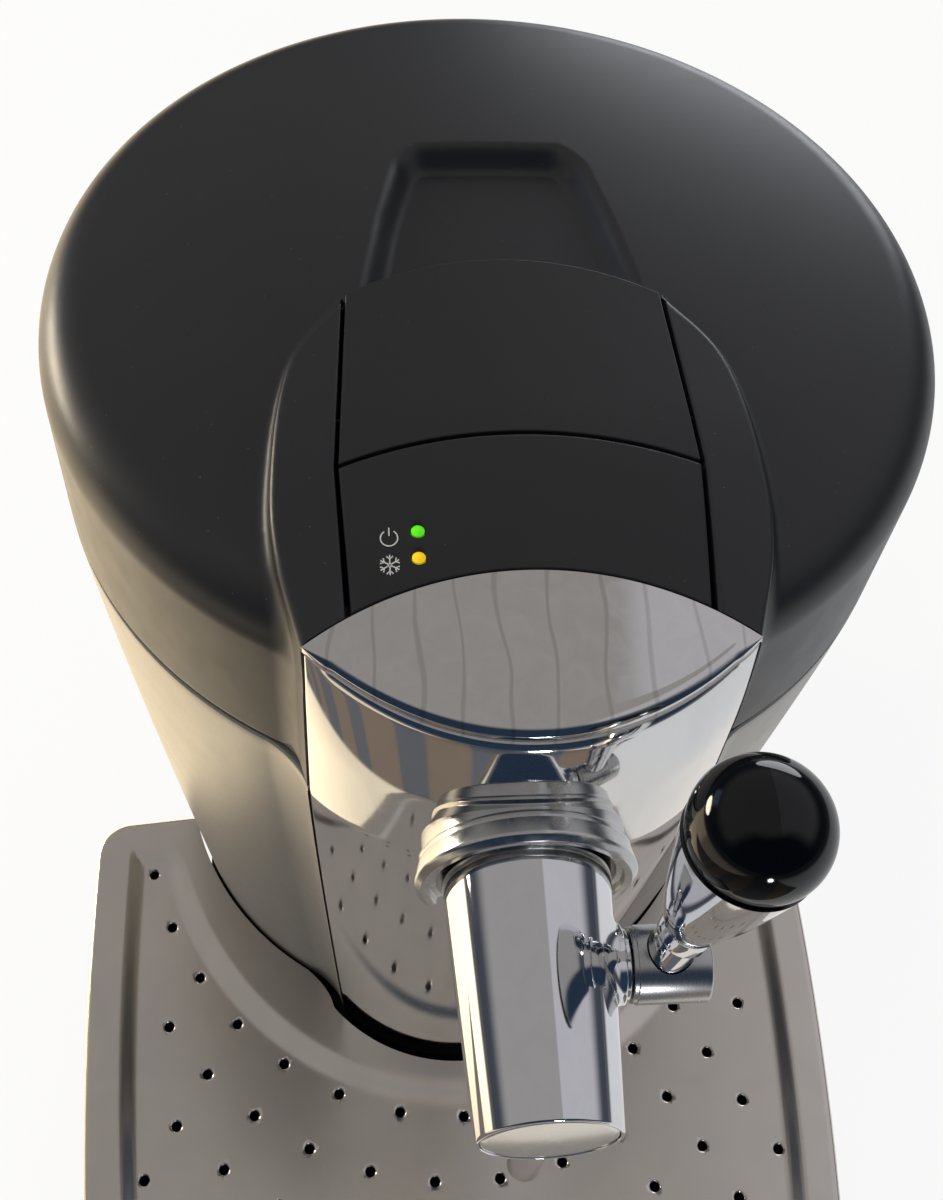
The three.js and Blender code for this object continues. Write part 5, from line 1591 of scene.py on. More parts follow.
    def stitched(self, outer: Array, inner: Array) -> tuple[Array, list[Array]]:
        """Closes a fine outer grid and a coarse inner one of equal columns into one body.

        Args:
            outer: the outer grid.
            inner: the inner grid.

        Returns:
            Its points, and its faces as arrays of corner numbers.
        """
        rows, columns = outer.shape[:2]
        inner_rows = inner.shape[0]
        count = rows * columns
        front = np.arange(count).reshape(rows, columns)
        back = count + np.arange(inner_rows * columns).reshape(inner_rows, columns)
        faces = [
            grid_faces(rows, columns),
            grid_faces(inner_rows, columns, count)[:, ::-1],
            wall_faces(front[0], back[0]),
            wall_faces(back[-1], front[-1]),
        ]
        points = np.concatenate([outer.reshape(-1, 3), inner.reshape(-1, 3)])
        for side, column in ((1, 0), (-1, columns - 1)):
            end = np.concatenate([front[:, column], back[::-1, column]])[::side]
            faces.append(end[None])
        return points, faces


# Head panels


@dataclass(frozen=True)
class Panel:
    """One panel of the head's middle strip: a plate that follows the head between two bowed edges."""

    name: str
    front: Line
    rear: Line
    front_half: float
    rear_half: float
    edge: float = 0.55

    def build(self, columns: int = 72, rows: int = 48) -> bpy.types.Object:
        """A grid over the plan, lifted to the head's height, with a copy below it as the underside.

        Args:
            columns: points across.
            rows: points from front to rear.

        Returns:
            The plate.
        """
        across, along = np.meshgrid(np.linspace(-1, 1, columns), np.linspace(0, 1, rows))
        x_front, x_rear = across * self.front_half, across * self.rear_half
        y = self.front(x_front) * (1 - along) + self.rear(x_rear) * along
        x = x_front * (1 - along) + x_rear * along
        top = np.stack([x, y, TOWER.head_top(x, y)], axis=-1)
        under = top - [0, 0, STRIP.thickness]
        points, faces = closed_between(top, under)
        return softened(mesh_object(self.name, points, faces), self.edge)


@dataclass(frozen=True)
class Lamp:
    """A small lamp in the lower panel."""

    name: str
    node: str
    y: float
    finish: Finish
    x: float = -29.0
    radius: float = 1.8
    ring: float = 0.35
    dome: float = 0.55
    sunk: float = 0.25

    def axis(self) -> Axis:
        """The upright axis through the lamp, from the head's top."""
        z = float(TOWER.head_top(np.array(self.x), np.array(self.y)))
        return Axis((self.x, self.y, z), (0, 0, 1), (1, 0, 0))


@dataclass(frozen=True)
class HeadPanels:
    """The tube flap, the lower panel with its lamps and printed signs, and the chrome cap."""

    lamps: tuple[Lamp, ...] = (
        Lamp("power_lens", "lamp_power", -104.0, LENS_GREEN),
        Lamp("cooling_lens", "lamp_cooling", -111.6, LENS_YELLOW),
    )
    roll_radius: float = 5.2
    roll_share: float = 0.45
    cap_drop: float = 2.3
    sign_x: float = -36.6
    sign_drop: float = 1.9
    power_radius: float = 2.25
    power_arc: Span = (122.0, 418.0)
    print_lift: float = 0.06
    stroke_width: float = 0.34
    settlings: int = 24
    cap_span: float = 0.999
    cap_columns: int = 121
    cap_rows: int = 40
    roll_rows: int = 14
    cap_rear_gap: float = 0.15
    cap_wall: float = 2.6
    point_wall: float = 0.02

    def cross_line(self, shift: float) -> Line:
        """The bowed line between the two panels, moved by a shift along Y."""
        return lambda x: bowed_y(x, STRIP.cross_half, STRIP.cross_y + shift, STRIP.cross_bow)

    def build(self) -> None:
        """Builds all the pieces of the middle strip."""
        half_gap = STRIP.gap / 2
        flap = Panel(
            "upper_panel", self.cross_line(half_gap),
            lambda x: bowed_y(x, TOWER.rear_half, TOWER.rear_y - half_gap, TOWER.rear_bow),
            STRIP.cross_half - half_gap, TOWER.rear_half - half_gap,
        )
        dressed(flap.build(), PANEL_BLACK, "tube_flap", "tube_flap")
        control = Panel(
            "lower_panel", lambda x: cap_line_y(x) + 0.3, self.cross_line(-half_gap),
            STRIP.cap_half - half_gap, STRIP.cross_half - half_gap,
        )
        panel = control.build()
        applied(panel)
        carved(panel, *(self.lamp_hole(lamp) for lamp in self.lamps))
        dressed(panel, PANEL_BLACK, "machine", "control_panel")
        for lamp in self.lamps:
            self.lamp(lamp)
        self.signs()
        self.cap()

    def lamp_hole(self, lamp: Lamp) -> bpy.types.Object:
        """The body to cut out for a lamp, with a chamfered mouth.

        Args:
            lamp: the lamp.

        Returns:
            The body to cut out.
        """
        radius = lamp.radius + lamp.ring
        profile = np.array([[0, -6], [radius, -6], [radius, -0.35], [radius + 0.9, 0.55], [0, 0.55]])
        return turned(f"{lamp.name}_hole", profile, lamp.axis(), 32)

    def lamp(self, lamp: Lamp) -> None:
        """A lens: a short rod with a domed end.

        Args:
            lamp: the lamp.
        """
        foot = box_mm(lamp.node)[0][2] - lamp.axis().origin[2]
        dome = lamp.dome * (1 - np.linspace(1, 0, 7) ** 2)
        rim = lamp.radius * np.linspace(1, 0, 7)
        profile = np.vstack([[[0, foot], [lamp.radius, foot]],
                             np.stack([rim, dome - lamp.sunk], axis=-1)])
        dressed(turned(lamp.name, profile, lamp.axis(), 36), lamp.finish, "machine", lamp.node)

    def stroke(self, line: Array) -> tuple[Array, list[Array]]:
        """A printed stroke along a plan line, a hair above and below the panel's top.

        Args:
            line: the line's points in plan.

        Returns:
            Its points, and its faces as arrays of corner numbers.
        """
        way = np.vstack([line[1:], line[-1:]]) - np.vstack([line[:1], line[:-1]])
        way /= np.linalg.norm(way, axis=1, keepdims=True)
        side = np.stack([-way[:, 1], way[:, 0]], axis=-1) * self.stroke_width / 2
        grid = np.stack([line - side, line + side])
        height = TOWER.head_top(grid[..., 0], grid[..., 1])
        top = np.concatenate([grid, (height + self.print_lift)[..., None]], axis=-1)
        under = np.concatenate([grid, (height - self.print_lift)[..., None]], axis=-1)
        return closed_between(top, under)

    def signs(self) -> None:
        """The two printed signs beside the lamps: a power sign and a snowflake with six barbed arms."""
        spots = [np.array([self.sign_x, lamp.y - self.sign_drop]) for lamp in self.lamps]
        ring = arc_points((0, 0), self.power_radius, *self.power_arc, 40) + spots[0]
        bar = np.array([[0, 0.6], [0, 3.0]]) + spots[0]
        self.printed("power_sign", [ring, bar])
        arms = []
        for turn in np.radians(np.arange(6) * 60 + 90):
            way = np.array([math.cos(turn), math.sin(turn)])
            side = np.array([-way[1], way[0]])
            arms.append(np.array([way * 0.25, way * 2.8]) + spots[1])
            barb = np.array([way * 2.45 + side * 0.85, way * 1.65, way * 2.45 - side * 0.85])
            arms.append(barb + spots[1])
        self.printed("cooling_sign", arms)

    def printed(self, name: str, lines: Sequence[Array]) -> None:
        """Joins strokes into one printed sign.

        Args:
            name: the sign's name.
            lines: the strokes' lines in plan.
        """
        points, faces, start = [], [], 0
        for line in lines:
            stroke_points, stroke_faces = self.stroke(line)
            points.append(stroke_points)
            faces += [face + start for face in stroke_faces]
            start += len(stroke_points)
        sign = mesh_object(name, np.concatenate(points), faces)
        dressed(sign, PRINT, "machine")

    def rim_roll(self, rim: Array) -> Array:
        """Radius of the rolled edge between the chrome front and the cap at each place of the rim."""
        depth = np.maximum(cap_line_y(rim[:, 0]) - rim[:, 1], 1e-4)
        return np.minimum(self.roll_radius, self.roll_share * depth + self.point_wall)

    def rim(self, share: Array) -> Array:
        """Points where the chrome front meets the head's top, found by settling the height.

        Args:
            share: places across, from -1 to 1.

        Returns:
            The points in millimetres.
        """
        z = np.full(np.shape(share), RIM_Z)
        for _ in range(self.settlings):
            spot = TOWER.front(z, 1.0, share)
            z = TOWER.head_top(spot[..., 0], spot[..., 1])
        return TOWER.front(z, 1.0, share)

    def cap(self) -> None:
        """The chrome lens on the rim: rows run from its bowed rear line to the rounded front edge.

        Towards the front the surface rolls over by part of a circle, which the chrome front below
        it carries on. Its radius shrinks to nothing at the two points of the lens.
        """
        share = np.sin(np.linspace(-self.cap_span, self.cap_span, self.cap_columns) * math.pi / 2)
        rim = self.rim(share)
        rear_y = cap_line_y(rim[:, 0]) - self.cap_rear_gap
        roll = self.rim_roll(rim)
        last = np.arccos(np.clip(1 - self.cap_drop / roll, 0, 1))
        along = np.concatenate([np.linspace(0, 1, self.cap_rows), np.full(self.roll_rows, 1.0)])
        turn = np.concatenate([np.zeros(self.cap_rows), np.linspace(0, 1, self.roll_rows + 1)[1:]])
        turn = turn[:, None] * last[None]
        y = rear_y[None] + (rim[None, :, 1] + roll - rear_y[None]) * along[:, None]
        y = y - roll[None] * np.sin(turn)
        x = np.broadcast_to(rim[None, :, 0], y.shape)
        top = TOWER.head_top(x, np.maximum(y, (rim[None, :, 1] + roll)))
        top = top - roll[None] * (1 - np.cos(turn))
        under = np.minimum(TOWER.head_top(x, y) - self.cap_wall, top - self.point_wall)
        points, faces = closed_between(np.stack([x, y, top], axis=-1), np.stack([x, y, under], axis=-1))
        dressed(mesh_object("chrome_cap", points, faces, sharp=60.0), CAP_CHROME, "machine", "tower_cap")


# Body


@dataclass(frozen=True)
class Body:
    """The lacquered drum with the tower's flanks moulded on, and the chrome front between them."""

    rim_round: float = 0.8
    front_wall: float = 2.2
    rim_joint: float = 0.12
    seam_shadow: float = 1.2
    front_half_arc: float = 67.0
    side_round: float = 1.7
    wall: float = 3.0
    wall_rows: int = 56
    front_columns: int = 129
    front_rows: tuple[tuple[float, float, int], ...] = ((0.0, 0.7, 48), (0.7, 0.975, 50), (0.975, 1.0, 14))
    ray_end: float = 300.0
    head_end: float = math.radians(50)
    window_gap: float = 0.3

    def build(self) -> None:
        """Builds the shell and the chrome front."""
        self.shell()
        self.chrome_front()

    def outline(self) -> Array:
        """The full plan from the right chrome corner round the back to the left one.

        It is the drum's circle joined to the tower's flank with the same fillet as the lid's.

        Returns:
            The outline's points in plan.
        """
        start = float(PLAN.corner_angle(TOWER.roll_start_z))
        right = np.radians(spaced([math.degrees(start), -29.2, -8, 90], [0.4, 0.5, 1.2]))
        angle = np.concatenate([right, (math.pi - right[::-1])[1:]])
        flank, lean = PLAN.flank(angle, np.full_like(angle, SEAM_LOW))
        near, far = np.zeros_like(angle), np.full_like(angle, self.ray_end)
        head = self.head_part(angle)
        for _ in range(LidShell.halvings):
            middle = (near + far) / 2
            x, y = middle * np.cos(angle), PLAN.CENTRE_Y + middle * np.sin(angle)
            drum = np.hypot(x, y) - DRUM.top_radius
            tower = (middle - flank) * lean
            joined = np.where(head, round_union(drum, tower, FILLET), drum)
            far = np.where(joined > 0, middle, far)
            near = np.where(joined > 0, near, middle)
        return np.stack([near * np.cos(angle), PLAN.CENTRE_Y + near * np.sin(angle)], axis=-1)

    def head_part(self, angle: Array) -> Array:
        """Whether the tower's flank stands at an angle; behind it the drum's circle is alone."""
        return np.minimum(angle, math.pi - angle) < self.head_end

    def shell(self) -> None:
        """The outline drawn in towards the foot, as a wall with rounded rims and windows at the back."""
        line = self.outline()
        r, rows = self.rim_round, self.wall_rows
        low, high = DRUM.foot_z, SEAM_LOW - self.seam_shadow
        lower, upper = np.radians([0, 30, 60]), np.radians([30, 60, 90])
        z = np.concatenate([low + r * (1 - np.cos(lower)), np.linspace(low + r, high - r, rows),
                            high - r * (1 - np.sin(upper))])
        inset = np.concatenate([r * (1 - np.sin(lower)), np.zeros(rows), r * (1 - np.cos(upper))])
        scale = DRUM.draw_in(z)
        reach = np.linalg.norm(line, axis=1)
        outer = np.empty((len(z), len(line), 3))
        shrink = scale[:, None] - inset[:, None] / reach[None]
        outer[..., :2] = line[None] * shrink[..., None]
        outer[..., 2] = z[:, None]
        thin = scale[:, None] - self.wall / reach[None]
        inner = outer.copy()
        inner[..., :2] = line[None] * thin[..., None]
        shell = mesh_object("body_cover", *closed_between(outer, inner), sharp=50.0)
        windows = (self.window("grille_window", "rear_grille", 8.3),
                   self.window("service_window", "service_panel", 3.3))
        carved(shell, *windows, sharp=40.0)
        dressed(shell, GRAPHITE, "machine", "body_shell")

    def window(self, name: str, node: str, radius: float) -> bpy.types.Object:
        """The body to cut out behind, round a piece that stands in the wall.

        Args:
            name: the body's name.
            node: the CAD node.
            radius: radius of the window's corners.

        Returns:
            The body to cut out.
        """
        low, high = box_mm(node)
        half, centre = (high - low) / 2 + self.window_gap, (high + low) / 2
        outline = rounded_rectangle(half[0], half[2], radius, (centre[0], centre[2]))
        return prism(name, outline, 60, DRUM.top_radius + 20)

    def chrome_front(self) -> None:
        """The bright sheet in front: its arc in plan, drawn in towards the foot and rolled at the rim.

        Rows run from the foot to the rim's own height at each place across.
        """
        share = np.sin(np.linspace(-1, 1, self.front_columns) * math.pi / 2)
        panels = HeadPanels()
        rim = panels.rim(share)
        roll = panels.rim_roll(rim)
        parts = [np.linspace(low, high, count)[1:] for low, high, count in self.front_rows]
        along = np.concatenate([[0.0], *parts])
        top = rim[:, 2] - panels.cap_drop - self.rim_joint
        z = DRUM.foot_z + (top[None] - DRUM.foot_z) * along[:, None]
        drop = np.clip(rim[None, :, 2] - z, 0, roll[None])
        rolled = roll[None] - np.sqrt(np.maximum(roll[None] ** 2 - (roll[None] - drop) ** 2, 0))
        scale = DRUM.draw_in(z)
        across = np.broadcast_to(share, z.shape)
        to_side = (1 - np.abs(share)) * self.front_half_arc
        short = np.clip(self.side_round - to_side, 0, self.side_round)
        turned_in = self.side_round - np.sqrt(self.side_round ** 2 - short ** 2)
        outer = TOWER.front(z, scale, across, turned_in[None])
        inner = TOWER.front(z, scale, across, self.front_wall)
        outer[..., 1] += rolled
        inner[..., 1] += rolled
        sheet = softened(mesh_object("chrome_front", *closed_between(outer, inner), sharp=60.0), 0.35, 2, 50)
        dressed(sheet, TOWER_CHROME, "machine", "tower_front")


# Tap and lever


@dataclass(frozen=True)
class Tap:
    """Barrel with its side boss, end cap, collar and spout."""

    axis_z: float = 312.0
    root_y: float = -165.3
    end_y: float = -241.5
    root_radius: float = 23.8
    end_radius: float = 18.8
    bore_radius: float = 15.3
    cap_radius: float = 17.5
    boss_y: float = -198.0
    boss_radius: float = 10.9
    boss_end_x: float = 23.2
    boss_fillet: float = 3.2
    boss_lip: float = 0.7
    bush_radius: float = 9.4
    bush_gap: float = 0.2
    bush_end_x: float = 24.5
    shaft_bore: float = 4.1
    spout_y: float = -232.5
    spout_seat: float = 5.3
    spigot_radius: float = 18.0
    spigot_length: float = 14.0
    cap_gap: float = 0.12
    cap_seat: float = 3.1
    collar_corners: tuple[tuple[float, float, float], ...] = (
        (24.6, 138.0, 0.0), (28.2, 138.0, 0.0), (28.2, 165.6, 0.5), (29.4, 166.4, 0.4),
        (29.5, 167.3, 0.3), (29.5, 168.0, 0.3), (30.9, 173.2, 1.3), (28.9, 174.9, 0.6),
        (26.7, 174.7, 0.3), (26.5, 172.9, 0.3), (24.6, 172.6, 0.3), (24.6, 138.0, 0.0),
    )
    collar_droop: Span = (9.0, 25.0)
    collar_band_y: float = 166.6
    collar_columns: int = 121
    forward: Axis = Axis((0.0, 0.0, axis_z), (0, -1, 0), (1, 0, 0))
    sideways: Axis = Axis((0.0, boss_y, axis_z), (1, 0, 0), (0, 0, 1))

    def build(self) -> None:
        """Builds the fixed pieces of the tap."""
        self.barrel()
        self.boss()
        self.end_cap()
        self.collar()
        self.bush()
        self.spout()

    def cone_radius(self, along: Array) -> Array:
        """Radius of the barrel's cone at a distance along its axis."""
        slope = (self.end_radius - self.root_radius) / (self.root_y - self.end_y)
        return self.root_radius + slope * (along + self.root_y)

    def barrel(self) -> None:
        """A turned wall: spigot, cone, rounded mouth with the cap's seat, and bore."""
        root, end = -self.root_y, -self.end_y
        back, seat = root - self.spigot_length, end - self.cap_seat
        mouth = self.cap_radius + self.cap_gap
        profile = rounded_path([
            (self.bore_radius, back, 0), (self.spigot_radius, back, 0), (self.spigot_radius, root, 0),
            (self.root_radius, root, 0.4), (self.end_radius, end, 0.75), (mouth, end, 0.2),
            (mouth, seat, 0), (self.bore_radius, seat, 0),
        ], 6)
        barrel = turned("tap_body", profile, self.forward, 128, sharp=48.0)
        around = self.bush_radius + self.bush_gap
        hole = turned("bush_hole", np.array([[0, 6], [around, 6], [around, 32], [0, 32]]), self.sideways, 64)
        pin = np.array([[0, -60], [self.spout_seat, -60], [self.spout_seat, 0], [0, 0]])
        upright = Axis((0, self.spout_y, self.axis_z), (0, 0, 1), (1, 0, 0))
        spout_hole = turned("spout_hole", pin, upright, 40)
        carved(barrel, hole, spout_hole, sharp=48.0)
        dressed(barrel, CHROME, "machine", "tap_barrel")

    def cone_side(self, radius: Array, angle: Array) -> Array:
        """X of the barrel's side at a radius and angle round the lever's axis.

        Args:
            radius: distances from the lever's axis.
            angle: angles round it from the upward direction, in radians.

        Returns:
            X of each point.
        """
        up, ahead = radius * np.cos(angle), radius * np.sin(angle)
        reach = self.cone_radius(ahead - self.boss_y)
        return np.sqrt(reach ** 2 - up ** 2)

    def boss(self) -> None:
        """The boss for the lever's bearing, which flows out of the barrel's side.

        At each angle round the lever's axis a quarter of an ellipse leaves the barrel's own
        surface, turns along the boss, and ends in a small rounding at its mouth.
        """
        angle = np.arange(120) * (2 * math.pi / 120)
        level = np.zeros_like(angle)
        turn = np.linspace(0, math.pi / 2, 13)[:, None]
        fillet, lip = self.boss_fillet, self.boss_lip
        reach = self.boss_radius + fillet * (1 - np.sin(turn)) + level
        start = self.cone_side(reach, angle[None])
        room = np.minimum(fillet, 0.6 * (self.boss_end_x - self.cone_side(self.boss_radius + level, angle)))
        side = start + room * (1 - np.cos(turn)) - 0.01
        quarter = np.radians(np.linspace(0, 90, 6))[:, None]
        end_reach = self.boss_radius - lip * (1 - np.cos(quarter)) + level
        end_x = self.boss_end_x - lip * (1 - np.sin(quarter)) + level
        inside = self.bush_radius + self.bush_gap
        hidden_x = self.cone_side(inside + level, angle) - 4
        deep = self.cone_side(reach[0], angle) - 2.5
        radius = np.vstack([reach, end_reach, np.full((2, len(angle)), inside), reach[:1], reach[:1]])
        along = np.vstack([side, end_x, end_x[-1:], hidden_x[None], deep[None], side[:1]])
        grid = self.sideways.points(radius, along, np.broadcast_to(angle, radius.shape))
        boss = mesh_object("tap_boss", grid.reshape(-1, 3), [grid_faces(*radius.shape, 0, True)], sharp=50.0)
        dressed(boss, CHROME, "machine")

    def end_cap(self) -> None:
        """A slightly domed disc."""
        face = -self.end_y - 0.25
        edge = self.cap_radius
        dome = 0.7 * (1 - np.linspace(1, 0, 14) ** 2)
        profile = np.vstack([
            [[0, face - 2.6], [edge, face - 2.6], [edge, face - 0.6], [edge - 0.12, face - 0.2]],
            np.stack([np.linspace(edge - 0.45, 0, 14), face + dome], axis=-1),
        ])
        dressed(turned("end_disc", profile, self.forward, 96), CAST, "machine", "barrel_end_cap")

    def collar(self) -> None:
        """The cast collar: a profile carried over the barrel, whose front band hangs lower at its ends.

        A plain rear ring ends in a narrow ridge, from which a wider conical band runs to a
        thin lip. The end angle grows with the distance along the axis, so that the band's tips
        hang below the ring's.
        """
        profile = rounded_path(self.collar_corners, 6)
        ring, band = self.collar_droop
        droop = np.radians(ring + (band - ring) * smooth_step(profile[:, 1] - self.collar_band_y))
        share = np.linspace(0, 1, self.collar_columns)
        angle = -droop[:, None] + (math.pi + 2 * droop[:, None]) * share[None]
        radius = np.repeat(profile[:, :1], len(share), axis=1)
        height = np.repeat(profile[:, 1:], len(share), axis=1)
        grid = self.forward.points(radius, height, angle)
        rows, columns = radius.shape
        numbers = np.arange(rows * columns).reshape(rows, columns)
        faces = [grid_faces(rows, columns), numbers[:-1, 0][None], numbers[:-1, -1][::-1][None]]
        collar = mesh_object("tap_ring", grid.reshape(-1, 3), faces, sharp=44.0)
        dressed(collar, COLLAR_CAST, "machine", "tap_collar")

    def bush(self) -> None:
        """The lever's bearing ring, seen in the end of the boss."""
        bore, end = self.shaft_bore, self.bush_end_x
        profile = rounded_path([(bore, 12.0, 0), (self.bush_radius, 12.0, 0), (self.bush_radius, end, 0.5),
                                (bore, end, 0)], 4)
        dressed(turned("lever_bearing", profile, self.sideways, 64), CHROME, "machine", "lever_bush")

    def spout(self) -> None:
        """The short tube that pours down, with a rounded lip."""
        low, high = box_mm("spout")
        base = low[2]
        tip = arc_points((4.2, base + 0.8), 0.8, -180, 0, 8)
        profile = np.vstack([tip, [[5.0, high[2]], [3.4, high[2]]]])
        axis = Axis((0.0, self.spout_y, 0.0), (0, 0, 1), (1, 0, 0))
        dressed(turned("pouring_tube", profile, axis, 56), CAST, "machine", "spout")


@dataclass
class Lever:
    """The swinging lever: hub, stem, flared ferrule and ball."""

    lean_out: float = 8.6
    lean_back: float = 3.0
    stem_x: float = 33.5
    hub_start_x: float = 25.0
    hub_end_x: float = 45.8
    shaft_end_x: float = 40.3
    hub_radius: float = 10.3
    stem_radius: float = 6.1
    knob_radius: float = 17.5
    knob_height: float = 76.0
    cup_top: float = 69.0
    cup_radius: float = 17.0
    neck_radius: float = 7.2
    neck_start: float = 20.0
    neck_end: float = 27.0
    stem_start: float = 4.0
    stem_end: float = 30.0
    stem_gap: float = 0.28
    press_gap: float = 0.15
    shaft_seat: float = 4.4
    flare_share: float = 0.75
    axis: Axis = field(init=False)

    def __post_init__(self) -> None:
        """Leans the stem's axis outwards and a little towards the drum."""
        lean = Matrix.Rotation(math.radians(self.lean_out), 3, "Y") @ Matrix.Rotation(
            -math.radians(self.lean_back), 3, "X")
        self.axis = Axis((self.stem_x, Tap.boss_y, Tap.axis_z),
                         tuple(lean @ Vector((0, 0, 1))), tuple(lean @ Vector((1, 0, 0))))

    def build(self) -> None:
        """Builds the lever's four pieces."""
        self.hub()
        stem = rounded_path([(0, self.stem_start, 0), (self.stem_radius, self.stem_start, 0),
                             (self.stem_radius, self.stem_end, 0.4), (0, self.stem_end, 0)], 3)
        dressed(turned("lever_rod", stem, self.axis, 64), CHROME, "tap_lever", "lever_stem")
        self.ferrule()
        self.knob()

    def hub(self) -> None:
        """The hub: a drum across the axis with a groove at its inner end and a saddle for the stem."""
        radius = self.hub_radius
        profile = rounded_path([
            (0, self.shaft_end_x, 0), (self.shaft_seat, self.shaft_end_x, 0),
            (self.shaft_seat, self.hub_start_x, 0),
            (radius - 0.4, self.hub_start_x, 0.3), (radius - 0.4, self.hub_start_x + 1.2, 0.1),
            (radius, self.hub_start_x + 1.3, 0.2), (radius, self.hub_end_x, 0.9), (0, self.hub_end_x, 0),
        ], 5)
        hub = turned("lever_drum", profile, Tap.sideways, 84)
        around = self.stem_radius + self.stem_gap
        pin = np.array([[0, 3.7], [around, 3.7], [around, 16.0], [0, 16.0]])
        hole = turned("stem_hole", pin, self.axis, 56)
        carved(hub, hole)
        softened(hub, 0.35, 2, 40)
        dressed(hub, BRUSHED, "tap_lever", "lever_hub")

    def ferrule(self) -> None:
        """A lathe profile: a collar at the neck, then a flare that holds the ball like an egg cup."""
        share = np.linspace(0, 1, 36)
        flare = np.stack([
            self.neck_radius + (self.cup_radius - self.neck_radius) * share ** self.flare_share,
            self.neck_end + (self.cup_top - self.neck_end) * share,
        ], axis=-1)
        seat_radius = self.knob_radius + self.press_gap
        start = math.degrees(math.asin((self.cup_top - self.knob_height) / seat_radius))
        seat = arc_points((0, self.knob_height), seat_radius, start, -90, 16)
        bore, bore_end = self.stem_radius + self.press_gap, self.stem_end + 0.3
        neck = rounded_path([(bore, bore_end, 0), (bore, self.neck_start, 0),
                             (self.neck_radius, self.neck_start, 0.5), (self.neck_radius, 24.5, 0),
                             (self.neck_radius, 26.0, 0)], 4)
        seat[-1, 0] = 0
        profile = np.vstack([[[0, bore_end]], neck, flare, seat])
        piece = turned("lever_cup", profile, self.axis, 84, sharp=50.0)
        dressed(piece, CHROME, "tap_lever", "lever_ferrule")

    def knob(self) -> None:
        """The glossy ball."""
        ball = arc_points((0, self.knob_height), self.knob_radius, -90, 90, 64)
        ball[[0, -1], 0] = 0
        dressed(turned("lever_ball", ball, self.axis, 112), KNOB_BLACK, "tap_lever", "lever_knob")


# Drip tray


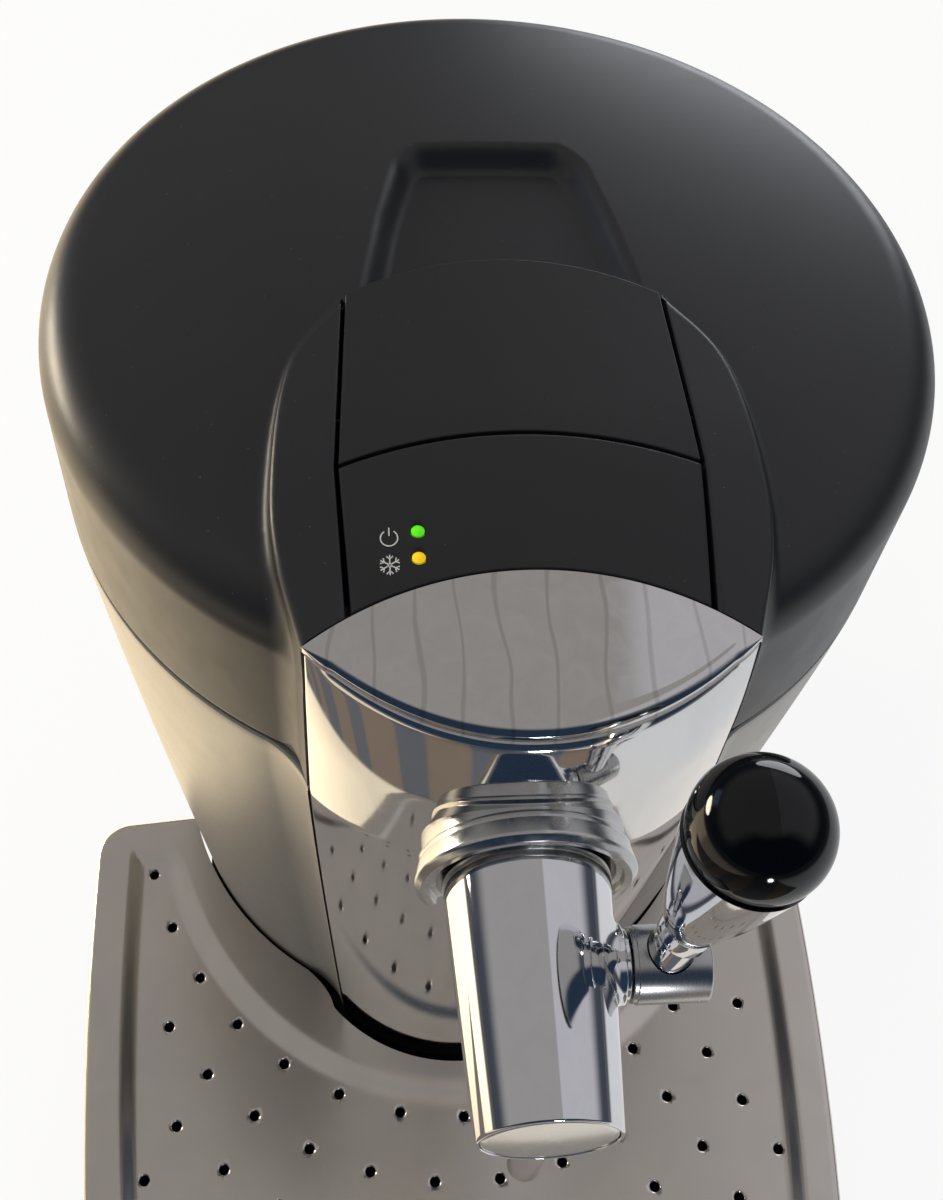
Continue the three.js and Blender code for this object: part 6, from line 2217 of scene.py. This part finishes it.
@dataclass(frozen=True)
class DripPlate:
    """The pressed perforated plate: a sunken field inside a raised border, with a rolled rim.

    Its top is a grid of rays from a point on its rear line: columns run to points of the outer
    edge, rows from the machine's foot outwards. The height falls from the border to the field
    over a smooth step, measured from the edge and from an ellipse round the machine.
    """

    skirt_depth: float = 9.0
    rim_radius: float = 2.6
    thickness: float = 1.4
    rows: int = 84
    columns: int = 300

    half_width: float = 161.5
    widest_y: float = -70.0
    bulge: float = 2500.0
    side_end_y: float = -256.0
    front_y: float = -318.0
    front_bow: float = 7.0
    front_end_x: float = 84.0
    rear_y: float = -27.0
    rear_corner: float = 16.0
    front_corner: float = 46.0
    field_z: float = 40.0
    band_rise: float = 2.6
    band_width: float = 14.5
    band_slope: float = 6.5
    land_half: Span = (127.5, 150.0)
    land_slope: float = 11.0
    field_corner: float = 9.0
    body_gap: float = 1.6
    edge_points: int = 240
    halvings: int = 40
    skirt_middle_z: float = 36.0
    tower_gap: float = 4.2

    hole_radius: float = 2.0
    hole_lip: float = 2.7
    hole_rows: int = 8
    first_row: float = 15.0
    row_pitch: Span = (20.0, 26.0)
    hole_pitch: float = 27.0
    hole_margin: float = 24.0

    def side_half(self, y: Array) -> Array:
        """Half the plate's width at a depth."""
        return self.half_width - np.maximum(0, self.widest_y - y) ** 2 / self.bulge

    def half_outline(self) -> Array:
        """The right half of the outer edge, from the rear line to the middle of the front.

        Returns:
            The outline's points in plan.
        """
        front_y = self.front_y + self.front_bow
        half = float(self.side_half(np.array(front_y)))
        side_y = np.linspace(self.widest_y, self.side_end_y, 12)
        side = [(float(self.side_half(y)), float(y), 0.0) for y in side_y]
        front = [(float(x), self.front_y + self.front_bow * (x / half) ** 2, 0.0)
                 for x in np.linspace(self.front_end_x, 0, 12)]
        corners = [(self.half_width - self.rear_corner - 20, self.rear_y, 0.0),
                   (self.half_width, self.rear_y, self.rear_corner), *side,
                   (half, front_y, self.front_corner), *front]
        line = rounded_path(corners, 18)
        return line[line[:, 0] <= self.half_width][1:]

    def outline(self, count: int) -> Array:
        """The outer edge from its right rear corner round the front to the left rear one.

        Args:
            count: how many points it has.

        Returns:
            The outline's points in plan.
        """
        right = self.half_outline()
        left = right[::-1][1:] * [-1, 1]
        return along_line(np.vstack([right, left]), count)

    def foot_line(self, line: Array) -> Array:
        """Where the plate stops at the machine's foot, on the way from each edge point inwards.

        Args:
            line: the edge points.

        Returns:
            One point for each edge point.
        """
        centre = np.array([0.0, self.rear_y])
        way = centre - line
        reach = np.linalg.norm(way, axis=1, keepdims=True)
        way = way / reach
        near, far = np.zeros(len(line)), reach[:, 0].copy()
        scale = float(DRUM.draw_in(self.field_z))
        for _ in range(self.halvings):
            middle = (near + far) / 2
            spot = line + way * middle[:, None]
            inside = self.foot_distance(spot[:, 0], spot[:, 1], scale) < 0
            far = np.where(inside, middle, far)
            near = np.where(inside, near, middle)
        return line + way * near[:, None]

    def foot_distance(self, x: Array, y: Array, scale: float) -> Array:
        """Distance from the gap line round the foot: the drum's circle joined to the tower's plan.

        Args:
            x: places across.
            y: places along Y.
            scale: share of the full plan at that height.

        Returns:
            The distance of each point, negative within.
        """
        drum = np.hypot(x, y) - DRUM.top_radius * scale - self.body_gap
        share = np.linspace(-1, 1, 41)
        front = TOWER.front(np.zeros(41), scale, share)[:, :2]
        side = TOWER.side(TOWER.roll_start_z, 10) * scale
        left = side[::-1] * [-1, 1]
        plan = np.vstack([front, side[1:], left[:-1]])
        tower = -inside_distance(x, y, plan) - self.tower_gap
        return round_union(drum, tower, FILLET)

    def height(self, x: Array, y: Array) -> Array:
        """Height of the plate's top: the border's, less a smooth step down to the field.

        Args:
            x: places across.
            y: places along Y.

        Returns:
            The height of each point.
        """
        edge = inside_distance(x, y, self.outline(self.edge_points)) - self.band_width
        a, b = self.land_half
        size = np.hypot(x / a, y / b)
        land = (size - 1) * size / np.maximum(np.hypot(x / a ** 2, y / b ** 2), 1e-9)
        inside = -round_overlap(-edge, -land, self.field_corner)
        edge_share = np.abs(land) / np.maximum(np.abs(edge) + np.abs(land), 1e-9)
        slope = self.land_slope + (self.band_slope - self.land_slope) * edge_share
        return self.field_z + self.band_rise * (1 - smooth_step(inside / slope))

    def build(self) -> None:
        """Meshes the plate, gives it its thickness and cuts its holes."""
        edge = self.outline(self.columns)
        foot = self.foot_line(edge)
        normal = self.outward(edge)
        rim_start = edge - normal * self.rim_radius
        share = np.linspace(0, 1, self.rows)[:, None, None]
        plan = foot[None] * (1 - share) + rim_start[None] * share
        top = np.concatenate([plan, self.height(plan[..., 0], plan[..., 1])[..., None]], axis=-1)
        rows = [top]
        crest = self.field_z + self.band_rise
        low = self.field_z - self.skirt_depth
        for angle in np.radians([18, 36, 54, 72, 90]):
            spot = rim_start + normal * self.rim_radius * math.sin(angle)
            z = np.full((len(edge), 1), crest - self.rim_radius * (1 - math.cos(angle)))
            rows.append(np.concatenate([spot, z], axis=-1)[None])
        for z in (self.skirt_middle_z, low):
            rows.append(np.concatenate([edge, np.full((len(edge), 1), z)], axis=-1)[None])
        grid = np.concatenate(rows)
        skirts = [self.rear_skirt(grid[:self.rows, column]) for column in (0, -1)]
        columns = np.concatenate([skirts[0][:, ::-1], grid[:self.rows], skirts[1]], axis=1)
        below = grid[self.rows - 1:]
        points = np.concatenate([columns.reshape(-1, 3), below.reshape(-1, 3)])
        faces = [grid_faces(*columns.shape[:2]),
                 grid_faces(*below.shape[:2], columns.shape[0] * columns.shape[1])]
        plate = mesh_object("drip_plate", points, faces, sharp=50.0)
        self.face_up(plate)
        wall = plate.modifiers.new("sheet", "SOLIDIFY")
        wall.thickness = self.thickness * MM
        wall.offset = -1
        applied(plate, 50.0)
        carved(plate, self.holes(), sharp=42.0)
        dressed(plate, SHEET_STEEL, "drip_grid", "drip_grid")

    def outward(self, line: Array) -> Array:
        """Outward plan normals of the outer edge.

        Args:
            line: the edge's points.

        Returns:
            A unit vector for each point.
        """
        way = np.gradient(line, axis=0)
        normal = np.stack([-way[:, 1], way[:, 0]], axis=-1)
        normal /= np.linalg.norm(normal, axis=1, keepdims=True)
        if normal[len(normal) // 2, 1] > 0:
            normal = -normal
        return normal

    def rear_skirt(self, row: Array) -> Array:
        """Columns that turn the plate's rear border down, beside its first or last column.

        Args:
            row: the points of that column.

        Returns:
            Four new columns of points.
        """
        columns = []
        for angle in np.radians([30, 60, 90]):
            moved = row.copy()
            moved[:, 1] += self.rim_radius * math.sin(angle)
            moved[:, 2] -= self.rim_radius * (1 - math.cos(angle))
            columns.append(moved)
        last = columns[-1].copy()
        last[:, 2] = self.field_z - self.skirt_depth
        columns.append(last)
        return np.stack(columns, axis=1)

    def face_up(self, plate: bpy.types.Object) -> None:
        """Turns the open sheet's faces upwards, so that its thickness grows below it.

        Args:
            plate: the sheet, which is changed.
        """
        work = bmesh.new()
        work.from_mesh(plate.data)
        total = sum(face.normal.z * face.calc_area() for face in work.faces)
        if total < 0:
            bmesh.ops.reverse_faces(work, faces=work.faces)
        work.to_mesh(plate.data)
        work.free()

    def hole_places(self) -> Array:
        """Holes in rows on growing ellipses round the machine, each row starting half a pitch on.

        Returns:
            The holes' places in plan.
        """
        outline = self.outline(self.edge_points)
        places = []
        for row in range(self.hole_rows):
            a = self.land_half[0] + self.first_row + row * self.row_pitch[0]
            b = self.land_half[1] + self.first_row + row * self.row_pitch[1]
            angle = np.linspace(-math.pi / 2, 0, 721)
            line = np.stack([a * np.cos(angle), b * np.sin(angle)], axis=-1)
            walked = np.concatenate([[0], np.cumsum(np.linalg.norm(np.diff(line, axis=0), axis=1))])
            start = 0.0 if row % 2 == 0 else self.hole_pitch / 2
            at = np.arange(start, walked[-1], self.hole_pitch)
            spots = np.stack([np.interp(at, walked, line[:, k]) for k in (0, 1)], axis=-1)
            inside = inside_distance(spots[:, 0], spots[:, 1], outline) > self.hole_margin
            spots = spots[inside & (spots[:, 1] < self.rear_y - self.hole_margin)]
            places.append(spots)
            places.append(spots[spots[:, 0] > self.hole_radius] * [-1, 1])
        return np.vstack(places)

    def holes(self) -> bpy.types.Object:
        """All the holes as one cutter: a pin with a flared mouth at each place.

        Returns:
            The cutter.
        """
        profile = np.array([[0, -6], [self.hole_radius, -6], [self.hole_radius, -0.75],
                            [self.hole_radius + 0.2, -0.35], [self.hole_lip, 0.02],
                            [self.hole_lip, 3], [0, 3]])
        segments = 20
        angle = np.arange(segments) * (2 * math.pi / segments)
        radius = np.repeat(profile[:, :1], segments, axis=1)
        ring = np.stack([radius * np.cos(angle), radius * np.sin(angle),
                         np.repeat(profile[:, 1:], segments, axis=1)], axis=-1)
        places = self.hole_places()
        pins = ring[None] + np.array([0, 0, self.field_z]) + np.concatenate(
            [places, np.zeros((len(places), 1))], axis=-1)[:, None, None]
        count = ring.shape[0] * segments
        single = grid_faces(ring.shape[0], segments, 0, True)
        faces = [single + k * count for k in range(len(places))]
        return mesh_object("plate_holes", pins.reshape(-1, 3), faces)


# What keeps its CAD shape


@dataclass(frozen=True)
class Kept:
    """A CAD node shown as a refined copy of itself."""

    node: str
    name: str
    finish: Finish
    body: str = "machine"
    edge: float = 0.5


KEPT = (
    Kept("foot_rear_left", "rear_left_foot", RUBBER), Kept("foot_rear_right", "rear_right_foot", RUBBER),
    Kept("foot_front_left", "front_left_foot", RUBBER), Kept("foot_front_right", "front_right_foot", RUBBER),
    Kept("base_plate", "base_cover", DARK_PLASTIC, edge=0.6),
    Kept("tower_core", "tower_inner", DARK_PLASTIC, edge=0.4),
    Kept("led_board", "lamp_board", BOARD, edge=0.15),
    Kept("lid_liner", "lid_lining", LINER, "lid", 0.3),
    Kept("lid_gasket", "lid_seal", RUBBER, "lid", 0.3),
    Kept("lid_hinge_leaf", "hinge_leaf", LID_BLACK, "lid", 0.6),
    # The flap pins take the near-black painted gap shade instead of their aluminium colour.
    Kept("flap_pin_right", "right_flap_pin", PIN_PAINTED_GAP_SHADE, "lid", 0.1),
    Kept("flap_pin_left", "left_flap_pin", PIN_PAINTED_GAP_SHADE, "lid", 0.1),
    Kept("hinge_bracket", "hinge_mount", DARK_PLASTIC, edge=0.6),
    Kept("hinge_pin", "hinge_rod", ALUMINIUM, edge=0.3),
    Kept("valve_spool", "sealing_spool", ALUMINIUM, "valve_spool", 0.2),
    Kept("crank_shaft", "lever_crank", ALUMINIUM, "tap_lever", 0.15),
    Kept("drip_pan", "tray_pan", DARK_PLASTIC, "drip_tray", 0.5),
    Kept("keg_well", "well_cup", ALUMINIUM, edge=0.3),
    Kept("insulation_jacket", "foam_jacket", FOAM, edge=0.0),
    Kept("cold_plate", "cooling_plate", ALUMINIUM, edge=0.3),
    Kept("thermoelectric_module", "cooling_module", CERAMIC, edge=0.1),
    Kept("heat_sink", "finned_sink", ALUMINIUM, edge=0.1),
    Kept("fan_frame", "fan_housing", DARK_PLASTIC, edge=0.3),
    Kept("fan_rotor", "fan_wheel", DARK_PLASTIC, "fan_rotor", 0.2),
    Kept("power_board", "supply_board", BOARD, edge=0.2),
    Kept("rear_grille", "exhaust_grille", DARK_PLASTIC, edge=0.5),
    Kept("service_panel", "socket_panel", DARK_PLASTIC, edge=0.4),
    Kept("power_switch", "rocker_switch", SWITCH_BLACK, "power_rocker", 0.3),
    Kept("power_inlet", "mains_inlet", DARK_PLASTIC, edge=0.2),
)


def keep_cad_pieces() -> None:
    """Builds the refined copies of the nodes that keep their CAD shape."""
    for kept in KEPT:
        dressed(refined(kept.node, kept.name, kept.edge), kept.finish, kept.body, kept.node)


# Studio


@dataclass(frozen=True)
class View:
    """The photograph's camera, in the script's millimetres."""

    place: tuple[float, float, float] = (-51.0, -334.4, 702.0)
    yaw: float = 8.0
    pitch: float = 54.2
    roll: float = 5.6
    lens: float = 45.42
    shift_x: float = 0.0119
    shift_y: float = -0.057

    def build(self) -> None:
        """Places the camera: turned by its yaw, tipped down by its pitch, then rolled."""
        camera = bpy.data.cameras.new("photo_camera")
        camera.lens = self.lens
        camera.sensor_width = 36.0
        camera.sensor_fit = "AUTO"
        camera.shift_x, camera.shift_y = self.shift_x, self.shift_y
        camera.clip_start, camera.clip_end = 0.01, 50
        yaw, pitch, roll = (math.radians(v) for v in (self.yaw, self.pitch, self.roll))
        ahead = Vector((math.sin(yaw) * math.cos(pitch), math.cos(yaw) * math.cos(pitch), -math.sin(pitch)))
        level = Vector((math.cos(yaw), -math.sin(yaw), 0))
        above = level.cross(ahead)
        right = math.cos(roll) * level + math.sin(roll) * above
        up = -math.sin(roll) * level + math.cos(roll) * above
        obj = bpy.data.objects.new("photo_camera", camera)
        obj.matrix_world = Matrix((right, up, -ahead)).transposed().to_4x4()
        obj.location = to_metres(np.array(self.place)).tolist()
        bpy.context.scene.collection.objects.link(obj)
        bpy.context.scene.camera = obj


@dataclass(frozen=True)
class Lamplight:
    """One soft area lamp, in metres from the machine's middle."""

    name: str
    place: tuple[float, float, float]
    size: tuple[float, float]
    power: float
    colour: Colour
    mirrored: bool = True


@dataclass(frozen=True)
class Studio:
    """Floor, sky and lamps.

    The sky is a room seen by reflections: a grey ceiling with a step in its brightness, darker
    walls along the horizon and one bluish window on the left. To reflections only, the floor
    glows with painted light: a painted lit table round the machine, bright and warmer on the
    left with a brighter painted pool of window light at the back left, and painted shade far
    off. In front that painted table ends at a leaning edge, behind which a painted reflection
    of a dark room shows upright blue and brown shapes. Each range below is where a smooth
    change starts and ends: a direction's x, y or z in the sky, and metres on the table.
    """

    lamps: tuple[Lamplight, ...] = (
        Lamplight("window_left", (-1.75, 0.55, 0.85), (0.42, 0.80), 24.0, (1.0, 0.89, 0.70), mirrored=False),
        Lamplight("window_low_left", (-1.7, 0.95, 0.28), (0.8, 0.34), 16.0, (1.0, 0.88, 0.68)),
        Lamplight("window_back_right", (0.95, 1.9, 0.50), (1.5, 0.8), 11.0, (0.92, 0.95, 1.0)),
        Lamplight("lamp_overhead", (-0.5, -0.3, 1.9), (0.9, 0.9), 9.0, (1.0, 0.97, 0.93), mirrored=False),
        Lamplight("front_glint", (0.084, -0.71, 0.259), (0.07, 0.07), 0.45, (0.95, 0.97, 1.0)),
    )
    target: tuple[float, float, float] = (0.0, -0.02, 0.22)
    floor_half: float = 6.0
    floor_colour: Colour = (0.80, 0.79, 0.77)
    ceiling_left: Colour = (0.32, 0.312, 0.308)
    ceiling_right: Colour = (0.47, 0.47, 0.50)
    wall_shade: Colour = (0.055, 0.062, 0.078)
    window_shade: Colour = (0.42, 0.60, 0.95)
    # The dark room in front: it colours the sky, and is also painted into the floor's reflections as painted
    # shade.
    front_cold: Colour = (0.020, 0.036, 0.064)
    front_warm: Colour = (0.125, 0.078, 0.048)
    # Painted light: these colours are the floor's painted reflection of a lit table, warm window light on the
    # left, a brighter pool at the back left, painted shade far off.
    painted_table_light_left: Colour = (0.88, 0.76, 0.56)
    painted_table_light_back_left: Colour = (2.1, 1.70, 1.14)
    painted_table_light_right: Colour = (0.70, 0.72, 0.75)
    painted_table_shade_far: Colour = (0.07, 0.075, 0.09)
    table_reach: Span = (1.3, 2.4)
    dark_edge_y: float = -0.30
    dark_edge_lean: float = 0.6
    dark_half: Span = (-0.62, 0.42)
    edge_softness: float = 0.02
    ceiling_step_x: Span = (0.24, 0.27)
    ceiling_start_z: Span = (0.10, 0.42)
    window_ranges: Ranges = (("X", (-0.62, -0.70)), ("X", (-0.90, -0.84)), ("Y", (0.1, 0.2)),
                             ("Z", (0.26, 0.20)), ("Z", (0.02, 0.06)))
    front_ranges: Ranges = (("Y", (-0.30, -0.62)), ("Z", (0.92, 0.72)))
    floor_roughness: float = 0.7
    floor_seen: float = 0.9
    painted_reflection_share: float = 0.85
    table_back_y: Span = (-0.16, 0.02)
    table_right_x: Span = (-0.25, 0.35)
    band_scale: float = 0.5
    band_bend: float = 3.0
    band_detail: float = 1.5
    band_edge: Span = (0.45, 0.6)

    def build(self) -> None:
        """Builds everything round the machine."""
        self.sky()
        self.floor()
        for lamp in self.lamps:
            self.lamp(lamp)
        View().build()
        bpy.context.scene.view_settings.view_transform = "Standard"

    def lamp(self, lamp: Lamplight) -> None:
        """Adds one area lamp that looks at the machine.

        Args:
            lamp: the lamp.
        """
        light = bpy.data.lights.new(lamp.name, "AREA")
        light.shape = "ELLIPSE"
        light.size, light.size_y = lamp.size
        light.energy = lamp.power
        light.color = lamp.colour
        obj = bpy.data.objects.new(lamp.name, light)
        way = Vector(self.target) - Vector(lamp.place)
        obj.matrix_world = way.to_track_quat("-Z", "Y").to_matrix().to_4x4()
        obj.location = lamp.place
        obj.visible_glossy = lamp.mirrored
        bpy.context.scene.collection.objects.link(obj)

    def region(self, graph: Graph, vector: Socket, ranges: Ranges) -> Socket:
        """1 where a vector lies within all the ranges and 0 outside."""
        parts = dict(zip("XYZ", graph.split(vector)))
        return graph.product(*(graph.ramp(parts[axis], low, high) for axis, (low, high) in ranges))

    def sky(self) -> None:
        """Colours the room by direction: up for the ceiling, and sideways for window and front."""
        world = bpy.data.worlds.new("room")
        world.use_nodes = True
        bpy.context.scene.world = world
        graph = Graph(world.node_tree)
        way = graph.nodes.new("ShaderNodeTexCoord").outputs["Generated"]
        x, _, z = graph.split(way)
        ceiling = graph.blend(graph.ramp(x, *self.ceiling_step_x), self.ceiling_left, self.ceiling_right)
        room = graph.blend(graph.ramp(z, *self.ceiling_start_z), self.wall_shade, ceiling)
        room = graph.blend(self.region(graph, way, self.window_ranges), room, self.window_shade)
        room = graph.blend(self.region(graph, way, self.front_ranges), room, self.front_cold)
        graph.links.new(room, graph.nodes["Background"].inputs["Color"])

    def floor(self) -> None:
        """A pale floor: white to the camera with the machine's shadow, and a painted lit table to
        reflections.
        """
        half = self.floor_half
        mesh = bpy.data.meshes.new("studio_floor")
        mesh.from_pydata([(-half, -half, 0), (half, -half, 0), (half, half, 0), (-half, half, 0)], [],
                         [(0, 1, 2, 3)])
        floor = bpy.data.objects.new("studio_floor", mesh)
        bpy.context.scene.collection.objects.link(floor)
        material = bpy.data.materials.new("pale_floor")
        material.use_nodes = True
        graph = Graph(material.node_tree)
        surface, output = graph.nodes["Principled BSDF"], graph.nodes["Material Output"]
        surface.inputs["Base Color"].default_value = (*self.floor_colour, 1)
        surface.inputs["Roughness"].default_value = self.floor_roughness
        path = graph.nodes.new("ShaderNodeLightPath").outputs
        seen = self.glowing(graph, surface.outputs["BSDF"],
                            graph.product(path["Is Camera Ray"], self.floor_seen), (1.0, 1.0, 1.0))
        # Painted reflection: to glossy rays the floor glows with the painted lit table and the painted dark
        # room.
        mirrored = self.glowing(graph, seen, graph.product(path["Is Glossy Ray"], self.painted_reflection_share),
                                self.painted_table_reflection(graph))
        graph.links.new(mirrored, output.inputs["Surface"])
        mesh.materials.append(material)

    def painted_table_reflection(self, graph: Graph) -> Socket:
        """Painted reflection of a lit table: painted warm light on the left, painted shade far off and in
        front.

        Args:
            graph: the node tree to add to.

        Returns:
            The colour's output.
        """
        place = graph.nodes.new("ShaderNodeTexCoord").outputs["Object"]
        x, y, _ = graph.split(place)
        distance = graph.nodes.new("ShaderNodeVectorMath")
        distance.operation = "LENGTH"
        graph.links.new(place, distance.inputs[0])
        left = graph.blend(graph.ramp(y, *self.table_back_y), self.painted_table_light_left, self.painted_table_light_back_left)
        table = graph.blend(graph.ramp(x, *self.table_right_x), left, self.painted_table_light_right)
        far = graph.ramp(distance.outputs["Value"], *self.table_reach)
        table = graph.blend(far, table, self.painted_table_shade_far)
        return graph.blend(self.painted_dark_room_mask(graph, x, y), table, self.painted_front_room_reflection(graph, x, y))

    def painted_dark_room_mask(self, graph: Graph, x: Socket, y: Socket) -> Socket:
        """Where the painted reflection of a dark room in front of the painted table begins: 1 there and 0 on
        the table.

        The table's edge is a line on which y and a share of x add up to one value, so it
        comes nearer on the left.

        Args:
            graph: the node tree to add to.
            x: output of the place across.
            y: output of the place along Y.

        Returns:
            The value's output.
        """
        soft = self.edge_softness
        leaning = graph.math("MULTIPLY_ADD", x, self.dark_edge_lean, y)
        ahead = graph.ramp(leaning, self.dark_edge_y, self.dark_edge_y - soft)
        left, right = self.dark_half
        return graph.product(ahead, graph.ramp(x, left, left + soft), graph.ramp(x, right, right - soft))

    def painted_front_room_reflection(self, graph: Graph, x: Socket, y: Socket) -> Socket:
        """Painted reflection of upright dark blue and brown shapes, as furniture in a dim room: bands over x
        divided by y.

        Args:
            graph: the node tree to add to.
            x: output of the place across.
            y: output of the place along Y.

        Returns:
            The colour's output.
        """
        wave = graph.nodes.new("ShaderNodeTexWave")
        wave.inputs["Scale"].default_value = self.band_scale
        wave.inputs["Distortion"].default_value = self.band_bend
        wave.inputs["Detail Scale"].default_value = self.band_detail
        graph.links.new(graph.math("DIVIDE", x, y), wave.inputs["Vector"])
        return graph.blend(graph.ramp(wave.outputs["Fac"], *self.band_edge), self.front_cold, self.front_warm)

    def glowing(self, graph: Graph, base: Socket, share: Socket, colour: Colour | Socket) -> Socket:
        """Lets a surface glow in a colour, by a share that may differ from ray to ray.

        Args:
            graph: the node tree to add to.
            base: the surface's own shader.
            share: how much of the glow is taken.
            colour: the glow's colour.

        Returns:
            The mixed shader's output.
        """
        emission = graph.nodes.new("ShaderNodeEmission")
        graph.feed(emission.inputs["Color"], colour)
        mix = graph.nodes.new("ShaderNodeMixShader")
        graph.links.new(share, mix.inputs["Fac"])
        graph.links.new(base, mix.inputs[1])
        graph.links.new(emission.outputs["Emission"], mix.inputs[2])
        return mix.outputs["Shader"]


def main() -> None:
    """Builds every sub-assembly in order and reports its pieces."""
    LidShell().build()
    HeadPanels().build()
    Body().build()
    Tap().build()
    Lever().build()
    DripPlate().build()
    keep_cad_pieces()
    Studio().build()


if __name__ == "__main__":
    logging.basicConfig(level=logging.INFO, format="%(message)s")
    main()
